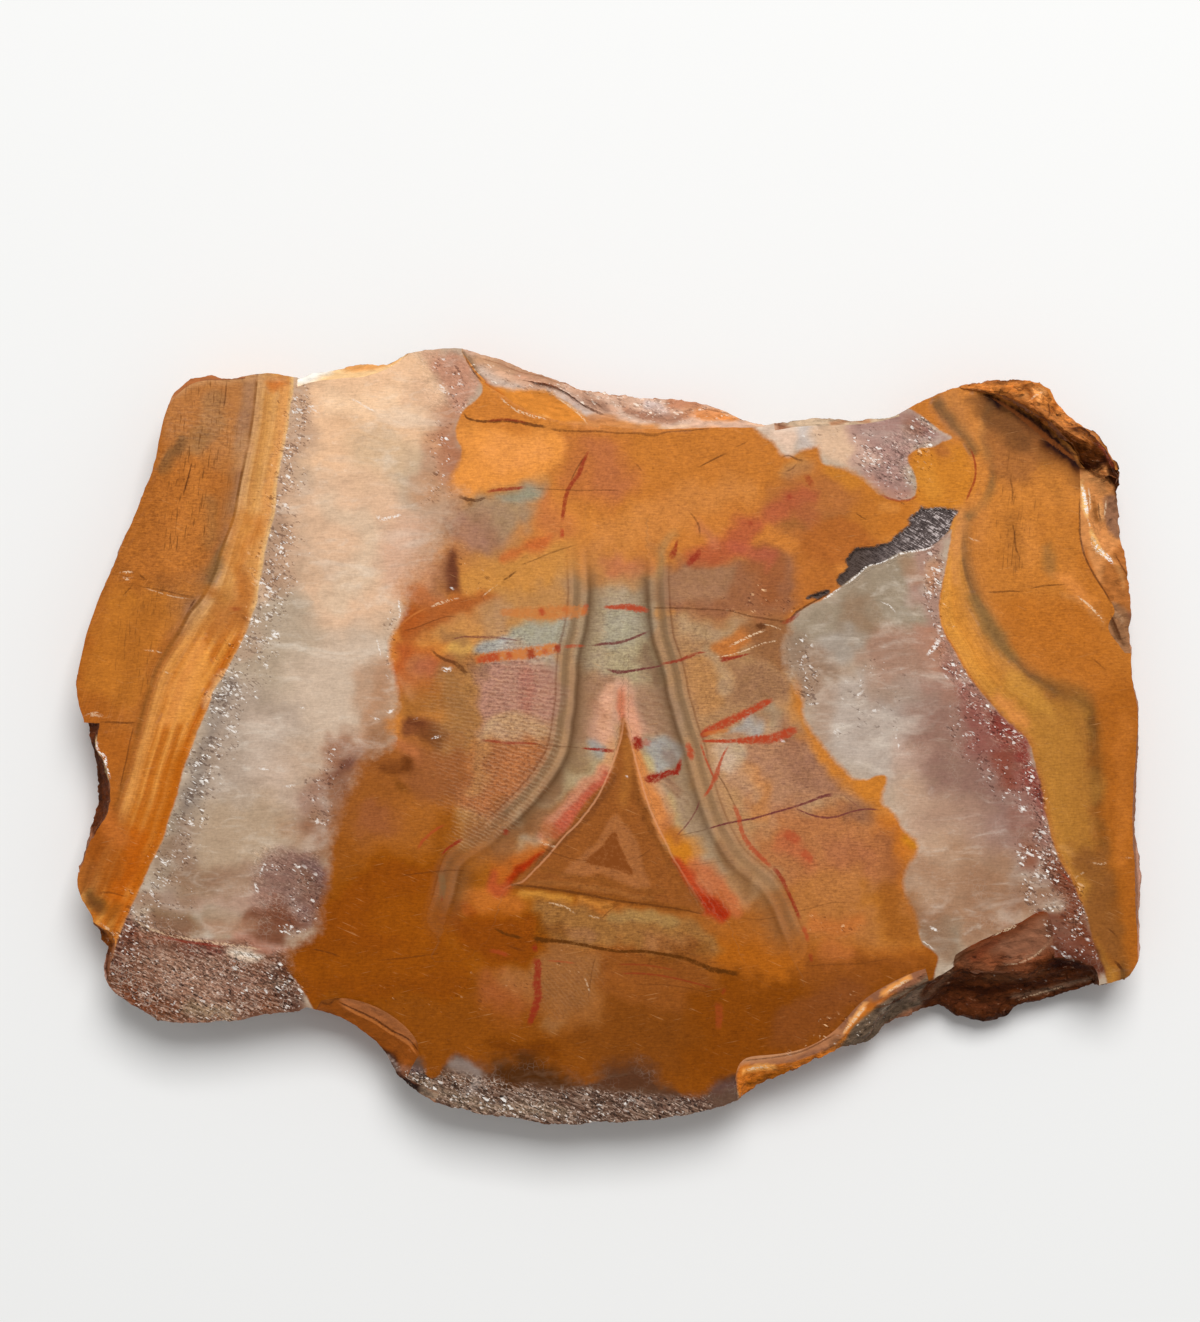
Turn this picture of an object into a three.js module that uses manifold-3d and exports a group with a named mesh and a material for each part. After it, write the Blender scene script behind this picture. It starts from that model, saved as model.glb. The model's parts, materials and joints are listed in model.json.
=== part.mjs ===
// A sawn slab of agate and jasper, lying on its flat underside.
// Millimetres, +Z up. The origin is under the middle of the slab, on the surface that it lies on,
// and +Y points to the edge with the rough crust and the ledge.
import * as THREE from "three";
import { mergeVertices } from "three/addons/utils/BufferGeometryUtils.js";
import Module from "manifold-3d";

const wasm = await Module();
wasm.setup();

const THICKNESS = 7; // from one sawn face to the other
const RIM_SPACING = 1.15; // between neighbouring points round the rim
const BREAK_SPACING = 1.3; // the same along a broken edge
const CLEAR_ABOVE = 5; // how far a cut reaches over the top face
const LEAD_HEIGHT = 0.25; // how high over the top face a cut starts, inside the broken edge
const LEDGE_ROOT = 4; // how deep the ledge's own solid reaches into the slab
const OUTER_FALL = 0.7; // share of its height that the ledge loses from its crest to its outer edge
const SMOOTHING_REACH = 3; // neighbours on each side that steady the rim's outward direction
const RIND_LUMP = 2.6; // width of the broad lumps of the rind
const BREAK_LUMP = 1.7; // the same on a broken surface

// Where a cut and the ledge have their rows of points, as shares of the way from the inner to the
// outer edge. A cut starts a little inside its inner edge, over the sound face.
const CUT_SHARES = [-0.12, 0, 0.14, 0.32, 0.54, 0.78, 1];
const LEDGE_SHARES = [0, 0.1, 0.25, 0.42, 0.6, 0.8, 1];

// The rim's rings, from the underside up: height as a share of the thickness, how far the ring
// stays inside the outline, and how far the rind's lumps take it further in.
const RIM_RINGS = [
  { height: 0.0, inset: 0.7, rough: 0.5 },
  { height: 0.16, inset: 0.2, rough: 0.75 },
  { height: 0.36, inset: 0.0, rough: 0.6 },
  { height: 0.58, inset: 0.0, rough: 0.7 },
  { height: 0.8, inset: 0.05, rough: 0.5 },
  { height: 1.0, inset: 0.08, rough: 0.12 },
];

// The outline seen from above, clockwise from the corner at the upper left.
const OUTLINE = [
  [-44.2, 33.5], [-43.9, 34.3], [-42.8, 35.1], [-42.2, 35.7], [-41.6, 36.0], [-40.9, 35.9],
  [-40.1, 36.2], [-38.8, 35.8], [-36.7, 36.0], [-35.8, 36.4], [-34.8, 36.5], [-33.0, 36.2],
  [-31.6, 36.0], [-31.0, 35.9], [-30.1, 36.5], [-28.5, 36.8], [-26.5, 37.2], [-24.6, 37.5],
  [-23.7, 37.2], [-22.2, 37.4], [-21.0, 38.0], [-19.5, 38.5], [-17.0, 38.8], [-15.3, 38.9],
  [-13.5, 38.7], [-11.0, 38.1], [-8.5, 37.2], [-6.0, 36.1], [-3.5, 35.3], [-0.5, 34.7],
  [3.0, 34.4], [7.6, 34.2], [9.8, 33.5], [12.2, 32.5], [14.2, 31.6], [15.5, 31.1],
  [16.8, 31.4], [18.5, 31.7], [21.2, 31.9], [23.5, 31.7], [24.7, 31.5], [26.0, 31.8],
  [27.7, 31.8], [29.0, 32.3], [30.2, 33.0], [32.2, 33.9], [33.8, 34.7], [36.0, 35.2],
  [39.0, 35.5], [40.6, 35.7], [42.0, 35.3], [43.9, 35.1], [44.3, 34.3], [44.7, 33.4],
  [45.6, 32.4], [47.5, 31.0], [49.0, 30.1], [49.8, 28.8], [50.4, 27.8], [50.9, 27.0],
  [51.2, 25.7], [51.0, 24.9], [51.2, 23.9], [51.6, 22.7], [51.6, 21.1], [51.8, 18.5],
  [52.1, 15.5], [52.3, 12.5], [52.4, 10.3], [52.2, 8.0], [52.4, 6.0], [52.8, 4.5],
  [53.3, 2.1], [53.3, 0.0], [53.2, -4.5], [53.0, -8.5], [53.0, -10.3], [53.4, -11.5],
  [53.6, -14.5], [53.5, -18.5], [53.2, -21.0], [52.7, -23.1], [52.0, -24.1], [50.6, -24.7],
  [48.8, -25.1], [47.0, -25.8], [44.0, -26.8], [41.4, -27.1], [39.8, -27.9], [38.6, -28.4],
  [37.2, -28.6], [35.2, -28.2], [33.5, -27.8], [32.0, -27.7], [30.5, -28.4], [28.8, -28.8],
  [27.6, -29.6], [26.6, -30.7], [25.4, -31.2], [22.8, -31.6], [20.5, -32.7], [17.5, -34.0],
  [15.0, -35.2], [13.4, -36.2], [11.5, -37.1], [9.0, -37.7], [6.0, -38.3], [3.0, -38.6],
  [-1.0, -38.8], [-5.0, -38.9], [-8.0, -38.6], [-10.5, -38.2], [-13.5, -37.8], [-16.3, -37.1],
  [-19.0, -35.9], [-20.8, -34.8], [-22.2, -33.0], [-23.2, -31.5], [-24.7, -30.1], [-27.0, -28.6],
  [-29.2, -27.5], [-30.2, -27.3], [-31.0, -27.7], [-33.5, -27.8], [-36.0, -28.3], [-39.0, -28.8],
  [-42.5, -28.9], [-45.0, -28.5], [-47.0, -27.5], [-49.0, -26.3], [-50.1, -25.1], [-50.7, -23.7],
  [-50.6, -22.2], [-50.4, -21.2], [-51.1, -20.9], [-51.5, -19.9], [-51.7, -18.3], [-52.6, -17.0],
  [-53.2, -15.7], [-53.4, -14.5], [-53.2, -13.1], [-52.8, -11.5], [-52.5, -10.0], [-52.0, -7.7],
  [-51.8, -5.5], [-52.0, -3.0], [-52.2, -0.7], [-52.7, 0.9], [-53.1, 2.7], [-53.6, 4.9],
  [-53.2, 6.9], [-52.6, 9.7], [-51.8, 12.2], [-50.7, 15.2], [-49.8, 17.7], [-48.8, 19.8],
  [-48.2, 20.7], [-47.6, 22.3], [-46.7, 24.6], [-45.8, 26.8], [-45.5, 28.7], [-45.0, 31.1],
];

// Where the edge of the top face is broken away. Each break runs clockwise, and a station of it
// holds the sound face's edge x, y, a point past the outline x, y, and how far the break has
// dropped there. bow is over 1 where the break is a steep scoop that flattens outwards, 1 where
// it is a plain slope and under 1 where it starts gently.
const BREAKS = {
  cornerBevel: {
    bow: 1.0,
    rough: 0.15,
    stations: [
      [-44.7, 32.0, -45.5, 32.3, 0.2],
      [-43.7, 33.7, -44.8, 34.3, 1.2],
      [-42.4, 34.9, -43.2, 36.1, 1.4],
      [-41.0, 35.5, -41.2, 36.9, 0.8],
      [-38.5, 35.5, -38.5, 36.7, 0.5],
      [-36.5, 35.7, -36.6, 36.9, 0.2],
    ],
  },
  quartzChips: {
    bow: 1.3,
    rough: 0.25,
    stations: [
      [-31.3, 34.9, -31.2, 36.7, 0.6],
      [-29.8, 35.4, -30.0, 37.3, 1.4],
      [-27.0, 35.7, -27.2, 37.9, 1.8],
      [-24.0, 36.0, -24.3, 38.3, 1.8],
      [-21.8, 36.9, -22.2, 38.5, 1.2],
      [-20.2, 38.1, -20.6, 39.0, 0.3],
    ],
  },
  crustSlope: {
    bow: 1.1,
    rough: 0.5,
    stations: [
      [-14.8, 38.3, -14.6, 40.1, 0.3],
      [-13.6, 36.7, -12.8, 39.9, 1.8],
      [-12.3, 35.3, -10.2, 39.1, 2.9],
      [-9.8, 34.6, -7.5, 38.0, 3.3],
      [-6.3, 34.6, -4.8, 36.9, 3.2],
      [-4.2, 33.0, -2.5, 36.3, 3.5],
      [-2.0, 31.4, 0.0, 35.9, 3.9],
      [3.0, 30.6, 4.0, 35.6, 4.0],
      [8.0, 30.7, 8.5, 35.1, 3.5],
      [11.5, 30.8, 12.8, 33.5, 2.4],
      [14.2, 30.8, 15.5, 32.3, 1.1],
      [15.5, 30.9, 16.5, 32.2, 0.3],
    ],
  },
  orangeScoop: {
    bow: 1.8,
    rough: 0.06,
    stations: [
      [-12.6, 35.2, -11.8, 36.3, 0.1],
      [-10.7, 34.0, -9.5, 35.7, 0.9],
      [-8.0, 32.3, -6.2, 35.3, 1.5],
      [-5.2, 31.5, -3.5, 33.9, 1.4],
      [-3.0, 31.1, -1.8, 32.3, 0.8],
      [-1.2, 30.8, -0.6, 31.5, 0.1],
    ],
  },
  upperQuartzEdge: {
    bow: 1.0,
    rough: 0.2,
    stations: [
      [16.5, 30.5, 16.3, 32.3, 0.4],
      [19.0, 30.9, 18.8, 32.7, 0.9],
      [23.0, 31.0, 22.8, 32.7, 0.7],
      [26.0, 31.2, 25.8, 32.7, 0.5],
      [29.0, 31.9, 28.6, 33.3, 0.2],
    ],
  },
  rightStep: {
    bow: 1.6,
    rough: 0.08,
    stations: [
      [47.0, 26.7, 51.5, 26.5, 0.1],
      [47.1, 24.5, 51.8, 24.5, 0.4],
      [47.0, 22.0, 52.1, 22.0, 0.5],
      [47.0, 19.5, 52.3, 19.5, 0.5],
      [47.5, 17.5, 52.5, 17.5, 0.5],
      [48.5, 15.7, 52.7, 15.7, 0.5],
      [49.5, 14.3, 52.8, 14.5, 0.45],
      [50.3, 13.0, 52.8, 13.3, 0.4],
      [51.2, 11.7, 52.7, 12.0, 0.1],
    ],
  },
  rightChips: {
    bow: 1.7,
    rough: 0.45,
    stations: [
      [47.5, 26.2, 51.8, 25.7, 0.4],
      [47.6, 24.5, 52.0, 24.3, 2.0],
      [47.8, 22.5, 52.3, 22.3, 2.8],
      [48.1, 20.5, 52.4, 20.5, 2.8],
      [48.7, 19.0, 52.5, 19.0, 2.4],
      [49.6, 17.7, 52.6, 17.9, 1.8],
      [50.6, 16.7, 52.7, 16.9, 1.2],
      [51.5, 15.7, 52.7, 15.9, 0.3],
    ],
  },
  rightNotch: {
    bow: 1.4,
    rough: 0.35,
    stations: [
      [51.0, 12.3, 53.2, 12.0, 0.2],
      [50.2, 11.9, 53.4, 11.4, 0.7],
      [49.6, 11.1, 53.6, 10.8, 0.9],
      [50.0, 10.1, 53.6, 10.1, 1.0],
      [50.8, 9.2, 53.5, 9.3, 0.9],
      [51.5, 8.2, 53.3, 8.0, 0.2],
    ],
  },
  rightRind: {
    bow: 1.0,
    rough: 0.2,
    stations: [
      [52.1, 6.7, 53.6, 7.0, 0.5],
      [52.3, 5.0, 53.8, 5.2, 3.0],
      [52.6, 3.5, 54.0, 3.5, 4.8],
      [52.8, 1.5, 54.3, 1.5, 5.2],
      [52.6, -1.5, 54.2, -1.5, 5.2],
      [52.3, -5.5, 54.1, -5.5, 5.2],
      [52.2, -9.5, 54.1, -9.5, 5.2],
      [52.4, -13.5, 54.5, -13.5, 5.2],
      [52.5, -17.5, 54.5, -17.5, 5.2],
      [52.7, -20.5, 54.3, -20.7, 4.4],
      [52.7, -22.5, 53.9, -23.0, 1.5],
    ],
  },
  glossyShelf: {
    bow: 2.0,
    rough: 0.12,
    stations: [
      [44.2, -19.0, 44.6, -24.0, 0.1],
      [43.6, -17.3, 43.5, -23.9, 0.7],
      [42.5, -17.7, 42.2, -23.8, 1.2],
      [41.2, -18.6, 41.0, -23.7, 1.4],
      [39.8, -19.2, 39.5, -23.7, 1.4],
      [38.5, -19.9, 38.0, -23.7, 1.3],
      [37.0, -20.5, 36.5, -23.7, 1.2],
      [35.5, -21.3, 35.2, -23.5, 0.9],
      [34.5, -22.0, 34.2, -23.0, 0.3],
    ],
  },
  brownHollow: {
    bow: 1.6,
    rough: 0.6,
    stations: [
      [48.8, -25.1, 49.0, -26.0, 0.5],
      [48.7, -23.7, 48.8, -26.5, 2.0],
      [48.0, -22.8, 47.5, -26.8, 3.6],
      [46.5, -22.3, 46.0, -27.3, 4.6],
      [45.0, -22.1, 44.0, -28.0, 5.0],
      [43.2, -22.3, 42.0, -28.5, 5.2],
      [41.8, -23.0, 40.2, -29.2, 5.3],
      [39.5, -22.8, 38.5, -29.7, 5.3],
      [36.5, -22.8, 36.0, -29.8, 5.2],
      [35.0, -22.7, 33.5, -29.3, 5.0],
      [33.0, -24.0, 31.5, -29.2, 4.6],
      [31.5, -24.7, 29.8, -29.8, 4.4],
      [29.5, -25.7, 28.5, -30.4, 4.3],
      [27.5, -26.8, 27.4, -31.4, 4.0],
      [25.8, -28.7, 26.2, -32.4, 3.6],
      [24.0, -30.5, 24.0, -32.9, 2.4],
      [22.6, -31.6, 22.5, -32.9, 0.5],
    ],
  },
  paleBevel: {
    bow: 1.0,
    rough: 0.04,
    stations: [
      [31.5, -23.3, 32.3, -26.5, 0.1],
      [29.5, -24.0, 30.5, -27.6, 0.25],
      [27.0, -25.3, 28.6, -28.6, 0.35],
      [25.2, -26.5, 27.4, -30.2, 0.4],
      [23.8, -28.0, 25.7, -31.5, 0.4],
      [22.8, -29.2, 24.2, -32.5, 0.4],
      [21.0, -30.5, 22.3, -33.3, 0.45],
      [19.0, -31.4, 19.9, -34.4, 0.5],
      [17.0, -31.8, 17.7, -35.3, 0.55],
      [15.0, -32.0, 15.6, -36.3, 0.6],
      [13.5, -32.1, 14.1, -37.0, 0.5],
      [12.7, -33.0, 13.3, -37.3, 0.4],
      [12.5, -34.3, 12.8, -37.6, 0.1],
    ],
  },
  goldenFacet: {
    bow: 1.2,
    rough: 0.08,
    stations: [
      [30.2, -24.2, 30.8, -25.7, 0.2],
      [29.0, -24.7, 30.0, -26.7, 0.9],
      [27.5, -25.8, 28.8, -27.7, 1.0],
      [25.8, -26.8, 27.2, -28.9, 1.0],
      [24.5, -28.3, 25.8, -30.3, 1.0],
      [23.0, -30.0, 24.0, -31.9, 1.1],
      [21.0, -31.3, 21.8, -33.3, 1.3],
      [19.0, -32.3, 19.6, -34.4, 1.5],
      [16.5, -32.8, 17.5, -35.3, 1.9],
      [15.0, -33.0, 15.8, -36.1, 2.3],
      [13.5, -33.2, 14.2, -36.9, 2.3],
      [13.1, -34.3, 13.4, -37.4, 1.8],
      [13.0, -35.7, 12.9, -37.7, 0.4],
    ],
  },
  footChips: {
    bow: 1.5,
    rough: 0.35,
    stations: [
      [-17.0, -35.7, -17.8, -37.5, 0.2],
      [-19.0, -34.8, -20.5, -36.7, 2.0],
      [-20.8, -33.9, -22.2, -35.3, 2.6],
      [-21.6, -32.3, -23.5, -33.1, 1.0],
    ],
  },
  shellChip: {
    bow: 1.6,
    rough: 0.12,
    stations: [
      [-19.6, -32.7, -21.0, -36.0, 0.3],
      [-18.9, -31.3, -22.5, -34.3, 1.4],
      [-20.0, -29.5, -23.8, -32.7, 2.0],
      [-22.2, -27.7, -25.5, -31.0, 1.8],
      [-24.8, -26.6, -27.5, -29.5, 1.3],
      [-27.0, -26.2, -29.2, -28.5, 0.6],
      [-28.8, -26.5, -29.8, -28.1, 0.1],
    ],
  },
  lowerCorner: {
    bow: 1.2,
    rough: 0.25,
    stations: [
      [-50.1, -24.5, -51.5, -24.7, 0.2],
      [-49.9, -23.0, -52.2, -23.2, 0.8],
      [-49.4, -21.3, -52.4, -21.7, 1.4],
      [-49.3, -20.3, -52.6, -20.7, 1.9],
      [-49.9, -19.7, -52.9, -20.0, 2.2],
      [-50.9, -19.1, -53.2, -19.2, 2.0],
      [-51.7, -18.5, -53.4, -18.3, 0.8],
    ],
  },
  lowerRind: {
    bow: 1.0,
    rough: 0.2,
    stations: [
      [-53.0, -13.7, -54.6, -13.5, 1.3],
      [-52.4, -11.9, -54.2, -11.7, 4.2],
      [-51.9, -10.7, -53.8, -10.4, 4.2],
      [-51.6, -9.5, -53.3, -9.2, 3.4],
    ],
  },
  leftChip: {
    bow: 2.2,
    rough: 0.3,
    stations: [
      [-51.6, -10.3, -52.8, -10.4, 0.4],
      [-51.0, -9.2, -53.2, -9.3, 2.0],
      [-50.2, -7.8, -53.4, -7.9, 2.9],
      [-49.9, -6.5, -53.4, -6.5, 3.1],
      [-50.0, -5.0, -53.3, -5.0, 3.1],
      [-50.3, -3.7, -53.3, -3.7, 3.0],
      [-50.7, -2.1, -53.4, -2.2, 2.8],
      [-51.3, -1.5, -53.5, -1.3, 2.6],
      [-51.3, -0.4, -53.7, -0.3, 2.4],
      [-51.1, 1.15, -54.0, 1.25, 2.2],
    ],
  },
  leftRind: {
    bow: 1.0,
    rough: 0.2,
    stations: [
      [-52.8, 8.7, -54.0, 9.0, 0.5],
      [-52.2, 11.0, -53.6, 11.4, 3.0],
      [-51.6, 12.6, -53.0, 13.2, 4.4],
      [-50.9, 14.2, -52.3, 14.9, 4.8],
      [-50.2, 15.8, -51.6, 16.5, 4.8],
      [-49.6, 17.2, -51.0, 17.9, 4.8],
      [-48.9, 18.9, -50.2, 19.6, 4.2],
      [-48.3, 20.4, -49.3, 20.8, 1.0],
    ],
  },
};

// The ledge that stands over the top face where the slab broke off short of the saw. A station
// holds its inner foot x, y, its outer edge x, y, its height over the face, and the share of its
// width at which it is highest.
const LEDGE = {
  rough: 0.5,
  stations: [
    [35.2, 34.7, 35.0, 34.9, 0.1, 0.2],
    [37.5, 34.1, 37.4, 35.3, 1.1, 0.2],
    [39.2, 33.8, 40.2, 35.5, 1.8, 0.15],
    [41.2, 32.7, 43.3, 34.8, 2.3, 0.15],
    [43.0, 31.5, 44.9, 32.7, 2.5, 0.15],
    [45.0, 29.9, 47.2, 30.7, 2.4, 0.3],
    [46.6, 28.4, 49.4, 28.9, 2.1, 0.7],
    [47.2, 27.0, 50.5, 27.1, 1.5, 0.85],
    [48.3, 26.2, 50.9, 25.6, 0.5, 0.9],
  ],
};

// A repeatable number from 0 to 1 for a point of a whole-number lattice.
function latticeValue(i, j, k) {
  const s = Math.sin(i * 127.1 + j * 311.7 + k * 74.7) * 43758.5453;
  return s - Math.floor(s);
}

// Smooth value noise from -1 to 1.
function noise(x, y, z) {
  const [i, j, k] = [x, y, z].map(Math.floor);
  const ease = (t) => t * t * (3 - 2 * t);
  const [u, v, w] = [ease(x - i), ease(y - j), ease(z - k)];
  const mix = THREE.MathUtils.lerp;
  const row = (b, c) => mix(latticeValue(i, j + b, k + c), latticeValue(i + 1, j + b, k + c), u);
  return 2 * mix(mix(row(0, 0), row(1, 0), v), mix(row(0, 1), row(1, 1), v), w) - 1;
}

// Broad and fine lumps together, from about -1 to 1. size is the broad lumps' width.
function lumps(x, y, z, size) {
  const [u, v, w] = [x / size, y / size, z / size];
  return 0.65 * noise(u, v, w) + 0.35 * noise(2.3 * u, 2.3 * v, w + 7);
}

// The solid inside a closed geometry.
function solidOf(geometry) {
  geometry.deleteAttribute("normal");
  geometry.deleteAttribute("uv");
  const merged = mergeVertices(geometry, 1e-4);
  return new wasm.Manifold(
    new wasm.Mesh({
      numProp: 3,
      vertProperties: new Float32Array(merged.attributes.position.array),
      triVerts: new Uint32Array(merged.index.array),
    }),
  );
}

// The surface of a solid, as a geometry again.
function geometryOf(solid) {
  const mesh = solid.getMesh();
  const positions = new Float32Array(mesh.vertProperties);
  const geometry = new THREE.BufferGeometry();
  geometry.setAttribute("position", new THREE.BufferAttribute(positions, 3));
  geometry.setIndex(new THREE.BufferAttribute(new Uint32Array(mesh.triVerts), 1));
  return geometry;
}

// Points at an even spacing along the smooth closed curve through OUTLINE, anticlockwise.
function rimPoints() {
  const corners = OUTLINE.map(([x, y]) => new THREE.Vector3(x, y, 0)).reverse();
  const curve = new THREE.CatmullRomCurve3(corners, true, "centripetal");
  curve.arcLengthDivisions = OUTLINE.length * 12;
  return curve.getSpacedPoints(Math.round(curve.getLength() / RIM_SPACING)).slice(0, -1);
}

// The way out of the slab at each point of the rim, steadied over its neighbours.
function rimNormals(points) {
  const n = points.length;
  return points.map((_, i) => {
    const before = points[(i - SMOOTHING_REACH + n) % n];
    const after = points[(i + SMOOTHING_REACH) % n];
    return new THREE.Vector3(after.y - before.y, before.x - after.x, 0).normalize();
  });
}

// The whole sawn block: rings of points up the rim, closed by the two flat faces.
function slabBlock() {
  const outline = rimPoints();
  const normals = rimNormals(outline);
  const n = outline.length;
  const rings = RIM_RINGS.map(({ height, inset, rough }) => {
    const z = height * THICKNESS;
    return outline.map((p, i) => {
      const inward = inset + rough * (0.5 + 0.5 * lumps(p.x, p.y, z, RIND_LUMP));
      return new THREE.Vector3(p.x, p.y, z).addScaledVector(normals[i], -inward);
    });
  });
  const index = [];
  rings.slice(1).forEach((_, k) => {
    for (let i = 0; i < n; i++) {
      const j = (i + 1) % n;
      const [a, b, c, d] = [k * n + i, k * n + j, (k + 1) * n + j, (k + 1) * n + i];
      index.push(a, b, c, a, c, d);
    }
  });
  const flat = (ring) => ring.map((p) => new THREE.Vector2(p.x, p.y));
  const cap = (ring) => THREE.ShapeUtils.triangulateShape(flat(ring), []);
  const top = (rings.length - 1) * n;
  cap(rings[0]).forEach(([a, b, c]) => index.push(a, c, b));
  cap(rings.at(-1)).forEach(([a, b, c]) => index.push(top + a, top + b, top + c));
  const geometry = new THREE.BufferGeometry().setFromPoints(rings.flat());
  geometry.setIndex(index);
  return solidOf(geometry);
}

// Stations at an even spacing along the smooth curve through the ones given, each as its inner
// point, its outer point, its amount and its crest, which only the ledge has.
function spacedStations(stations) {
  const vectors = (points) => points.map(([x, y, z = 0]) => new THREE.Vector3(x, y, z));
  const smooth = (points) => new THREE.CatmullRomCurve3(vectors(points));
  const inner = smooth(stations.map(([x, y, , , amount]) => [x, y, amount]));
  const outer = smooth(stations.map(([, , x, y, , crest]) => [x, y, crest]));
  const steps = Math.max(4, Math.round(inner.getLength() / BREAK_SPACING));
  return Array.from({ length: steps + 1 }, (_, i) => {
    const from = inner.getPoint(i / steps);
    const to = outer.getPoint(i / steps);
    return { from, to, amount: Math.max(from.z, 0.02), crest: to.z };
  });
}

// A closed solid between two surfaces over the strip from the stations' inner to their outer
// points. lower and upper give a height from the share across, the station and the place.
function strip(stations, shares, lower, upper) {
  const points = [];
  for (const surface of [lower, upper])
    for (const station of stations)
      for (const share of shares) {
        const x = THREE.MathUtils.lerp(station.from.x, station.to.x, share);
        const y = THREE.MathUtils.lerp(station.from.y, station.to.y, share);
        points.push(new THREE.Vector3(x, y, surface(share, station, x, y)));
      }
  const [rows, columns] = [stations.length, shares.length];
  const [lastRow, lastColumn] = [rows - 1, columns - 1];
  const at = (side, i, j) => (side * rows + i) * columns + j;
  const index = [];
  const quad = (a, b, c, d) => index.push(a, c, b, a, d, c);
  for (let i = 0; i < lastRow; i++)
    for (let j = 0; j < lastColumn; j++) {
      quad(at(0, i, j), at(0, i + 1, j), at(0, i + 1, j + 1), at(0, i, j + 1));
      quad(at(1, i, j), at(1, i, j + 1), at(1, i + 1, j + 1), at(1, i + 1, j));
    }
  for (let i = 0; i < lastRow; i++) {
    quad(at(0, i, 0), at(1, i, 0), at(1, i + 1, 0), at(0, i + 1, 0));
    quad(at(0, i + 1, lastColumn), at(1, i + 1, lastColumn), at(1, i, lastColumn), at(0, i, lastColumn));
  }
  for (let j = 0; j < lastColumn; j++) {
    quad(at(0, 0, j + 1), at(1, 0, j + 1), at(1, 0, j), at(0, 0, j));
    quad(at(0, lastRow, j), at(1, lastRow, j), at(1, lastRow, j + 1), at(0, lastRow, j + 1));
  }
  const geometry = new THREE.BufferGeometry().setFromPoints(points);
  geometry.setIndex(index);
  return solidOf(geometry);
}

// What a break takes away: everything over a surface that falls from the sound edge outwards.
function breakCut({ bow, rough, stations }) {
  const floor = (share, { amount }, x, y) => {
    if (share <= 0) return THICKNESS + (share < 0 ? LEAD_HEIGHT : 0);
    const fall = amount * (1 - (1 - share) ** bow);
    const shallow = Math.min(1, amount * share);
    return THICKNESS - fall + rough * shallow * lumps(x, y, 0, BREAK_LUMP);
  };
  return strip(spacedStations(stations), CUT_SHARES, floor, () => THICKNESS + CLEAR_ABOVE);
}

// The ledge: it climbs from its foot to its crest, and falls again to the broken outer edge.
function ledgeSolid({ rough, stations }) {
  const crown = (share, { amount, crest }, x, y) => {
    const climb = Math.sqrt(share / crest);
    const fall = 1 - (OUTER_FALL * (share - crest)) / (1 - crest);
    const bumps = rough * Math.min(1, amount) * Math.sqrt(share) * lumps(x, y, 0, BREAK_LUMP);
    return THICKNESS + amount * (share < crest ? climb : fall) + bumps;
  };
  return strip(spacedStations(stations), LEDGE_SHARES, () => THICKNESS - LEDGE_ROOT, crown);
}

// The block less its breaks, with the ledge.
function slabSolid() {
  const breaks = Object.values(BREAKS).map(breakCut);
  const broken = breaks.reduce((slab, cut) => slab.subtract(cut), slabBlock());
  return broken.add(ledgeSolid(LEDGE));
}

// The stone with its origin moved under its middle.
function slabGeometry() {
  const geometry = geometryOf(slabSolid());
  geometry.computeBoundingBox();
  const { min, max } = geometry.boundingBox;
  return geometry.translate(-(min.x + max.x) / 2, -(min.y + max.y) / 2, -min.z);
}

const stone = new THREE.MeshStandardMaterial({ color: 0xa8692c, roughness: 0.45, metalness: 0 });
const slab = new THREE.Mesh(slabGeometry(), stone);
slab.name = "agate_slab";

const group = new THREE.Group();
group.add(slab);
export default group;
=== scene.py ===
"""The looks of a sawn slab of agate and jasper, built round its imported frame."""

import json
import math

import bpy
import numpy as np
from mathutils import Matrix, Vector, noise
from mathutils.geometry import delaunay_2d_cdt

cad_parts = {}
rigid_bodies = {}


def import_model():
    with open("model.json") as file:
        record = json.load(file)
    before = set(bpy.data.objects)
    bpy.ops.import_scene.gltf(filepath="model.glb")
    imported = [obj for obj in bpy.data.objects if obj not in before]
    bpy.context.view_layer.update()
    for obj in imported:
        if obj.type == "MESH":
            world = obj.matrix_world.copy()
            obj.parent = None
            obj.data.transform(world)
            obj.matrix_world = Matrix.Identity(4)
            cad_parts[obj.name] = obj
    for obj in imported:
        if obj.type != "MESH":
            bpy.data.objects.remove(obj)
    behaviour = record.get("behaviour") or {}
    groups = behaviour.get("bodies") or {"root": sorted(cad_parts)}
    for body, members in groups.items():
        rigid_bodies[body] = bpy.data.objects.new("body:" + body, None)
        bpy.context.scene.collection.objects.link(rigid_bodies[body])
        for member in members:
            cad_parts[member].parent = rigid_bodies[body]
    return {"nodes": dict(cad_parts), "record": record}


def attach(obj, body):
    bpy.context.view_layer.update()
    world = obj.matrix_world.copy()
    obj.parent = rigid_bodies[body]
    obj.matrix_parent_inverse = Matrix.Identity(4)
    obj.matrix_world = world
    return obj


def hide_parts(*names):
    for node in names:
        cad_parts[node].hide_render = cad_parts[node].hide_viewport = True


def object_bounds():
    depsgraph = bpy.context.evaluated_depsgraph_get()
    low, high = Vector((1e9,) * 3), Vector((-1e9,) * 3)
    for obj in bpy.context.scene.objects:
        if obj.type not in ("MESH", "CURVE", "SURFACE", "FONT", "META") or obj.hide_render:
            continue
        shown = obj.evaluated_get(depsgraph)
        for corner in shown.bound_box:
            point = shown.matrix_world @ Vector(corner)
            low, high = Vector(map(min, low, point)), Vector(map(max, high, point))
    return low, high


for item in list(bpy.data.objects):
    bpy.data.objects.remove(item)
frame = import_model()
cad_box = [list(corner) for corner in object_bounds()]

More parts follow.
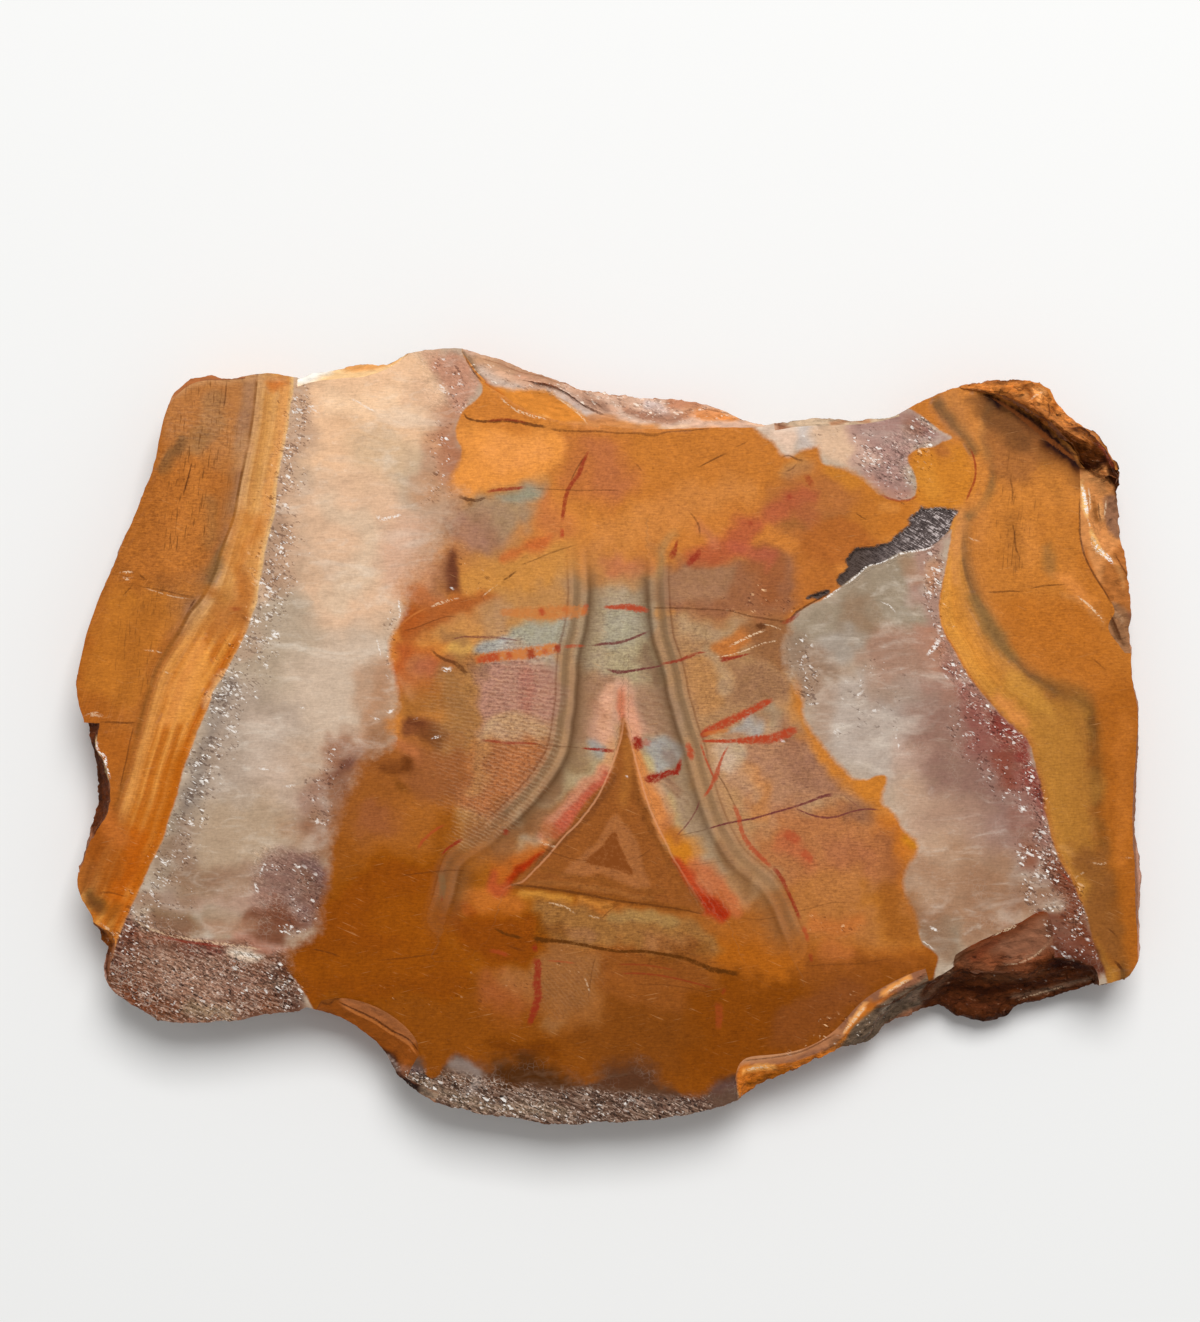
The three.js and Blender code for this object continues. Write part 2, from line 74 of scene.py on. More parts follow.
# Without a seed, noise_vector would be different in every run.
SEED = 1
noise.seed_set(SEED)

# Lengths are in millimetres until a mesh is made.
MM = 0.001
RIM_EDGE = 0.6  # longest edge of the broken and natural rim's mesh
FACE_STEP = 0.45  # spacing of the upper face's points
FIGURE_STEP = 0.29  # the same in the finely drawn middle
DRUSE_STEP = 0.24  # the same in the pocket of crystals
UNDER_STEP = 1.3  # the same on the underside
CREASE = math.radians(33)  # edges that are sharper than this stay edges
WASH_STEP = 0.6  # spacing of the points of a smoothed path
FIGURE_LINE_STEP = 0.3  # the same for the lines of the figure
MARK_STEP = 0.25  # the same for small marks
WANDER = 0.75  # how far a soft edge wanders, as a share of its fade
FARTHEST_WANDER = 1.3  # and the most that it wanders

# The paths are drawn over a picture of the slab from above.
PIXELS = 10  # in a millimetre
MIDDLE = (610, 735)  # the pixel at the slab's middle
OFFSET = (0.02, 0.018)  # the middle's place, which centres the outline

# The pattern as drawn. Colours are (red, green, blue) out of 255, and each row of a wash is
# its colour, how far its edge fades, how strongly it covers, and its path. A path goes round an
# area, but where its points have a third number, their width, it is a stroke.
QUARTZ_LEFT_EDGE = (
    "293,374 293,390 290,405 287,430 283,450 279,470 276,490 275,510 270,530 265,550 262,570"
    " 258,590 257,602 252,615 247,630 240,645 232,660 224,675 214,690 209,705 203,720 196,735"
    " 191,750 185,765 181,780 176,800 170,817 163,840 153,860 144,880 135,900 126,920 118,940"
    " 112,960 107,975"
)
QUARTZ_RIGHT_EDGE = (
    "311,1003 305,993 298,982 290,972 286,962 286,953 295,943 310,935 318,925 320,905 326,890"
    " 328,870 330,850 335,820 340,805 348,790 354,775 358,762 372,755 385,748 396,738 388,724"
    " 396,712 398,700 395,680 391,665 389,650 391,637 400,622 404,605 402,590 410,575 425,560"
    " 440,540 448,520 455,506 462,497 456,492 451,485 451,475 457,465 461,455 461,447 457,440"
    " 455,430 458,420 463,410 475,400 483,388 478,378 470,366 462,352"
)
QUARTZ_LEFT = QUARTZ_LEFT_EDGE + " 100,1045 322,1045 " + QUARTZ_RIGHT_EDGE + " 470,330 290,335"
QUARTZ_RIGHT_TOP = (
    "790,622 797,612 803,609 812,604 820,601 830,594 842,586 852,578 860,573 868,566 882,563"
    " 890,558 900,553 912,551 925,549 937,543 943,537 952,529"
)
QUARTZ_RIGHT_SIDE = (
    "952,529 950,545 947,560 944,575 941,590 939,605 940,620 945,635 951,645 957,655 962,665"
    " 968,675 975,685 985,697 996,710 1008,722 1020,733 1028,741 1032,752 1035,765 1039,780"
    " 1042,795 1044,810 1048,825 1051,838 1055,850 1060,862 1066,872 1071,880 1076,892 1081,903"
    " 1086,915 1089,928 1092,940 1096,952 1100,962 1104,972"
)
QUARTZ_RIGHT_INNER = (
    "938,957 932,950 922,943 919,936 918,925 914,912 908,900 904,888 904,875 908,865 915,855"
    " 918,848 915,840 908,834 900,825 895,815 888,808 882,803 882,795 885,785 887,776 880,775"
    " 868,779 856,779 845,770 835,760 825,748 815,735 806,722 803,712 803,700 799,690 795,680"
    " 790,672 786,660 784,650 786,640 790,630"
)
QUARTZ_RIGHT = " ".join([
    QUARTZ_RIGHT_TOP, QUARTZ_RIGHT_SIDE, "1104,1010 935,1020 936,965", QUARTZ_RIGHT_INNER,
])
QUARTZ_TOP = (
    "757,430 765,436 775,443 780,452 788,456 800,451 812,447 819,446 820,455 822,462 835,466"
    " 850,470 862,477 872,485 880,492 890,498 902,500 914,497 917,488 916,478 912,468 907,458"
    " 912,452 920,448 935,446 943,441 953,438 940,430 928,420 915,411 905,404 905,385 750,395"
)
QUARTZ_FOOT = (
    "385,1085 392,1072 400,1061 410,1056 420,1057 425,1064 426,1074 433,1078 440,1074 444,1064"
    " 450,1060 456,1053 466,1057 480,1067 489,1070 494,1060 503,1056 510,1060 516,1057 520,1050"
    " 530,1053 541,1059 552,1066 561,1071 572,1077 583,1083 596,1080 602,1068 611,1062 622,1063"
    " 631,1058 645,1061 655,1068 660,1082 671,1086 684,1094 700,1095 709,1090 718,1079 729,1076"
    " 737,1073 741,1078 741,1100 700,1135 560,1150 430,1135"
)
POCKET = (
    "960,511 955,509 948,508 940,507 932,508 925,508 921,506 918,512 912,515 909,520 910,525"
    " 904,529 898,533 893,540 885,543 872,546 862,547 852,550 849,556 845,562 848,567 843,572"
    " 836,579 838,585 848,586 858,579 868,570 882,567 890,562 900,557 912,555 925,552 937,545"
    " 945,537 950,530 953,521 957,515"
)
POCKET_TAIL = "806,598 812,594 822,591 833,589 828,594 818,599"

# How soft the quartz's boundary is: the width of the change, in pixels, the fade and the stroke.
BOUNDARY_SOFTNESS = [
    (18, 30, "462,500,50 440,540,60 415,572,60 403,592,50"),
    (4, 14, "398,612,30 390,650,30 397,700,30"),
    (10, 20, "392,720,30 375,752,40 350,785,40 338,830,40"),
    (8, 14, "329,865,30 320,910,30"),
    (11, 14, "312,933,36 290,950,36"),
    (8, 16, "792,632,26 787,655,30 796,685,30"),
    (4, 12, "805,715,24 825,748,24 850,775,24"),
    (3.5, 12, "884,790,24 912,840,24 905,880,24 915,920,24"),
    (4, 10, "760,430,24 785,455,24 815,448,24 850,470,24 880,492,20"),
    (5, 12, "400,1060,20 450,1058,24 480,1066,20"),
    (14, 12, "492,1062,26 520,1060,30 560,1074,26 610,1068,30 650,1066,26 660,1082,20"),
    (7, 12, "690,1092,24 730,1078,20"),
]

# Curves that the bands in the side jasper run along.
LEFT_FLOW = (
    "256,372 255,385 252,410 246,450 240,480 233,515 222,545 212,575 200,598 188,612 178,630"
    " 165,650 155,668 147,690 140,715 133,740 126,765 120,790 112,812 103,835 92,860 84,885"
)
RIGHT_FLOW = (
    "925,396 935,405 950,420 962,436 972,450 980,464 982,480 976,496 966,508 963,525 962,550"
    " 968,580 978,605 990,625 1003,648 1017,662 1030,675 1045,683 1055,688 1070,693 1082,700"
    " 1090,712 1094,730 1096,760 1097,790 1100,820 1106,850 1112,880 1118,920 1122,980"
)

JASPER_BASE = (208, 130, 58)
JASPER_WASHES = [
    # Broad changes of the middle.
    ((196, 118, 48), 50, 0.9, "560,420 960,420 960,480 820,500 560,470"),
    ((168, 98, 40), 70, 1.0, "200,830 300,760 450,800 900,860 1000,1100 380,1150 200,1000"),
    ((156, 90, 40), 24, 0.95, "290,745 400,748 420,800 370,850 345,960 240,990 250,850"),
    ((142, 76, 20), 50, 1.0, "200,965 450,960 600,985 760,980 960,950 940,1200 300,1200"),
    ((133, 68, 14), 50, 0.8, "690,985 800,975 830,1010 780,1060 700,1085 660,1050"),
    ((128, 70, 24), 40, 0.8, "540,1010 690,1000 690,1060 600,1070"),
    ((144, 72, 4), 40, 0.95, "330,880 380,860 450,850 455,930 440,965 360,970 310,955"),
    ((142, 72, 8), 14, 0.9, "296,950 400,946 465,955 470,985 380,996 296,988"),
    ((158, 84, 14), 14, 0.4, "300,968,26 380,966,30 460,960,24 510,958,18"),
    ((158, 84, 10), 20, 0.6, "390,905,40 420,925,50 430,900,30"),
    ((150, 82, 22), 16, 0.6, "335,880,24 345,860,30 352,838,24"),
    ((156, 90, 38), 26, 0.9, "358,762 405,780 410,815 350,835 340,815"),
    ((158, 92, 55), 16, 0.7, "370,815,30 400,820,24"),
    ((168, 98, 38), 34, 0.7, "410,780 470,800 470,850 400,850"),
    # The bright patch at the upper left and what lies round it.
    ((232, 148, 68), 8, 1.0,
     "456,428 470,424 500,427 530,431 560,436 567,441 561,458 552,470 545,480 530,484 505,485"
     " 485,489 468,496 455,493 449,484 452,474 460,462 462,450 458,440"),
    ((238, 156, 84), 14, 0.5, "495,450,30 530,452,34"),
    ((205, 124, 52), 10, 0.9, "462,412 475,400 484,386 500,392 520,402 550,415 540,424 470,418"),
    ((192, 112, 60), 26, 0.8, "575,440 630,445 632,490 600,498 568,490"),
    ((186, 108, 66), 16, 0.6, "600,452,26 612,482,26"),
    ((166, 134, 104), 22, 0.95,
     "466,502 500,492 550,488 538,508 526,530 505,548 478,552 462,535"),
    ((150, 148, 128), 10, 0.8, "505,497,8 528,497,14 542,490,6"),
    ((160, 112, 86), 34, 0.85, "440,505 480,515 520,545 500,562 455,556 438,530"),
    ((176, 128, 104), 18, 0.5, "452,515,26 470,540,26"),
    ((212, 128, 62), 20, 0.7, "528,520 548,492 565,500 562,545 520,560"),
    ((202, 140, 70), 26, 0.75, "478,562 572,552 580,606 480,604 462,590"),
    ((196, 92, 44), 9, 0.7, "528,548,12 540,543,14 546,538,6"),
    ((196, 92, 44), 8, 0.6, "503,558,9 518,552,9"),
    ((188, 110, 68), 22, 0.5, "545,500,20 553,530,20"),
    # The hollow lobes beside the left quartz.
    ((198, 142, 108), 26, 0.8, "402,558 442,548 446,575 438,592 400,588"),
    ((182, 104, 60), 14, 0.8, "405,590 440,588 450,598 436,604 412,602"),
    ((112, 62, 40), 9, 1.0, "444,572 447,560 453,553 459,561 462,574 463,590 460,595 450,592"),
    ((158, 104, 70), 12, 0.7, "430,580 445,562 450,580 448,596 436,592"),
    ((172, 94, 44), 12, 1.0,
     "398,628 404,612 420,602 440,600 462,597 500,604 505,612 440,626 402,634"),
    ((172, 86, 34), 10, 0.8, "402,622 412,612 428,608 420,624 405,632"),
    ((200, 142, 82), 16, 0.8, "430,630 470,612 560,606 560,618 500,632 470,640"),
    ((190, 104, 48), 14, 1.0,
     "391,640 410,632 428,640 440,656 462,664 466,676 450,690 420,700 400,700 393,665"),
    ((182, 90, 42), 12, 0.8, "402,645,16 408,655,16 404,680,14"),
    ((186, 116, 72), 12, 0.8, "420,660,18 424,676,20"),
    ((154, 100, 58), 12, 0.7, "448,672,14 452,688,14"),
    ((176, 98, 66), 12, 0.7, "430,668,22 440,680,18"),
    ((216, 166, 86), 10, 0.9, "443,646 452,638 470,640 474,652 466,662 452,658"),
    ((166, 104, 48), 16, 0.95, "400,695 430,690 462,690 466,704 440,716 410,716 399,708"),
    ((168, 118, 66), 12, 0.7, "448,682,20 462,676,14"),
    ((128, 72, 42), 9, 0.95, "406,722 414,717 424,720 440,728 446,734 438,740 420,738 408,734"),
    ((104, 54, 32), 6, 0.7, "414,720,8 420,724,8"),
    ((104, 52, 28), 5, 0.8, "436,738,7 445,734,6"),
    ((160, 112, 66), 22, 0.85, "448,700 480,660 484,745 452,760 436,742"),
    ((150, 88, 48), 26, 0.9, "400,745 450,745 476,765 466,800 415,790 400,770"),
    ((190, 112, 66), 12, 0.7, "398,742,16 408,752,16"),
    ((110, 58, 24), 7, 0.95, "398,764 402,757 410,760 412,770 404,775 380,770 384,764"),
    ((128, 72, 26), 7, 0.8, "400,786,10 405,788,8"),
    ((150, 86, 40), 10, 0.6, "372,765,14 395,768,12"),
    # The figure's ground.
    ((182, 138, 98), 26, 0.9,
     "486,655 486,610 530,590 590,570 655,570 720,600 790,640 800,690 840,750 872,790 880,830"
     " 800,870 740,900 700,860 560,850 500,850 470,820 486,740"),
    ((176, 150, 120), 14, 0.9,
     "592,585 650,580 656,640 676,720 694,790 712,850 726,880 708,890 690,860 668,830 640,770"
     " 624,716 604,770 560,830 520,850 500,835 555,780 580,720"),
    # The figure's left field.
    ((192, 130, 66), 16, 0.6, "500,600 572,600 572,622 505,624"),
    ((168, 162, 142), 12, 0.95, "512,626 560,622 572,622 570,645 520,648 506,640"),
    ((160, 160, 156), 8, 0.9, "474,644 500,638 512,642 512,650 486,656 474,654"),
    ((184, 174, 162), 8, 0.7, "496,648,8 510,644,8"),
    ((176, 158, 140), 12, 0.8, "486,664 560,652 562,676 490,680"),
    ((178, 128, 108), 16, 0.95, "486,676 556,672 556,724 540,738 484,738"),
    ((172, 104, 88), 10, 0.5, "526,676,12 528,712,12"),
    ((186, 146, 104), 10, 0.8, "482,726 548,728 546,742 482,744"),
    ((190, 156, 120), 8, 0.6, "486,724 500,724 500,736 486,738"),
    ((168, 102, 60), 16, 0.95, "478,746 545,746 535,770 510,800 488,820 466,812 464,780"),
    ((188, 116, 70), 14, 0.5, "520,752,16 508,780,20 490,806,20"),
    ((178, 128, 78), 10, 0.6, "484,750,14 476,790,14"),
    ((186, 140, 88), 16, 0.6, "455,812 480,825 468,850 452,840"),
    # Between the two legs of the figure, above its point.
    ((172, 150, 120), 14, 0.95, "592,600 650,590 652,640 660,668 612,672 590,668"),
    ((168, 160, 138), 12, 0.7, "604,612 644,612 648,640 604,640"),
    ((174, 156, 120), 14, 0.7, "608,646 650,644 660,668 612,668"),
    ((176, 152, 124), 12, 0.7, "600,585 648,584 646,600 600,602"),
    ((200, 128, 66), 16, 0.6, "592,540 640,545 650,580 592,584"),
    ((192, 112, 74), 14, 0.7, "612,570,14 640,568,16 656,566,8"),
    ((166, 122, 92), 16, 0.9, "584,672 612,672 606,720 600,745 580,745"),
    ((164, 124, 96), 16, 0.9, "640,680 664,680 676,730 676,745 648,740 640,720"),
    ((160, 154, 146), 9, 0.9, "585,742 600,738 616,748 612,756 588,754"),
    ((164, 160, 154), 9, 0.9, "648,744 680,744 680,760 672,770 658,774 650,764"),
    ((196, 172, 120), 8, 0.9, "640,752 652,758 656,772 648,776 642,768"),
    ((180, 156, 118), 14, 0.8, "574,760 612,758 608,775 590,795 562,800 566,775"),
    ((152, 98, 60), 14, 0.85, "550,800 578,790 560,815 530,840 520,828"),
    ((166, 136, 106), 14, 0.9, "662,778 690,782 702,812 690,832 668,828 672,800"),
    ((192, 160, 112), 8, 0.8, "668,800,10 676,822,10 690,845,10"),
    ((206, 128, 56), 10, 0.7, "668,832 690,834 702,852 694,862 676,858"),
    ((196, 130, 84), 10, 0.6, "705,868,14 724,888,14 745,905,14"),
    # Right field of the figure.
    ((172, 128, 88), 22, 0.9, "660,612 735,614 780,640 790,690 770,702 700,735 688,690 668,650"),
    ((184, 130, 80), 14, 0.9, "680,662 720,660 722,700 690,712 686,690"),
    ((180, 150, 116), 12, 0.6, "690,630,18 735,632,16"),
    ((154, 110, 78), 18, 0.85, "722,664 770,668 792,690 770,704 730,706"),
    ((182, 156, 124), 10, 0.5, "712,652,14 724,690,10"),
    ((192, 112, 52), 9, 0.85, "714,650 726,634 745,628 770,618 782,620 770,634 740,650 726,656"),
    ((214, 140, 62), 6, 0.8, "660,614,10 676,612,8"),
    ((146, 96, 60), 14, 0.85, "745,622 785,612 800,640 790,668 765,660"),
    ((170, 160, 150), 8, 0.95, "728,734 740,722 758,714 766,718 764,730 742,735"),
    ((184, 168, 138), 8, 0.8, "770,708,10 778,722,12 770,732,8"),
    ((176, 126, 94), 20, 0.95, "728,744 800,738 840,770 862,800 850,815 760,825 738,800 722,775"),
    ((188, 164, 134), 10, 0.8, "722,744 745,744 740,770 726,775"),
    ((198, 128, 70), 14, 0.7, "748,775,16 764,795,20 752,815,16"),
    ((156, 108, 82), 14, 0.7, "790,760,26 830,785,26"),
    ((176, 160, 128), 8, 0.7, "800,806 835,796 860,806 840,816 815,815"),
    ((202, 124, 50), 14, 0.95,
     "797,690,18 803,712,20 815,738,22 835,762,24 858,785,24 880,800,20"),
    ((202, 124, 46), 10, 0.95, "852,775 887,774 884,796 870,800 858,794"),
    ((196, 112, 40), 14, 0.9, "876,812 900,828 917,846 906,866 902,890 890,900 880,860"),
    ((200, 130, 30), 6, 0.7, "905,838,8 916,846,8"),
    ((180, 112, 66), 26, 0.9, "760,826 870,812 888,850 890,880 800,890 775,870 748,845"),
    ((186, 96, 60), 12, 0.6, "782,838,16 800,848,18 808,862,10"),
    ((172, 104, 70), 16, 0.5, "840,850,30 860,872,30"),
    ((184, 118, 62), 22, 0.8, "790,885 890,885 915,915 930,945 810,945"),
    ((198, 110, 52), 14, 0.6, "815,925,20 850,925,24"),
    ((192, 118, 40), 16, 0.7, "880,900,26 900,930,26 915,945,18"),
    ((172, 96, 32), 22, 0.8, "720,930 790,940 880,945 940,958 900,972 790,975 720,965"),
    ((176, 96, 24), 18, 0.8, "730,955,34 775,965,30"),
    ((140, 76, 30), 16, 0.7, "800,965 900,960 930,965 880,985 850,1010 800,1000"),
    ((134, 74, 36), 18, 0.7, "820,985 870,990 840,1020 790,1045 770,1040"),
    # Above the figure on the right.
    ((200, 120, 52), 26, 0.7, "640,500 760,500 830,540 840,580 780,610 650,575"),
    ((182, 106, 46), 20, 0.85, "790,560 842,560 840,585 800,612 775,615 760,590"),
    ((152, 98, 68), 20, 0.9, "664,572 720,566 790,565 800,590 780,612 720,612 664,608"),
    ((164, 120, 88), 12, 0.8, "655,574 700,570 740,575 735,585 660,590"),
    ((158, 92, 52), 14, 0.8, "762,560,26 770,590,26"),
    ((176, 106, 56), 22, 0.85, "778,480 850,478 868,520 850,532 785,530 762,515"),
    ((158, 98, 50), 12, 0.7, "790,518,16 855,522,14"),
    ((180, 88, 58), 12, 0.7, "812,500,10 795,496,20 780,505,18 768,512,14"),
    ((176, 84, 56), 12, 0.75, "756,520,12 745,532,26 720,552,26 694,558,18"),
    ((176, 96, 60), 12, 0.6, "800,505,16 812,520,14"),
    ((184, 92, 66), 10, 0.7, "735,545,16 765,560,14"),
    ((202, 122, 84), 10, 0.6, "702,530,10 712,545,10"),
    ((176, 134, 84), 10, 0.7, "672,534,10 664,552,10 658,575,10"),
    ((190, 150, 104), 12, 0.5, "785,468,16 800,458,12"),
    ((176, 118, 74), 10, 0.7, "788,472,14 805,462,12"),
    ((204, 128, 44), 12, 0.8, "825,470,14 860,490,18 905,512,20"),
    ((190, 114, 44), 16, 0.9, "860,490 912,502 908,520 880,540 850,545"),
    ((174, 98, 42), 14, 0.85, "802,530 865,528 878,545 850,560 805,558"),
    ((206, 128, 44), 10, 1.0, "912,452 945,441 962,447 972,480 965,500 955,508 918,506"),
    ((214, 142, 56), 12, 0.5, "925,470,20 940,490,20"),
    ((196, 116, 42), 14, 0.6, "880,500 915,505 905,528 885,540"),
    ((210, 136, 70), 22, 0.6, "640,525,40 700,500,40 740,490,30"),
    ((210, 136, 74), 20, 0.4, "600,560,20 608,520,24"),
    # The figure's foot.
    ((166, 94, 26), 14, 0.9, "470,862 510,884 560,892 600,898 540,912 500,915 468,905"),
    ((206, 142, 60), 7, 0.8, "518,895,8 545,897,10 570,900,6"),
    ((204, 132, 58), 6, 0.8, "582,900,8 600,902,9 612,906,5"),
    ((156, 106, 56), 12, 0.95,
     "528,910 560,905 610,912 650,910 700,922 722,950 700,962 640,950 600,946 540,938"),
    ((172, 134, 80), 8, 0.7, "612,916,12 640,916,14 672,920,12"),
    ((168, 108, 66), 10, 0.6, "650,940,16 690,948,16"),
    ((160, 108, 76), 8, 0.5, "545,928,10 590,936,10"),
    ((196, 110, 44), 12, 0.8, "468,900 500,892 520,905 505,925 475,920"),
    ((200, 100, 52), 6, 0.7, "466,908,8 474,914,8"),
    ((154, 100, 56), 24, 0.85, "542,952 600,954 602,1005 585,1025 540,1010"),
    ((174, 96, 58), 28, 0.6, "480,980 528,970 528,1010 490,1010"),
    ((168, 112, 62), 24, 0.6, "508,955 530,955 528,1000 512,990"),
    ((172, 100, 40), 24, 0.4, "545,1015,20 570,1022,20 600,1000,16"),
    ((140, 78, 32), 16, 0.85, "606,955 690,962 715,985 640,985 604,975"),
    ((158, 90, 40), 16, 0.5, "620,990,30 680,1000,30"),
    # The flame along the outside of the inner triangle.
    ((204, 152, 124), 12, 0.9, "622,676 640,700 646,742 628,744 622,722 610,744 596,744 602,700"),
    ((224, 166, 132), 6, 0.8, "610,688,10 607,712,13 604,738,14"),
    ((222, 156, 122), 6, 0.85, "630,700,8 635,720,13 637,738,12"),
    ((204, 116, 82), 5, 0.85, "622,688,6 622,704,9 624,716,6"),
    ((208, 150, 104), 8, 0.9, "609,746,14 605,762,16 598,776,16"),
    ((206, 132, 100), 8, 0.8, "600,772,16 586,790,18 570,808,18 553,824,16"),
    ((190, 90, 64), 6, 0.95, "605,774,8 597,786,12 587,800,14 576,812,15 565,823,15 556,833,12"),
    ((196, 118, 84), 6, 0.7, "548,828,12 544,838,10"),
    ((224, 190, 164), 4, 0.8, "541,841,4 548,845,6 556,847,4"),
    ((192, 100, 36), 10, 0.8, "547,848,12 532,854,14 514,862,16 498,876,16"),
    ((166, 46, 12), 6, 0.95, "544,855,7 531,865,13 518,873,15 508,880,10"),
    ((184, 80, 44), 7, 0.8, "506,884,10 496,892,13 490,886,9 492,878,7"),
    ((214, 130, 68), 6, 0.9, "636,748,8 640,765,12 645,780,14 652,800,15 660,818,14 667,834,12"),
    ((208, 144, 98), 7, 0.6, "652,775,8 662,800,9 672,822,9"),
    ((204, 124, 34), 7, 0.95, "671,834,13 680,848,17 687,860,12"),
    ((196, 106, 62), 9, 0.8, "694,866,14 710,882,18 728,900,16 736,914,10"),
    ((184, 68, 34), 7, 0.95, "676,862,9 686,876,16 696,890,18 708,903,18 722,914,14"),
    ((168, 42, 14), 6, 0.85, "702,898,9 714,906,12 724,915,9"),
    # Darker and lighter places over the broad ones.
    ((158, 110, 70), 10, 0.7, "446,636,14 462,642,16"),
    ((112, 64, 32), 8, 0.6, "424,734,14 440,740,14"),
    ((206, 176, 150), 14, 0.65, "716,752,20 724,770,20"),
    ((196, 152, 116), 16, 0.6, "740,778,20 748,790,20"),
    ((128, 82, 52), 10, 0.6, "546,792,18 560,778,14"),
    ((140, 92, 66), 8, 0.5, "668,780,12 676,790,12"),
    ((126, 92, 70), 5, 0.5, "646,648,8 652,664,8 656,680,8"),
    ((150, 82, 20), 16, 0.75, "448,820,26 452,850,34 456,880,30"),
    ((140, 84, 42), 12, 0.65, "478,832,20 505,836,16 528,826,14 530,806,14"),
    ((146, 98, 72), 10, 0.7, "850,812,16 870,812,18"),
    ((136, 64, 2), 22, 0.8, "450,915 500,915 542,926 545,945 510,965 465,952"),
    ((134, 58, 4), 8, 0.7, "518,880,12 536,876,12"),
    ((154, 88, 34), 14, 0.75, "884,892,26 892,915,26 910,936,20"),
    ((188, 108, 54), 16, 0.7, "832,950,26 848,956,22"),
    ((206, 130, 68), 5, 0.9, "575,424,10 600,426,10 640,428,8"),
    ((140, 96, 72), 8, 0.6, "476,669,10 486,673,10"),
    ((196, 136, 92), 12, 0.6, "405,682,12 412,694,12"),
    ((218, 168, 138), 8, 0.5, "618,682,8 627,692,8"),
    ((150, 112, 84), 12, 0.6, "764,712,16 776,716,14"),
    ((192, 150, 114), 12, 0.6, "494,734,16 518,738,16"),
    ((130, 100, 84), 7, 0.5, "667,754,9 677,768,9"),
    ((146, 88, 46), 14, 0.65, "500,806,20 505,832,24 500,856,20"),
    ((140, 88, 48), 10, 0.5, "716,850,14 726,866,12"),
    ((150, 90, 54), 16, 0.7, "884,846,20 893,872,20"),
    ((122, 70, 22), 14, 0.6, "544,930,16 562,932,16"),
    ((120, 64, 20), 16, 0.6, "664,950,20 700,954,18"),
    ((106, 52, 8), 14, 0.6, "498,1040,16 528,1046,18 556,1056,12"),
    ((150, 100, 62), 8, 0.6, "955,398,12 964,420,14 967,440,12"),
    ((134, 60, 4), 16, 0.6, "516,880,18 540,884,18"),
    ((132, 70, 8), 14, 0.5, "446,880,16 466,884,16"),
    ((146, 94, 50), 14, 0.6, "740,874,16 748,886,16"),
    ((148, 98, 72), 14, 0.7, "786,730,18 798,742,18"),
    ((172, 100, 54), 10, 0.6, "669,826,12 678,838,12"),
    ((162, 94, 44), 10, 0.5, "548,828,12 558,838,12"),
    ((140, 100, 66), 12, 0.5, "576,752,14 576,768,14"),
    ((146, 96, 60), 10, 0.6, "452,660,14 476,664,14"),
    ((132, 92, 62), 12, 0.5, "642,586,16 652,600,16"),
    ((128, 90, 68), 12, 0.5, "644,660,14 652,672,14"),
    ((158, 114, 74), 12, 0.5, "548,1022,14 560,1024,12"),
    ((224, 148, 74), 6, 0.5, "880,506,8 894,507,8"),
    ((174, 120, 90), 12, 0.5, "594,706,12 606,716,12"),
    ((122, 48, 2), 16, 0.6, "518,878,16 538,884,16"),
    # The fill of the figure's inner triangle.
    ((150, 86, 38), 3.5, 1.0,
     "625,716 633,756 643,797 658,832 671,858 686,885 706,912 690,912 640,904 600,898 560,890"
     " 510,884 528,868 548,850 566,830 588,800 603,782 615,752"),
    ((176, 110, 48), 10, 0.6, "626,742,8 626,770,14 622,800,16"),
    ((124, 70, 34), 5, 0.7, "612,775,5 602,796,7 590,812,8 574,829,8 556,846,8 540,862,6"),
    ((132, 76, 32), 5, 0.6, "632,770,4 640,800,6 650,826,6 664,850,6 682,878,6 700,902,5"),
    ((170, 106, 60), 5, 0.85, "616,814 600,836 574,862 560,874 600,876 648,886 642,860 630,832"),
    ((140, 82, 34), 5, 0.6, "545,868,4 570,876,6 610,884,6 660,892,5"),
    ((162, 104, 52), 4, 0.5, "530,882,4 560,884,5 600,890,5 650,898,4"),
    ((132, 74, 24), 5, 0.7, "516,887,4 560,892,6 600,898,6 650,904,5 690,910,4"),
]

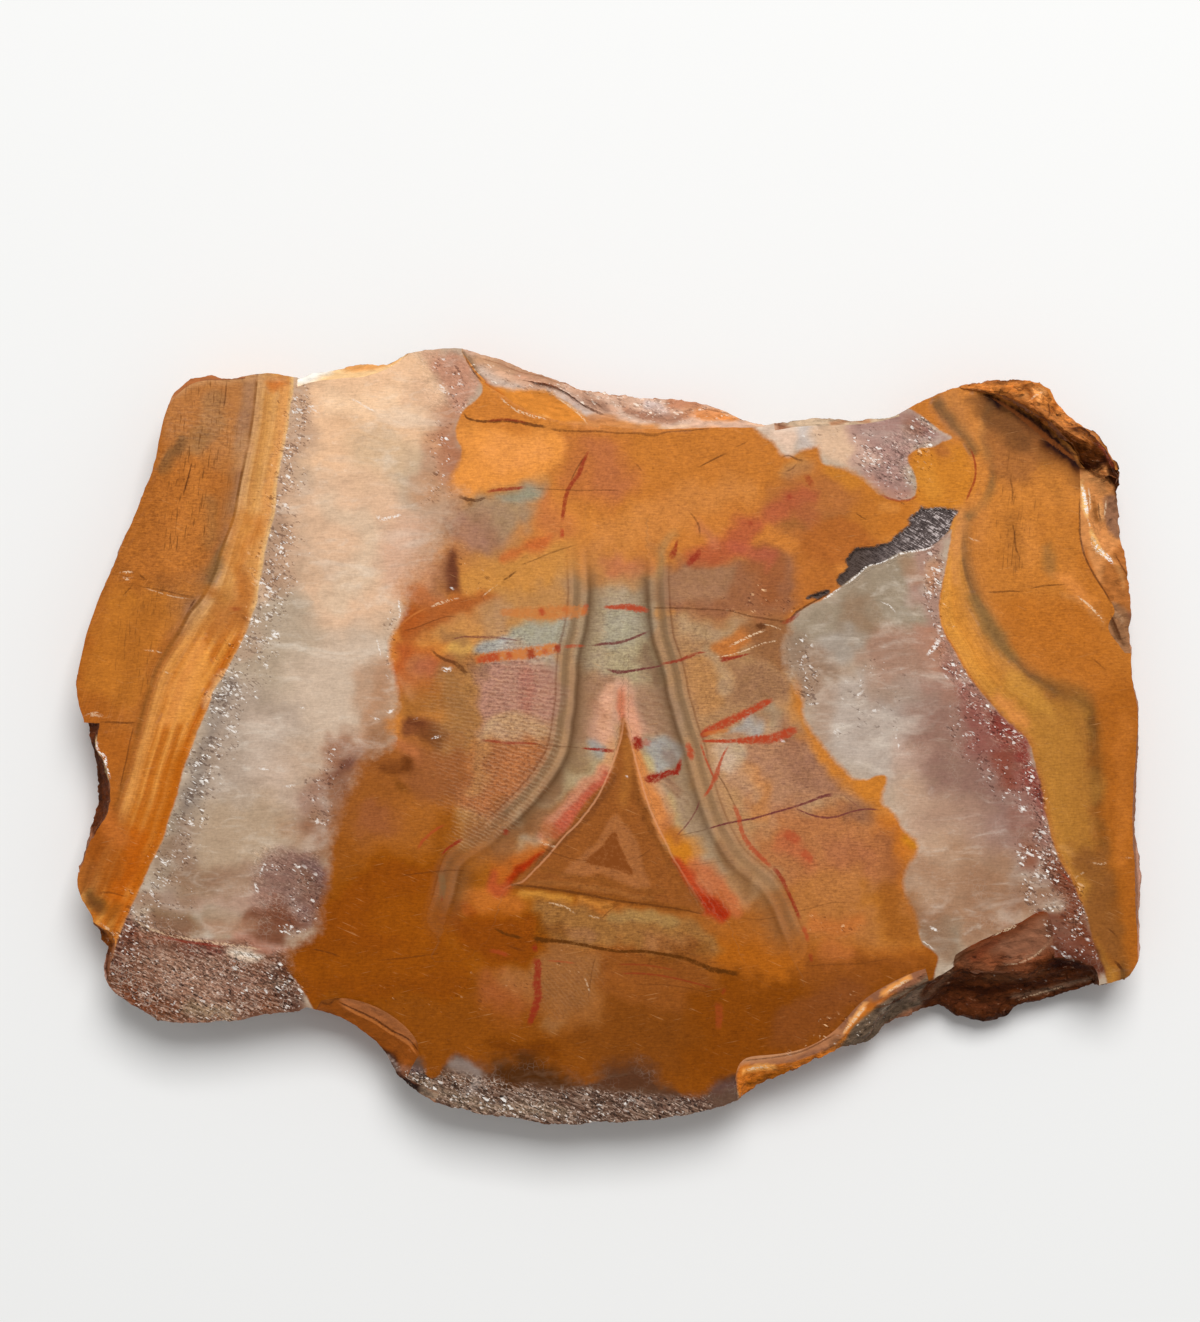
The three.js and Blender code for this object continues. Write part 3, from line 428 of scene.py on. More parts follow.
QUARTZ_BASE = (188, 166, 143)
QUARTZ_WASHES = [
    # The left body, from the top down.
    ((242, 194, 152), 50, 0.95, "300,370 440,350 430,440 400,480 320,480 295,430"),
    ((255, 216, 176), 26, 0.6, "340,400,30 380,410,40 420,395,30"),
    ((200, 174, 140), 24, 0.5, "370,450,50 400,470,40"),
    ((196, 156, 126), 22, 0.85, "298,385,16 296,430,24 288,480,26 284,530,30 278,580,34"),
    ((200, 140, 112), 18, 0.9, "436,352 462,350 482,388 474,402 456,412 448,396 440,380"),
    ((188, 126, 92), 26, 0.85, "440,405 462,415 458,440 462,460 452,490 462,500 430,500 428,440"),
    ((172, 108, 76), 14, 0.6, "452,440,14 450,470,16"),
    ((198, 150, 112), 18, 0.7, "425,490,20 460,508,22"),
    ((232, 188, 152), 40, 0.9, "300,490 400,490 400,620 310,640 296,560"),
    ((218, 194, 166), 20, 0.5, "330,500,20 370,540,26 340,600,30"),
    ((214, 168, 140), 30, 0.7, "395,520 440,520 420,560 400,600 385,580"),
    ((182, 144, 116), 20, 0.8, "280,500,16 270,560,20 262,610,20 248,650,18"),
    ((184, 162, 138), 34, 0.85, "262,600 310,600 300,680 262,700 250,660"),
    ((212, 186, 162), 34, 0.9, "300,650 385,640 390,740 340,760 290,740"),
    ((190, 150, 120), 22, 0.85, "352,668 388,662 390,705 366,724 348,706"),
    ((186, 140, 108), 18, 0.8, "392,670,18 380,700,22 366,735,22 345,755,20"),
    ((140, 124, 112), 18, 0.9, "228,690,14 214,730,18 200,775,20 188,810,18"),
    ((178, 156, 138), 30, 0.8, "232,690 290,700 270,790 210,800 215,730"),
    ((198, 166, 140), 34, 0.8, "270,760 340,745 330,800 260,815"),
    ((184, 156, 128), 40, 0.9, "200,820 310,800 300,850 250,900 190,890"),
    ((150, 134, 114), 18, 0.7, "178,820,18 168,850,16 160,880,16"),
    ((150, 100, 74), 16, 0.9, "322,745 350,738 365,752 356,778 345,808 318,790 322,762"),
    ((104, 62, 50), 10, 0.7, "345,758,14 338,785,16 348,800,10"),
    ((164, 126, 108), 20, 0.8, "296,790 345,805 335,835 300,835"),
    ((136, 98, 86), 14, 0.9, "258,868 275,850 310,848 330,860 326,895 318,922 290,930 262,905"),
    ((112, 80, 78), 10, 0.8, "300,862,8 320,872,14 318,895,12 305,905,8"),
    ((120, 70, 48), 18, 0.9, "236,908 290,912 292,940 275,948 240,938"),
    ((186, 150, 130), 14, 0.8, "200,906,14 230,904,16 252,896,12"),
    ((196, 178, 160), 10, 0.8, "150,884,14 172,888,18 160,902,14"),
    ((188, 172, 154), 10, 0.7, "192,908,6 200,922,8 208,936,10"),
    ((146, 116, 86), 16, 0.9, "145,912 190,912 202,936 150,935"),
    ((160, 138, 112), 12, 0.6, "212,915,16 225,930,16"),
    ((150, 100, 66), 16, 0.8, "370,748,18 386,736,24 394,722,16"),
    ((176, 128, 92), 14, 0.6, "392,712,18"),
    ((208, 184, 164), 26, 0.7, "268,726,36 262,765,36"),
    ((152, 108, 80), 16, 0.7, "316,820,18 322,848,20"),
    ((146, 110, 84), 26, 0.8, "168,862,26 192,878,36 216,886,28"),
    ((158, 120, 96), 20, 0.7, "230,884,26 250,880,24"),
    ((150, 110, 86), 14, 0.6, "142,900,20 192,904,18"),
    ((172, 132, 116), 14, 0.6, "258,900,18 270,902,18"),
    ((176, 130, 102), 14, 0.7, "214,926,18 244,926,18"),
    ((130, 88, 66), 14, 0.7, "152,926,20 176,928,20"),
    ((196, 150, 118), 26, 0.5, "432,520,30 425,560,26"),
    ((206, 158, 126), 26, 0.5, "420,395,30 432,410,30"),
    ((190, 156, 126), 26, 0.5, "300,570,20 325,568,20"),
    ((214, 176, 144), 10, 0.5, "262,592,12 266,604,8"),
    ((146, 96, 64), 14, 0.7, "342,772,12 337,800,14 335,832,14 330,855,10"),
    ((138, 90, 64), 12, 0.6, "312,900,14 315,926,14"),
    ((148, 118, 98), 20, 0.65, "185,832,22 180,858,22"),
    ((218, 170, 128), 26, 0.4, "350,424,24 420,424,20"),
    ((212, 188, 170), 26, 0.5, "288,772,24 286,792,24"),
    ((166, 122, 92), 20, 0.5, "284,832,20 300,836,20"),
    ((118, 78, 58), 14, 0.5, "308,878,16 318,886,16"),
    ((176, 150, 134), 14, 0.5, "168,898,18 176,906,12"),
    ((224, 188, 156), 8, 0.5, "262,586,12 266,600,10"),
    ((232, 178, 132), 12, 0.5, "428,444,14 438,450,14"),
    ((148, 98, 68), 14, 0.6, "306,826,12 318,838,14"),
    # Its foot, sugary and brown.
    ((122, 80, 60), 14, 1.0,
     "122,925 150,932 200,945 240,944 290,952 312,1003 300,1030 200,1045 110,1020 100,960"),
    ((112, 66, 50), 14, 0.8, "128,915,14 120,945,18 112,968,14"),
    ((116, 62, 36), 16, 0.85, "112,985,20 140,1000,24 175,1012,20"),
    ((156, 116, 94), 24, 0.8, "160,972,40 192,986,50 218,1000,30"),
    ((150, 110, 92), 18, 0.6, "215,968,30 240,985,30 266,975,20"),
    ((116, 62, 52), 9, 0.85, "185,945,8 205,950,14 222,953,8"),
    ((140, 74, 50), 7, 0.6, "128,930,6 160,938,6 200,944,7 235,944,6 262,946,5 290,950,4"),
    ((196, 140, 118), 7, 0.7, "238,936,8 262,943,8 290,950,5"),
    ((226, 206, 182), 7, 0.95, "234,952,8 246,955,12 260,953,8"),
    ((92, 62, 50), 14, 0.75, "272,972,18 284,984,30 300,998,22"),
    ((112, 70, 54), 12, 0.65, "180,950,14 206,956,14"),
    ((148, 106, 80), 10, 0.5, "184,928,12 200,930,12"),
    ((96, 54, 34), 12, 0.5, "284,972,12 294,984,14"),
    ((124, 80, 58), 18, 0.5, "134,972,22 148,982,22"),
    ((150, 126, 96), 12, 0.7, "190,1010,14 230,1014,14"),
    ((138, 84, 54), 8, 0.7, "262,1010,8 280,1008,8"),
    # The right body.
    ((156, 138, 116), 26, 0.95,
     "800,615 850,585 905,556 925,600 905,650 840,650 800,660 788,640"),
    ((148, 112, 84), 20, 0.6, "855,612,26 880,640,26"),
    ((172, 132, 116), 18, 0.9, "915,556 950,540 944,580 938,620 950,650 925,640 915,600"),
    ((178, 128, 104), 16, 0.9, "920,640,26 940,660,30 955,690,20"),
    ((196, 176, 160), 8, 0.7, "935,560,8 925,590,8"),
    ((150, 122, 100), 18, 0.85, "788,640 830,650 830,700 800,700 790,670"),
    ((172, 158, 146), 18, 0.7, "815,630 850,625 855,655 820,655"),
    ((188, 170, 156), 30, 0.95, "810,700 850,675 905,690 920,740 900,775 850,770 820,735"),
    ((178, 132, 110), 24, 0.8, "860,640 930,640 940,690 880,690"),
    ((170, 152, 140), 20, 0.6, "880,690 945,680 935,705 885,710"),
    ((148, 108, 94), 40, 0.9, "905,720 960,690 1005,730 995,800 925,775"),
    ((146, 86, 76), 20, 0.95,
     "950,660 975,690 1025,738 1045,800 1050,850 1030,840 1012,800 975,770 960,700"),
    ((136, 56, 46), 10, 0.9, "990,712,6 1020,745,18 1032,780,12 1040,810,8"),
    ((158, 108, 92), 14, 0.7, "950,640,18 965,672,16 985,705,12"),
    ((194, 158, 132), 50, 0.95, "885,780 965,765 995,800 970,860 920,870 895,820"),
    ((156, 120, 108), 36, 0.9, "975,795 1020,795 1045,850 1035,880 990,865"),
    ((172, 130, 100), 44, 0.95, "900,865 960,845 1020,865 1040,905 985,940 915,935 905,900"),
    ((188, 152, 124), 14, 0.7, "915,885,16 930,900,20"),
    ((176, 156, 142), 16, 0.8, "1015,865 1050,865 1062,895 1040,905 1015,890"),
    ((120, 62, 40), 12, 0.95,
     "1050,850 1070,875 1095,930 1104,975 1045,965 1040,920 1060,905 1050,880"),
    ((124, 74, 58), 9, 0.8, "1040,915,14 1060,935,20 1080,955,18"),
    ((92, 48, 34), 8, 0.8, "1052,950,14 1080,962,14 1100,970,10"),
    ((150, 130, 108), 16, 0.8, "918,925 960,930 950,960 925,948"),
    ((158, 122, 102), 26, 0.6, "880,652,30 915,664,30"),
    ((192, 132, 94), 12, 0.7, "936,566,14 932,585,10"),
    ((198, 162, 140), 12, 0.6, "930,545,10 944,540,10"),
    ((142, 104, 92), 34, 0.85, "948,772,40 985,784,50 1000,800,30"),
    ((172, 134, 112), 30, 0.7, "940,812,36 970,812,36"),
    ((146, 96, 80), 18, 0.6, "1026,822,26 1034,858,26"),
    ((160, 122, 98), 18, 0.6, "1026,882,22 1040,890,20"),
    ((154, 112, 84), 28, 0.6, "984,880,40 978,925,30"),
    ((148, 106, 78), 22, 0.6, "930,918,30 936,948,26"),
    ((152, 100, 60), 12, 0.6, "912,895,12 916,925,12"),
    ((164, 126, 100), 26, 0.5, "812,665,30 820,700,34 822,738,20"),
    ((164, 134, 114), 24, 0.5, "878,684,26 895,690,20"),
    ((196, 164, 148), 24, 0.55, "905,758,26 920,764,20"),
    ((202, 168, 140), 24, 0.55, "930,850,26 944,858,20"),
    ((142, 80, 62), 14, 0.6, "1004,748,14 1010,784,18"),
    ((152, 104, 82), 14, 0.6, "1030,846,18 1034,862,18"),
    ((156, 114, 86), 18, 0.6, "1036,880,18 1008,904,24"),
    ((156, 104, 80), 14, 0.5, "904,420,14 920,428,14"),
    ((176, 112, 80), 12, 0.5, "930,634,10 942,646,10"),
    ((160, 110, 92), 20, 0.5, "930,686,20 942,690,20"),
    ((162, 130, 108), 20, 0.5, "834,660,18 846,668,18"),
    ((134, 68, 52), 12, 0.6, "1004,752,14 1012,784,16"),
    ((150, 106, 80), 14, 0.6, "1008,904,18 1046,890,22"),
    ((148, 92, 60), 8, 0.6, "1004,924,12 1014,930,12"),
    ((164, 118, 84), 14, 0.5, "904,562,12 920,574,14"),
    ((144, 88, 64), 12, 0.6, "1030,850,12 1036,864,12"),
    # The top body and the crystals along the lower edge.
    ((238, 202, 176), 14, 0.95, "755,415 800,418 800,440 785,452 765,436"),
    ((216, 200, 190), 12, 0.9, "798,425 828,425 826,444 800,448"),
    ((228, 188, 154), 16, 0.95, "822,418 865,420 860,468 822,460"),
    ((168, 128, 118), 16, 0.95,
     "850,420 900,410 925,418 950,438 912,452 905,462 918,490 900,502 865,478"),
    ((146, 98, 90), 12, 0.8, "915,425,16 935,435,12"),
    ((216, 178, 156), 14, 0.7, "858,438,18 864,456,20"),
    ((150, 102, 78), 12, 0.6, "905,424,14 918,428,14"),
    ((186, 132, 112), 9, 0.7, "868,480,10 890,496,12 912,495,8"),
    ((98, 72, 58), 10, 1.0, "385,1040 500,1040 620,1045 745,1050 745,1110 560,1150 385,1100"),
    ((92, 58, 38), 9, 0.9,
     "430,1072,12 480,1076,14 540,1078,22 600,1082,24 660,1084,20 720,1086,14"),
    ((82, 46, 20), 10, 0.95, "486,1050 520,1044 558,1060 575,1078 540,1086 500,1078"),
    ((92, 56, 36), 10, 0.95, "598,1066 622,1052 652,1058 668,1080 640,1086 605,1084"),
    ((72, 44, 32), 8, 0.9, "716,1082,14 738,1076,14"),
    ((150, 134, 126), 9, 0.8, "455,1066,14 480,1076,12 470,1090,12"),
    ((104, 84, 84), 7, 0.8, "402,1064,8 420,1070,8"),
    ((104, 74, 66), 8, 0.8, "715,1088,12 738,1084,10"),
    ((142, 120, 98), 9, 0.7, "420,1084,10 460,1096,12 520,1108,12 560,1112,10"),
    ((100, 72, 60), 9, 0.8, "620,1104,12 660,1104,14 700,1098,12"),
]

# What shows of the rim from above: crust, chips, ledge, hollow and bevels.
RIM_BASE = (150, 98, 70)
RIM_WASHES = [
    ((182, 108, 60), 8, 0.9, "165,395,16 185,380,14 210,374,12 290,370,14"),
    # Painted glint on the bevel of the top left corner.
    ((212, 148, 96), 4, 0.8, "170,399,6 186,394,6"),
    ((240, 196, 142), 6, 1.0, "292,372 330,362 400,352 412,346 400,366 330,386 296,392"),
    ((250, 244, 234), 7, 0.95, "296,380,10 316,376,10 330,372,5"),
    ((226, 150, 80), 6, 0.8, "344,366,8 372,364,8 396,356,8"),
    ((214, 172, 146), 6, 1.0,
     "460,345 520,350 600,378 700,385 760,412 775,436 740,432 600,432 560,400 500,386 478,372"),
    ((140, 108, 80), 5, 0.9, "462,352,8 472,364,8 480,376,6"),
    ((172, 128, 90), 5, 0.7, "476,358,7 500,364,8 530,372,7"),
    ((190, 120, 98), 5, 0.6, "520,372,8 545,378,8 558,384,6"),
    ((150, 112, 92), 5, 0.7, "560,398,7 580,410,8 590,420,6"),
    ((134, 100, 84), 5, 0.8, "586,398,8 600,402,8 606,410,6"),
    ((206, 180, 162), 6, 0.9, "484,370,10 500,378,10 518,384,6"),
    ((148, 108, 84), 6, 0.8, "500,362,10 530,370,10 560,382,8"),
    ((206, 182, 168), 6, 0.9, "548,388,8 566,396,14 586,410,12"),
    ((226, 206, 190), 5, 0.8, "608,398,6 616,404,7 622,412,5"),
    ((206, 186, 180), 6, 0.8, "648,400,10 656,404,12 664,408,8"),
    ((222, 192, 172), 4, 0.7, "590,392,5 604,396,6 620,400,5"),
    ((212, 178, 156), 4, 0.7, "622,412,6 640,420,6 660,422,6 690,420,5"),
    ((146, 104, 86), 4, 0.7, "640,410,5 656,414,6 672,412,5"),
    ((150, 100, 76), 5, 0.7, "626,408,8 660,418,8 690,412,8"),
    ((190, 124, 90), 6, 0.8, "672,398,12 700,400,12"),
    ((226, 140, 74), 5, 1.0, "702,412,12 722,414,12 738,416,8"),
    ((238, 192, 158), 6, 0.95, "716,402,8 745,414,12 770,428,10"),
    ((226, 188, 154), 3, 0.8, "640,424,3 660,427,3 690,424,3"),
    ((212, 132, 54), 5, 1.0, "484,382 510,388 545,390 570,404 586,422 560,430 530,420 505,404"),
    ((192, 102, 36), 4, 0.8, "486,384,6 500,394,5"),
    # Painted highlight: the glossy curved line along the orange chip.
    ((240, 170, 96), 3, 0.9, "502,398,4 512,408,5 530,415,5 548,419,4"),
    ((214, 130, 62), 6, 0.9, "560,428,8 640,432,6 720,430,6"),
    ((204, 134, 76), 5, 0.95, "572,426,10 600,426,12 640,427,9 660,428,5"),
    ((206, 158, 124), 8, 0.5, "480,358,14 510,368,18 545,378,16 560,384,16"),
    ((184, 136, 108), 8, 0.5, "576,394,14 600,402,18 622,404,16"),
    ((180, 132, 106), 8, 0.4, "652,410,16 668,412,16"),
    ((204, 138, 96), 8, 0.6, "690,408,14 716,410,12"),
    ((188, 122, 74), 5, 0.7, "588,418,10 612,420,10"),
    ((204, 176, 146), 6, 0.95, "765,415 860,412 905,402 940,395 900,420 800,432"),
    ((170, 110, 74), 4, 0.7, "834,422,5 850,418,5 870,420,5"),
    ((186, 116, 62), 6, 0.95, "900,412 950,388 980,385 985,392 950,398 920,408"),
    # The ledge: facets painted lighter where they face the light, and its right end dark stone,
    # darker with painted shade.
    ((196, 118, 54), 6, 1.0,
     "950,385 985,374 1020,374 1055,382 1066,404 1084,425 1078,434 1045,430 1010,407 980,396"),
    ((130, 76, 40), 5, 0.7, "985,380,7 1010,378,9 1040,378,6"),
    ((196, 112, 46), 4, 0.8, "1004,390,6 1016,396,8 1030,404,7"),
    ((222, 148, 84), 3, 0.9, "1018,399,4 1028,394,5 1040,392,6 1048,388,4"),
    ((236, 158, 90), 3, 0.9, "1036,404,4 1040,396,5 1046,392,4"),
    ((150, 82, 32), 4, 0.9, "1024,386,5 1030,398,6 1036,410,5"),
    ((224, 136, 66), 4, 0.95, "1056,408,8 1066,416,11 1078,426,9"),
    ((150, 80, 30), 4, 0.8, "1040,424,6 1050,414,6 1056,402,5"),
    ((210, 126, 58), 3, 0.9, "1040,426,3 1052,430,4 1066,430,4 1078,426,3"),
    ((84, 42, 16), 6, 1.0, "1056,434 1084,424 1112,444 1128,474 1120,494 1094,480 1076,466"),
    ((120, 66, 28), 4, 0.9, "1070,440,8 1080,444,9 1090,440,6"),
    ((150, 86, 38), 4, 0.7, "1078,432,5 1086,440,6 1088,450,4"),
    ((56, 26, 12), 4, 0.9, "1082,462,6 1094,468,7 1104,462,6"),
    ((128, 52, 34), 4, 0.8, "1098,446,5 1108,458,6 1114,468,5"),
    ((48, 22, 10), 4, 0.9, "1108,476,6 1118,484,7 1122,474,5"),
    # The right side: step, chips and notch.
    ((212, 140, 80), 6, 1.0, "1080,470 1110,470 1130,500 1130,600 1110,612 1090,575 1080,540"),
    ((190, 130, 78), 5, 0.8, "1086,474,8 1100,478,8 1106,490,6"),
    ((64, 32, 16), 4, 0.95, "1110,470,8 1118,480,9 1120,492,6"),
    # Painted highlights: glints along the edges of the chips.
    ((252, 200, 128), 2.5, 1.0, "1083,480,3 1084,492,4 1086,504,5 1088,516,3"),
    ((246, 186, 110), 2.5, 1.0, "1091,530,3 1095,541,5 1102,551,5 1110,559,4 1114,566,3"),
    ((236, 170, 108), 3, 0.9, "1102,506,4 1104,518,4"),
    ((150, 92, 44), 4, 0.8, "1096,500,5 1098,520,6"),
    ((148, 104, 78), 4, 0.9, "1108,496 1118,494 1128,505 1126,538 1112,530 1107,515"),
    ((172, 104, 50), 6, 1.0, "1104,560 1126,544 1140,560 1140,610 1120,612 1108,596"),
    ((206, 140, 80), 3, 0.7, "1112,556,4 1120,570,5 1124,588,4"),
    ((172, 98, 40), 5, 0.8, "1084,545 1096,575 1112,605 1104,606 1088,575"),
    ((158, 110, 74), 5, 1.0, "1098,612 1112,604 1134,622 1136,650 1122,652 1104,636"),
    ((96, 62, 38), 3, 0.9, "1108,618,4 1116,630,4 1124,642,3"),
    ((196, 150, 112), 3, 0.8, "1112,612,3 1124,622,4"),
    # The pink rinds of the two sides.
    ((206, 150, 124), 4, 1.0,
     "1135,640,6 1137,680,6 1143,720,5 1143,800,5 1141,850,6 1144,880,9 1143,930,9"
     " 1135,968,8"),
    ((140, 96, 84), 3, 0.9, "1139,660,3 1143,700,3 1144,760,3 1143,830,3 1146,880,4 1145,930,4"),
    ((214, 152, 128), 4, 1.0, "127,528,4 116,550,7 108,572,8 98,596,8 88,618,7 82,640,5"),
    ((176, 128, 118), 3, 0.9, "120,540,3 104,570,4 92,600,3"),
    # The left chip: painted shade on its steep wall and a painted glint along its inner edge.
    ((96, 48, 24), 4, 1.0,
     "82,722 100,722 98,742 105,760 110,790 108,815 95,838 88,820 92,800 88,750"),
    ((255, 214, 156), 2, 1.0, "97,738,3 97,750,4 104,755,6 107,768,4 111,780,3"),
    ((60, 28, 12), 3, 0.8, "93,745,5 96,775,6 97,800,5"),
    ((222, 172, 140), 3, 0.95, "90,806,5 86,822,6 84,840,6 80,856,4"),
    ((186, 110, 54), 4, 0.9, "78,868,5 78,890,5 86,908,5"),
    ((112, 58, 20), 4, 1.0, "92,922 100,922 114,938 110,952 96,944"),
    # Painted glint along the edge of the lower left break.
    ((196, 116, 48), 3, 0.9, "99,924,4 110,932,5 116,940,4"),
    ((206, 166, 150), 3, 0.9, "105,955,4 104,972,5 110,985,4"),
    ((92, 48, 30), 3, 0.9, "108,950,3 107,968,3 111,982,3"),
    ((124, 76, 50), 6, 0.9, "115,990,10 140,1008,10 170,1022,10 220,1022,10"),
    ((150, 120, 96), 6, 0.8, "220,1022,10 270,1012,10 300,1008,8"),
    # The shell-shaped chip and the foot's chips.
    ((150, 80, 28), 6, 1.0,
     "306,1000 345,1000 380,1012 412,1035 422,1052 412,1064 385,1052 345,1022"),
    ((178, 108, 62), 4, 0.9,
     "340,994 365,998 395,1014 420,1036 412,1044 390,1028 366,1014 345,1006"),
    ((124, 62, 18), 7, 0.85, "316,1012,8 345,1026,9 372,1042,9 396,1060,8"),
    ((132, 74, 30), 4, 0.7, "312,1000,6 326,1002,6 338,1000,5"),
    ((58, 34, 26), 5, 1.0, "378,1046 394,1056 404,1076 424,1090 405,1098 382,1072"),
    ((196, 178, 166), 2.5, 0.8, "388,1056,3 398,1070,3"),
    ((146, 124, 104), 6, 0.9, "425,1092,10 500,1108,10 600,1118,10 690,1106,10 740,1095,8"),
    # The bevel along the lower right edge, with painted highlights where its edges catch the light.
    ((184, 122, 82), 3, 1.0,
     "734,1072 740,1056 765,1052 800,1046 838,1028 842,1034 812,1050 780,1062 745,1064"),
    ((206, 150, 108), 3, 0.7, "742,1058,5 770,1055,5 800,1050,4"),
    ((206, 116, 40), 3, 1.0,
     "740,1066 776,1064 800,1060 842,1036 862,1008 872,1000 880,1006 850,1044 800,1070"
     " 742,1100"),
    ((240, 164, 84), 3, 1.0, "745,1070,5 760,1066,7 772,1067,6"),
    ((160, 88, 22), 3, 0.9, "750,1084,8 770,1078,8 790,1070,6"),
    ((244, 170, 100), 2.5, 1.0, "843,1032,3 856,1016,5 866,1003,5"),
    ((190, 104, 40), 3, 0.8, "868,1006,5 880,1000,5 895,995,5"),
    ((240, 160, 84), 2.5, 1.0, "884,993,5 896,984,6 910,977,5"),
    ((112, 92, 74), 5, 1.0,
     "842,1050 880,1004 915,985 940,965 960,955 950,990 900,1020 870,1048"),
    ((66, 50, 40), 3, 0.8, "878,1012,4 890,1006,4 900,1000,4"),
    ((170, 150, 130), 3, 0.8, "884,1010,4 892,1004,3"),
    ((150, 120, 100), 4, 0.7, "915,1000,8 935,985,8 945,970,6"),
    # The hollow at the lower right corner: dark stone, darker with painted shade where its slopes
    # face away from the light.
    ((82, 42, 22), 6, 1.0,
     "925,1000 935,972 965,950 1000,958 1060,950 1100,956 1128,985 1050,1016 985,1032"
     " 935,1022"),
    ((132, 74, 46), 7, 1.0,
     "962,950 985,934 1020,916 1040,906 1066,910 1066,940 1046,960 1010,966 975,968"),
    ((150, 100, 74), 14, 0.9, "995,944 1020,930 1050,918 1056,938 1038,954 1004,956"),
    ((132, 58, 26), 4, 0.8, "970,944,4 990,935,5 1012,924,5 1036,912,6 1050,908,4"),
    ((112, 56, 34), 7, 0.7, "972,956,9 985,950,10 998,940,8"),
    ((116, 70, 52), 8, 1.0, "1052,905 1085,905 1098,945 1106,968 1066,960 1050,950"),
    ((156, 112, 86), 4, 0.8, "1004,964,3 1020,962,4 1034,956,4 1044,948,4 1050,938,3"),
    ((112, 66, 42), 5, 0.8, "955,962,8 975,964,10 1000,972,8 1030,968,6"),
    ((108, 66, 40), 5, 0.7, "990,978,8 1020,980,8 1045,974,7"),
    ((60, 28, 14), 6, 0.85, "950,985,7 985,992,9 1010,990,8 1050,984,7"),
    ((52, 22, 10), 6, 0.8, "1052,966,8 1076,966,8 1096,970,5"),
    ((90, 46, 26), 5, 0.8, "950,1000,8 985,1010,8 1010,1006,6"),
    ((112, 84, 66), 4, 0.85, "1018,1000,6 1045,994,7 1070,986,7 1092,980,5"),
    ((128, 98, 74), 4, 0.7, "930,978,6 944,966,7 956,956,5"),
    ((110, 78, 58), 4, 0.7, "926,1000,5 940,984,7 950,972,6"),
    ((48, 26, 16), 4, 0.9, "940,1018,6 985,1026,6 1010,1020,6 1060,1006,4"),
    ((214, 190, 160), 2.5, 0.9, "1098,975,4 1104,982,4"),
    ((150, 100, 40), 3, 0.9, "1106,975,6 1118,978,6 1130,974,5"),
    # Last touches: the ledge's ridge, painted lighter where the light falls, and the painted shade
    # under it, the hollow, the foot and a chip.
    ((202, 126, 66), 4, 0.7, "1010,395,6 1024,401,7 1040,413,8 1060,429,8 1080,441,7"),
    ((34, 12, 3), 3, 0.95,
     "992,398,3 1003,405,7 1013,412,9 1022,419,10 1036,430,10 1050,442,9 1066,454,7 1078,463,5"),
    ((110, 70, 48), 8, 0.5, "952,946,10 966,956,10"),
    ((112, 62, 38), 10, 0.5, "1024,972,14 1040,980,14"),
    ((90, 48, 28), 8, 0.6, "284,972,12 296,984,12 306,996,12 318,1004,10"),
    ((98, 66, 44), 8, 0.5, "834,1040,10 846,1052,8"),
]

# The legs of the figure (strength at each point) and the bright edge of its inner triangle.
LEG_LEFT = (
    "588,545,0.1 589,560,0.35 590,580,0.8 590,600,1 588,618,1 584,638,1 580,655,1 578,680,1"
    " 577,700,1 574,722,1 571,742,1 567,757,1 559,772,1 549,787,1 538,800,1 527,812,1 517,822,1"
    " 507,831,0.6 493,845,0.4 477,856,0.35 463,867,0.5 459,880,0.6 456,895,0.6 448,917,0.2"
)
LEG_RIGHT = (
    "647,562,0.3 647,585,0.8 648,605,1 650,625,1 652,640,1 656,652,1 660,664,1 664,680,1"
    " 667,697,1 672,714,1 677,732,1 683,748,0.9 688,770,0.8 694,790,0.8 703,818,0.8 716,846,0.65"
    " 730,866,0.6 747,881,0.55 760,892,0.6 770,908,0.6 779,930,0.6 786,945,0.2"
)
INNER_EDGE = (
    "500,892,0 510,886,0.3 522,882,0.7 536,869,0.9 544,861,0.9 556,847,1 565,836,1 575,827,1"
    " 586,814,1 595,802,1 603,788,1 610,771,1 618,750,1 622,735,0.8 625,719,0.6 628,728,0.9"
    " 631,742,1 635,760,1 640,778,1 647,802,1 656,824,1 664,840,0.8 672,857,0.6 682,873,0.4"
    " 692,890,0.25 703,906,0.1 722,918,0"
)

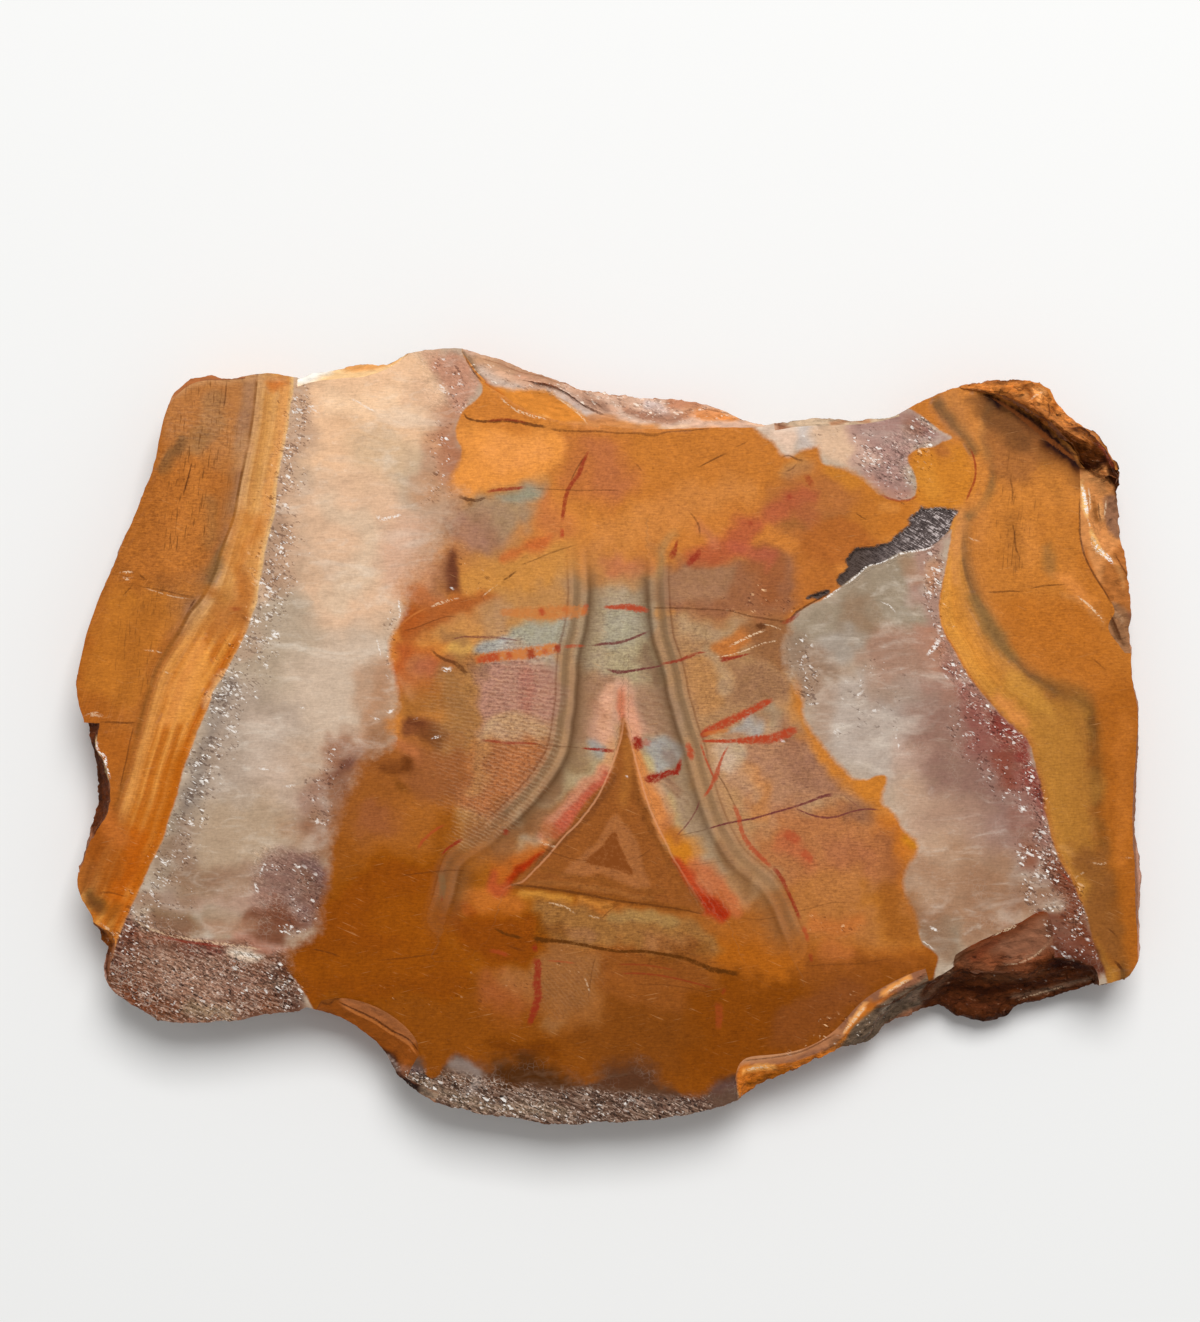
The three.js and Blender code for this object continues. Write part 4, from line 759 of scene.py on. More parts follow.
# Lines and small marks: tone, strength and path.
TONES = [
    (84, 44, 22), (92, 50, 14), (128, 98, 64), (180, 70, 40), (148, 42, 28), (112, 52, 52),
    (206, 122, 60), (238, 204, 166), (252, 244, 236), (134, 72, 30),
]
CRACK, DARK, OLIVE, RED, DEEP_RED, PURPLE, ORANGE, PALE, WHITE, BROWN = range(len(TONES))
MARKS = [
    (BROWN, 1.0, "615,832 620,846 627,860 633,874 615,869 600,866 586,862 601,847"),
    # Veins across the figure.
    (ORANGE, 0.95, "472,660,6 484,658,8 500,656,9 520,654,10 540,651,10 556,648,9 562,647,5"),
    (RED, 0.9, "474,660,6 484,659,7 494,657,8 502,656,7"),
    (RED, 0.7, "505,656,7 513,655,7"),
    (DEEP_RED, 0.8, "526,655,9 536,653,10"),
    (RED, 0.6, "542,652,5 548,651,5"),
    (DEEP_RED, 0.85, "556,653,6 558,648,7 559,644,4"),
    (RED, 0.7, "562,647,3 574,646,3 586,646,2"),
    (ORANGE, 0.7, "498,612,6 540,613,12 580,611,10 590,610,6"),
    (RED, 0.8, "538,613,6 545,611,8"),
    (RED, 0.8, "564,613,6 567,607,6"),
    (RED, 0.9, "583,616,4 585,609,5 587,603,4"),
    (RED, 0.95, "602,607,2 614,607,4 628,607,6 640,609,6 650,611,3"),
    (PURPLE, 0.7, "450,640,1 462,637,1.6 475,637,2 500,638,1.6 521,641,1.2"),
    (PURPLE, 0.9, "590,646,1 602,644,2.4 616,643,2.6 628,640,2.4 640,635,2.2 650,631,1"),
    (PURPLE, 0.95, "605,669,1.5 618,672,3 630,671,2.6 642,669,2 655,667,1.5 664,665,1.4"),
    (DEEP_RED, 0.8, "660,664,2 672,662,2.6 680,660,3 690,656,3 698,653,2 708,652,1"),
    (DEEP_RED, 0.9, "718,658,5 724,659,5 732,658,3 744,655,2 752,653,1"),
    (CRACK, 0.55,
     "650,608,1.5 680,608,1.5 700,609,1.5 730,611,1.3 750,616,1.6 775,620,2 788,622,2"),
    (CRACK, 0.8, "754,628,4 762,626,6 768,627,3"),
    (RED, 1.0, "700,738,3 705,733,7 715,728,8 728,722,8 740,716,7 752,710,7 764,704,6 774,699,3"),
    (DEEP_RED, 0.7, "701,737,5 707,732,6"),
    (RED, 1.0, "700,741,2 716,741,3 735,741,4 750,740,7 765,739,8 780,736,8 792,731,8 799,729,4"),
    (ORANGE, 0.6, "700,735,3 716,732,4 732,730,3"),
    (DEEP_RED, 1.0, "631,744,8 637,743,13 644,742,8"),
    (RED, 0.5, "642,741,9 652,744,4"),
    (RED, 0.9, "687,741,3 689,748,6 691,756,6 692,762,2"),
    (DEEP_RED, 1.0, "642,778,3 650,779,8 658,777,8 668,773,5 676,772,6 679,765,4 681,757,2"),
    (RED, 0.85, "729,745,1.5 723,755,2 719,766,3 716,776,5 712,784,3 706,794,2.5 702,798,1.5"),
    (PURPLE, 0.7, "700,800,1.4 696,810,1.4 690,820,1.4 682,830,1.4 676,836,1.2"),
    (PURPLE, 0.95,
     "707,829,1 720,825,1.6 738,821,1.8 755,818,1.8 772,813,1.8 790,808,2 808,802,2.2"
     " 824,796,3 834,794,4"),
    (CRACK, 0.4, "678,836,1.2 694,832,1.2 708,829,1.2"),
    (PURPLE, 0.85,
     "795,808,1 806,813,1.4 820,817,2 834,817,2 850,812,1.6 866,809,1.6 880,810,1.2"),
    (PURPLE, 0.4, "843,795,1 852,802,1 860,808,1"),
    (RED, 0.8, "700,742,2 706,760,2 715,780,1.6"),
    (CRACK, 0.5, "716,772,1.2 724,784,1.6 731,798,1.6 736,808,2"),
    (RED, 0.75, "733,803,3 738,815,4 742,832,4 750,846,5 762,858,4 772,868,3"),
    (DEEP_RED, 0.8, "772,866,3 780,876,4 788,892,3 794,905,3 800,920,3"),
    (RED, 0.7, "802,925,4 806,934,4 808,942,3"),
    (DEEP_RED, 0.5, "810,952,4 811,962,3"),
    (RED, 0.6, "782,832,7 792,836,9 800,844,7"),
    (RED, 0.6, "800,850,7 808,856,7 812,864,4"),
    (DEEP_RED, 0.65, "480,740,2 492,741,2.4 508,743,2.6 524,743,2 540,744,1"),
    (DEEP_RED, 0.95, "580,748,1 592,749,2.4 604,750,3.4 616,751,3"),
    (CRACK, 0.4, "532,744,1 552,746,1.2 572,747,1.2 582,748,1"),
    (DEEP_RED, 0.8,
     "589,450,2 583,462,3.6 578,475,4 571,484,3.4 566,496,4 564,508,3.6 562,522,3"),
    (RED, 0.9, "562,528,3 562,538,4"),
    (CRACK, 0.55, "570,482,1.4 577,468,1.4 585,455,1.4"),
    (DEEP_RED, 0.8, "485,492,2 495,490,3 505,489,3.4 516,488,3 526,487,2"),
    (CRACK, 0.8, "458,495,3 466,499,3.4 478,500,3 488,496,2"),
    (CRACK, 0.5, "468,500,6 472,506,5"),
    (CRACK, 0.5, "530,488,1 550,489,1.2 575,490,1.2 600,490,1.2 622,490,1"),
    (DEEP_RED, 0.8, "534,944,5 536,952,4"),
    (DEEP_RED, 0.85,
     "531,960,5 537,962,7 538,970,6 537,982,7 538,994,7 536,1006,7 532,1016,6 529,1026,4"),
    (DEEP_RED, 0.5, "721,990,5 726,992,5"),
    (RED, 0.4, "718,1000,6 719,1015,7 718,1030,5"),
    (RED, 0.6, "417,850,2 422,842,2.6 430,834,2.6 440,827,2 446,824,1"),
    (DEEP_RED, 0.8, "441,856,1.4 448,848,2.2 456,843,3 464,838,2.6"),
    (DEEP_RED, 0.8, "503,832,5 509,832,5"),
    (RED, 0.5, "488,950,3 500,952,4 510,956,3"),
    # The reddish marks at the upper right.
    (DEEP_RED, 0.6, "805,474,5 809,480,6 814,487,4"),
    (DEEP_RED, 0.6, "786,499,4 793,495,6"),
    (DEEP_RED, 0.45, "748,524,5 753,522,4"),
    (DEEP_RED, 0.8, "678,538,2 676,546,3 672,556,6 669,560,3"),
    (DEEP_RED, 0.8, "700,547,2 698,554,5 691,561,6 686,567,3"),
    (CRACK, 0.5, "688,510,1.4 694,517,1.6 699,526,2 700,538,1.6"),
    # Cracks and pits of the middle.
    (CRACK, 0.8,
     "463,411,1.4 466,417,1.8 474,420,2 490,421,3 505,420,3 520,422,3.4 535,425,3 548,427,2"),
    (DEEP_RED, 0.5, "486,421,2 500,419,2.6 515,420,2.4 528,423,2"),
    (CRACK, 0.55,
     "548,428,2 560,430,2.4 575,431,2 600,431,2 620,433,1.6 640,433,2 652,435,3 665,432,1.6"
     " 690,430,1.6 712,428,1.4"),
    (CRACK, 0.7, "430,648,1.6 438,656,2.4 446,660,3 455,663,3.6 462,669,4 468,676,3"),
    (CRACK, 0.75, "517,570,1.4 510,576,1.8 502,581,1.4"),
    (PALE, 0.7, "498,584,1.2 490,590,1.2 482,597,1.2"),
    (CRACK, 0.45, "520,565,1 534,560,1.2 548,554,1.4 562,549,1.4 576,545,1.2"),
    (CRACK, 0.65, "697,468,1 708,462,1.4 718,457,1.6 727,453,1.4"),
    (CRACK, 0.5, "735,447,1 742,444,1.2 748,441,1"),
    (CRACK, 0.4, "634,462,1.2 640,468,1.6 642,472,1.2"),
    (CRACK, 0.6, "780,458,1.2 788,455,1.4 797,459,2 806,461,1.4"),
    (CRACK, 0.5, "784,472,1.2 792,469,1.6 798,462,1.2"),
    (CRACK, 0.6, "855,512,1 862,517,1.4 868,520,1.4"),
    (PALE, 0.9, "430,607,1.6 440,603,2.6 450,600,2.2 460,598,1.4"),
    (ORANGE, 0.7, "400,626,1.6 410,617,1.6 420,611,1.6 428,607,1.2"),
    (CRACK, 0.45, "402,631,1.2 415,628,1.2 430,622,1.2 445,617,1.2 460,616,1"),
    (WHITE, 1.0, "442,668,3 447,670,4 452,668,3"),
    (WHITE, 0.9, "414,719,1.6 418,718,2"),
    (WHITE, 0.9, "432,738,1.6 437,737,2.4 441,736,1.6"),
    (WHITE, 0.9, "451,588,2 454,589,2"),
    (PALE, 0.9, "728,647,1.4 740,641,2.4 752,635,2.2 766,630,1.6"),
    (PALE, 0.7, "714,657,1 730,655,1.2 746,650,1.4 764,643,1.4 784,640,1.2"),
    (PALE, 0.6, "762,624,1 772,626,1.2 784,631,1.2"),
    (DEEP_RED, 0.6, "780,624,2 790,620,4 796,616,3 801,611,2"),
    (CRACK, 0.8, "788,622,2 797,612,2.4 806,606,2 815,601,1.6 830,593,1.2"),
    (WHITE, 0.9, "822,600,1 829,596,1.8 836,591,1.8 842,587,1.2"),
    (WHITE, 0.95,
     "843,586,1 852,580,1.6 860,573,1.8 868,566,1.6 880,563,1 892,558,1.4 902,553,2"
     " 914,551,2 926,549,1.6 936,545,1"),
    (WHITE, 0.85, "780,739,2 784,742,2.4"),
    (WHITE, 0.7, "626,776,2 628,777,2"),
    # The foot of the figure.
    (CRACK, 0.6,
     "508,884,1.6 530,886,2 560,890,2.4 590,895,2.4 615,900,2 645,904,2 680,909,1.6"
     " 704,914,1.2"),
    (DARK, 0.5, "600,909,3 612,905,4 622,904,2"),
    (CRACK, 0.45, "600,920,1 610,910,1.2 618,905,1.2"),
    (PALE, 0.6, "545,902,1.2 556,904,1.8 568,908,1.8 576,914,1.2"),
    (PALE, 0.5, "588,915,1.4 600,918,1.6"),
    (DARK, 0.85, "493,927,1.4 502,932,2.6 514,936,3 524,938,2"),
    (DARK, 0.95,
     "532,935,3 538,939,5 548,940,4 562,941,3.4 580,944,3 600,948,3 620,951,2.6 645,951,3"
     " 665,954,3 685,958,3.4 700,964,4 712,969,5 724,971,4 740,974,5"),
    (DARK, 0.5, "716,968,5 722,974,5"),
    (CRACK, 0.45, "506,945,1.4 516,948,2 526,951,1.4"),
    (RED, 0.5, "546,960,1.2 560,961,1.6 576,963,1.2"),
    (DEEP_RED, 0.4, "617,964,1.4 635,964,1.8 655,966,1.8 675,970,1.4"),
    (DEEP_RED, 0.5, "620,973,1.4 640,973,1.8 660,975,1.8 680,979,1.6 700,984,1.4 714,988,1.2"),
    (CRACK, 0.35, "636,984,1.2 660,984,1.2 690,988,1.2 716,994,1"),
    (CRACK, 0.35, "596,955,1 592,970,1.4 590,985,1.4 588,1000,1.2"),
    (PALE, 0.45, "584,976,1.4 588,986,1.6 590,994,1.2"),
    (CRACK, 0.4, "588,861,1 570,858,1.2 552,852,1.4 540,846,1.6"),
    (PALE, 0.7, "538,841,1.2 548,845,2.2 558,847,1.2"),
    (CRACK, 0.35, "634,860,1 644,854,1.2 654,846,1.2"),
    (CRACK, 0.45, "400,876,1 420,873,1.2 440,871,1.4 458,870,1.4 470,871,1"),
    (CRACK, 0.55, "310,948,1 320,950,1.4 332,953,1.6 342,957,1.2"),
    (CRACK, 0.4, "378,960,1 400,958,1.4 425,955,1.4 445,952,1"),
    (OLIVE, 0.6, "440,870,5 443,885,6 442,900,4"),
    (DEEP_RED, 0.35, "442,893,2.4 442,902,1.6"),
    (CRACK, 0.3, "790,913,1 810,908,1.2 828,903,1.2 850,902,1"),
    (CRACK, 0.3, "740,918,1 760,919,1.2 780,916,1"),
    (CRACK, 0.3, "800,966,1.4 830,964,1.6 860,963,1.6 890,958,1.2"),
    (CRACK, 0.3, "736,860,1 720,861,1 700,864,1 684,865,1"),
    # Left jasper.
    (CRACK, 0.75, "192,460,1.2 189,472,1.6 186,484,1.6 182,497,1.2"),
    (CRACK, 0.6, "226,380,1.2 225,395,1.6 223,410,1.2"),
    (CRACK, 0.4, "186,384,1.4 185,392,1.4"),
    (CRACK, 0.5, "137,586,1 150,588,1.6 166,591,1.4 182,595,1.8 196,597,1.6"),
    (PALE, 0.45, "145,588,1 160,593,1.2 176,597,1.2 190,599,1"),
    (CRACK, 0.8, "196,598,2 192,604,1.8 188,610,1.2"),
    (CRACK, 0.6, "138,573,1.2 143,578,2 146,580,1.4"),
    (PALE, 1.0, "120,573,1.4 126,572,2.4 132,572,1.8"),
    (PALE, 0.9, "123,578,2 127,579,2.6 131,578,1.8"),
    (CRACK, 0.5, "122,596,1 128,590,1.4 133,584,1"),
    (DEEP_RED, 0.4, "228,608,3 236,609,4 243,608,3"),
    (CRACK, 0.4, "240,614,3 244,618,3 247,622,2"),
    (CRACK, 0.65, "100,722,1.4 112,722,2 126,723,1.8 138,722,1.2"),
    (PALE, 0.6, "86,716,3 95,714,4 103,717,3"),
    (CRACK, 0.55, "134,726,1.2 130,742,1.4 127,758,1.4 123,775,1.4 120,790,1"),
    (PALE, 0.6, "144,650,1 154,651,1.6 163,653,1.2"),
    (PALE, 0.5, "162,671,1 168,673,1.4 173,675,1"),
    (CRACK, 0.5, "98,893,1.4 108,892,1.8 118,894,1.4 128,897,1.2"),
    (PALE, 0.6, "100,922,1.6 108,928,2.4 116,935,1.6"),
    # Right jasper.
    (DEEP_RED, 0.75, "970,447,1.2 974,456,1.8 976,468,2 975,480,2 970,492,2 966,502,1.4"),
    (DEEP_RED, 0.6, "880,494,1.6 895,500,2 908,500,2.2 919,495,2"),
    (CRACK, 0.6, "1011,478,1.4 1013,492,1.8 1012,506,1.4"),
    (CRACK, 0.6, "1013,522,1.2 1015,535,1.6 1016,548,1.8 1020,558,1.4"),
    (CRACK, 0.6, "985,592,1 998,592,1.6 1012,591,1.6 1024,592,1"),
    (CRACK, 0.6, "1030,589,1 1042,586,1.8 1054,585,1.6 1068,584,1"),
    (PALE, 0.5, "968,536,1 974,540,1.6 980,541,1"),
    (PALE, 0.8, "1076,595,1.2 1090,606,2.2 1100,617,2 1104,623,1"),
    (CRACK, 0.7,
     "1080,498,1.4 1080,520,1.8 1081,540,1.8 1086,558,1.8 1094,574,1.8 1104,590,1.8"
     " 1112,604,1.6"),
    (CRACK, 0.45, "1092,658,1.4 1100,665,1.6 1106,670,1.2"),
    (CRACK, 0.6, "1106,927,1.2 1112,932,1.8 1117,937,1.2"),
    (CRACK, 0.9, "1113,960,2 1118,965,3 1122,970,2"),
    (PALE, 0.5, "1090,862,1.4 1100,864,2 1108,862,1.4"),
    (PALE, 0.5, "1126,858,2 1130,858,2"),
    (RED, 0.5, "1060,872,2 1066,878,2 1070,882,1.4"),
    (PALE, 0.4, "1074,878,1.2 1080,874,1.8 1085,871,1.4"),
    # Quartz: veils, joints and bright flakes.
    (WHITE, 0.8, "376,514,2 380,519,3 388,518,3 396,516,2.4 404,513,1.4"),
    (WHITE, 0.6, "350,398,1.2 360,403,2 370,409,2 376,412,1.2"),
    (WHITE, 0.5, "310,408,1.4 316,411,2 320,414,1.4"),
    (WHITE, 0.6, "436,388,1.4 446,392,2.4 454,396,1.8"),
    (WHITE, 0.8, "399,597,1.4 399,606,1.8 400,614,1.8 398,622,1.2"),
    (WHITE, 0.9, "268,590,3 272,593,4 276,591,3"),
    (WHITE, 1.0, "272,630,3 275,634,6 279,637,4"),
    (WHITE, 0.8, "256,638,2 260,642,2.4 264,644,1.6"),
    (WHITE, 0.8, "226,728,1.4 232,731,2.4 238,733,1.6"),
    (WHITE, 0.9, "299,706,1.4 303,708,2 306,710,1.2"),
    (WHITE, 0.7, "258,768,1.4 264,769,2 270,769,1.6"),
    (WHITE, 0.7, "284,786,2 290,786,2.4 296,785,1.6"),
    (WHITE, 0.9, "256,883,2 257,889,3 259,893,2"),
    (WHITE, 0.7, "264,864,1.6 262,870,2 260,876,1.4"),
    (WHITE, 0.85, "187,822,2 192,824,3.4 197,827,2"),
    (WHITE, 0.85, "150,888,2 152,893,3.4 155,897,2"),
    (WHITE, 0.9, "386,711,2 390,712,3 393,710,1.6"),
    (WHITE, 0.8, "372,717,1.4 376,719,2 380,719,1.4"),
    (WHITE, 0.7, "376,638,1.2 379,648,1.4 381,658,1.2"),
    (WHITE, 0.7, "386,676,2 388,678,2"),
    (WHITE, 0.9, "926,656,2 932,650,4 938,642,4 940,637,2"),
    (WHITE, 0.8, "929,659,2 934,660,2"),
    (WHITE, 0.8, "945,676,2 949,679,2.4"),
    (WHITE, 0.8, "962,682,2 965,685,2.4"),
    (WHITE, 0.8, "959,721,2 963,719,2.4"),
    (WHITE, 0.8, "984,720,2 986,722,2"),
    (WHITE, 1.0, "1019,806,4 1023,809,6 1027,806,4"),
    (WHITE, 0.9, "1019,797,2 1020,802,2"),
    (WHITE, 0.8, "1034,832,1.6 1038,836,2.6 1040,839,1.4"),
    (WHITE, 0.8, "896,734,1.4 896,740,1.8"),
    (WHITE, 0.8, "898,742,1.2 899,747,1.6"),
    (WHITE, 0.8, "856,697,2 860,694,3 863,691,2"),
    (WHITE, 0.7, "808,704,1.6 814,704,2 820,703,1.4"),
    (WHITE, 0.7, "880,601,1 887,604,1.6 893,609,1.4 896,613,1"),
    (WHITE, 0.9, "934,576,2 938,582,3 942,587,2"),
    (WHITE, 0.9, "929,926,1.6 934,929,2.6 939,931,1.6"),
    (WHITE, 0.6, "920,939,1.2 928,945,1.8 934,950,1.4"),
    # Creases, cracks and bright edges of the broken stone: ledge, step, crust, chips and hollow.
    # The bright edges are painted highlights where the edges catch the light.
    # Painted shadow: the sharp upper edge of the shade under the ledge's ridge.
    (BROWN, 1.0,
     "990,396,1 1004,404,2.6 1020,415,4 1036,428,4.6 1052,441,4.6 1066,452,3.6 1077,461,2"),
    (ORANGE, 0.7, "1000,394,1 1016,400,2 1032,409,2.4 1048,419,2.6 1060,428,2"),
    (CRACK, 0.7, "1012,386,1.2 1018,392,2 1024,388,1.4"),
    (CRACK, 0.7, "1046,400,1.4 1048,412,2 1044,422,1.2"),
    (PALE, 0.7, "1028,402,1.4 1035,396,2 1044,392,1.4"),
    (ORANGE, 0.8, "1056,425,1.4 1066,428,2 1084,424,1.4"),
    (CRACK, 0.9, "1066,450,1.4 1080,455,2 1092,450,1.6 1100,442,1.2"),
    (CRACK, 0.8, "1094,474,1.4 1104,466,2 1112,456,1.4"),
    (WHITE, 1.0, "1082,484,1.6 1084,491,3.4 1086,500,4 1087,510,3.4 1088,516,1.4"),
    (PALE, 0.9, "1089,486,1.6 1091,500,2 1091,512,1.4"),
    (PALE, 0.8, "1088,518,1.2 1090,524,1.8 1091,530,1.2"),
    (WHITE, 0.9, "1095,538,2 1097,546,4 1102,552,5 1109,557,4 1115,566,1.4"),
    (PALE, 0.8, "1094,532,2 1093,544,3 1098,554,2"),
    (PALE, 0.8, "1109,498,1.4 1108,508,2 1107,518,1.4"),
    (CRACK, 0.7, "1100,500,1.4 1101,512,2 1104,522,1.4"),
    (CRACK, 0.7, "1117,553,1.2 1123,566,1.8 1130,578,1.2"),
    (CRACK, 0.8, "1110,614,1.6 1116,626,2.4 1122,640,1.6"),
    (CRACK, 0.6, "464,354,1.2 470,366,1.8 477,376,1.6 484,382,1.2"),
    (BROWN, 0.4, "478,356,1 500,362,1.4 520,370,1.2 540,374,1.4 560,382,1.2"),
    (CRACK, 0.8, "580,402,1.6 590,407,2.4 598,411,2.8 606,414,1.6"),
    (CRACK, 0.6, "586,398,1.4 596,401,2 604,407,1.4"),
    (PALE, 0.8, "500,397,1.6 511,407,2.4 530,415,2.4 548,419,1.4"),
    (PALE, 0.7, "556,396,1.2 570,405,1.8 582,416,2 588,424,1.4"),
    (CRACK, 0.5, "700,406,1.2 720,410,1.6 744,414,1.2"),
    (ORANGE, 0.9,
     "342,1005,1.6 354,1012,2.4 374,1022,2.6 394,1035,2.6 408,1043,2.6 417,1054,1.6"),
    (CRACK, 0.8, "338,1001,1.2 352,1008,1.6 373,1018,1.8 393,1031,1.8 409,1039,1.6 420,1052,1.2"),
    (CRACK, 0.6, "320,1000,1.4 328,1004,2 336,998,1.4"),
    (PALE, 0.9, "744,1070,2 757,1067,3 772,1066,1.6"),
    (CRACK, 0.6, "742,1060,1.2 770,1057,1.6 800,1051,1.6 836,1033,1.4"),
    (PALE, 0.9, "842,1033,1.6 855,1018,3 866,1005,2"),
    (PALE, 0.9, "884,994,1.6 896,986,3 910,978,2"),
    (CRACK, 0.7, "872,1008,1.4 890,1004,2 912,990,2 936,976,1.6"),
    # The left chip: a painted glint along its inner edge, and painted shade on its steep wall.
    (WHITE, 0.9, "97,739,1.6 98,749,2.4 104,755,3 107,768,2.4 111,779,1.4"),
    (CRACK, 0.9, "93,744,2 95,760,2.6 96,780,2.6 97,800,2"),
    (PALE, 0.9, "990,937,1.2 1002,931,2 1012,927,3 1018,923,1.4"),
    (PALE, 0.55, "132,918,1.4 150,928,2 176,936,2.4 206,941,2.4 236,945,2.4 262,949,1.4"),
    (WHITE, 0.6, "230,950,2 246,954,3.4 264,957,2.4"),
    (DEEP_RED, 0.5, "160,936,1.4 184,941,2 206,944,2 224,947,1.4"),
    (CRACK, 0.8, "950,964,1.6 964,954,2 978,948,1.4"),
    (CRACK, 0.7, "962,974,1.6 990,982,2 1020,984,1.8 1052,978,1.6"),
    (PALE, 0.45, "1006,966,1.2 1022,963,1.6 1036,956,1.8 1046,946,1.4"),
    (CRACK, 0.6, "1000,1000,1.4 1030,994,1.8 1060,986,1.8 1086,978,1.4"),
    (PALE, 0.4, "1020,1003,1.2 1044,996,1.6 1070,988,1.4"),
    (WHITE, 0.7, "1090,941,2 1085,938,3"),
    (WHITE, 0.8, "1052,946,2 1055,948,2"),
    (WHITE, 0.7, "1060,952,1.4 1066,957,2 1070,958,1.4"),
]

# Where the fine marks are: value, fade and stroke.
# GLITTER: where the bright flecks are, which are partly painted glints.
GLITTER = [
    (0.5, 26,
     "300,400,30 285,470,34 272,560,40 255,640,40 225,710,44 205,770,44 180,830,36"
     " 150,890,30"),
    (0.75, 14, "296,440,16 290,480,14"), (0.8, 14, "282,500,18 276,560,16 268,600,18"),
    (0.9, 12, "266,620,16 255,640,20 236,665,16 218,700,16"), (0.8, 12, "206,745,20 196,790,18"),
    (0.5, 12, "445,360,20 455,390,24 462,400,20"), (0.35, 14, "440,430,24 440,490,26"),
    (0.5, 10, "394,600,10 386,660,12"), (0.35, 14, "330,760,26 320,810,30"),
    (0.4, 12, "275,865,20 305,880,30 300,915,26"), (0.6, 12, "290,930,16 310,925,14"),
    (0.3, 14, "115,950,40 160,985,60 230,990,66 290,990,44"), (0.5, 10, "280,975,30 300,995,20"),
    (0.7, 12, "140,920,26 130,940,26"), (0.5, 10, "170,900,30"),
    (0.6, 12, "868,440,34 890,470,40 905,490,26 925,425,30"), (0.3, 14, "835,440,30"),
    (0.7, 10, "940,560,22 934,600,22 945,640,22"), (0.7, 10, "955,670,18 985,708,16 1015,738,14"),
    (0.9, 10, "1030,770,14 1038,810,14 1045,840,16 1060,880,22 1075,915,26 1085,945,22"),
    (0.5, 16, "1030,860,40 1045,895,40"), (0.35, 16, "960,720,40 1010,790,40"),
    (0.4, 12, "800,650,26 805,690,30"), (0.3, 16, "870,700,40"),
    (0.4, 12, "745,600,44 790,600,20"), (0.25, 16, "700,590,40"),
    (0.35, 12, "820,925,30 850,920,30"), (0.25, 16, "800,850,40"),
    (0.4, 8, "400,1070,14 450,1090,30 520,1105,30 600,1110,30 690,1105,20"),
    (0.4, 12, "850,1010,30 820,1035,26 790,1048,16"), (0.3, 12, "470,560,24 480,600,20"),
    (0.2, 14, "400,1000,50 480,990,40 590,960,40"),
    (0.8, 6, "476,366,12 500,374,14 560,390,14 620,402,26 660,408,28 700,410,20 740,414,12"),
    (0.5, 8, "1052,930,26 1080,950,26"), (0.1, 8, "960,1000,30 1010,990,40 1080,975,30"),
    (0.3, 6, "850,1040,20 900,1000,24"),
]
HATCH = [
    (0.8, 14, "526,670,60 528,720,66 520,760,66 500,800,56 470,830,36"),
    (0.5, 10, "606,690,18 606,720,22 602,740,20"), (0.35, 10, "634,706,14 637,730,18"),
    (0.45, 10, "602,770,16 585,795,20 566,815,20 550,832,16"), (0.4, 10, "700,890,24 720,908,20"),
    (0.5, 20, "655,700,20 660,770,20 680,800,20"), (0.5, 24, "450,700,40 456,760,40 450,800,30"),
    (0.25, 30, "560,990,50 590,980,40"), (0.35, 20, "180,425,40 232,430,40"),
]
FROST = [
    (1.0, 8, "112,960,40 150,985,70 220,985,80 285,985,50"),
    (0.7, 12, "130,930,30 200,948,14 290,955,14"),
    (1.0, 6, "400,1078,24 450,1094,44 530,1108,44 600,1114,44 700,1108,26"),
    (0.6, 12, "290,885,50"), (0.4, 14, "450,380,36"), (0.5, 14, "890,460,50 930,425,24"),
    (0.4, 10, "940,590,20 960,680,20 1020,750,18 1045,830,22 1075,910,30"),
]

# How rugged the broken stone is, from 0 to 1, as value, fade and stroke.
RUGGED_BASE = 0.3
RUGGED = [
    (0.35, 8, "460,350,16 500,370,34 560,392,36 620,402,40 690,408,40 750,420,26"),
    (0.5, 8, "765,418,20 850,412,22 905,402,24 950,395,20"),
    (1.0, 6,
     "955,388,16 1000,386,28 1040,398,40 1068,416,44 1090,440,44 1106,466,40 1116,490,20"),
    (0.5, 6, "1104,500,34 1110,540,40 1122,590,30"), (0.5, 5, "1108,620,30 1130,645,24"),
    (1.0, 8, "948,1000,60 1000,985,74 1060,975,60 1112,980,30"),
    (0.4, 6, "990,945,26 1040,935,40"),
    (0.8, 8, "742,1090,30 800,1072,30 845,1044,30 880,1016,34 930,988,40"),
    (0.1, 4, "742,1062,12 800,1052,12 846,1026,12 880,994,12 912,974,10"),
    (0.7, 6, "92,722,24 102,760,28 104,810,28 88,850,20 84,890,22 100,930,26 106,980,26"),
    (0.9, 8, "115,1000,24 170,1028,24 240,1026,24 300,1016,20"),
    (0.9, 8, "385,1078,24 440,1108,24 520,1124,24 620,1128,24 700,1114,24 740,1098,20"),
]
# Where the broken stone stands out more, in millimetres.
BULGES = [(0.8, 24, "962,1012,16 985,1018,24 1010,1014,24 1034,1006,16")]
# How strong the fine grain of the face is, and where short dark dashes run down it.
CONTRAST = [
    (1.15, 30, "560,450,60 640,490,90 700,470,90 760,520,90"),
    (2.0, 24, "500,660,70 510,730,80 490,800,60"),
    (1.6, 24, "600,640,80 690,640,60 700,720,50 760,680,60"),
    (1.5, 24, "770,780,110 830,850,100"),
    (1.2, 24, "1000,480,90 1060,560,90 1050,640,60"),
    (1.0, 30, "360,930,120 480,1000,120 640,1010,110"),
    (1.5, 24, "620,850,60"),
    (1.6, 20, "200,430,70 160,560,90"), (1.7, 16, "540,925,40 620,932,46 700,945,40"),
]
DASHES = [
    (1.0, 20, "205,400,40 195,470,60 180,540,50"), (0.6, 20, "150,600,50 130,680,50"),
    (0.8, 20, "1015,470,30 1015,560,40"), (0.5, 16, "235,420,20 225,520,24"),
]
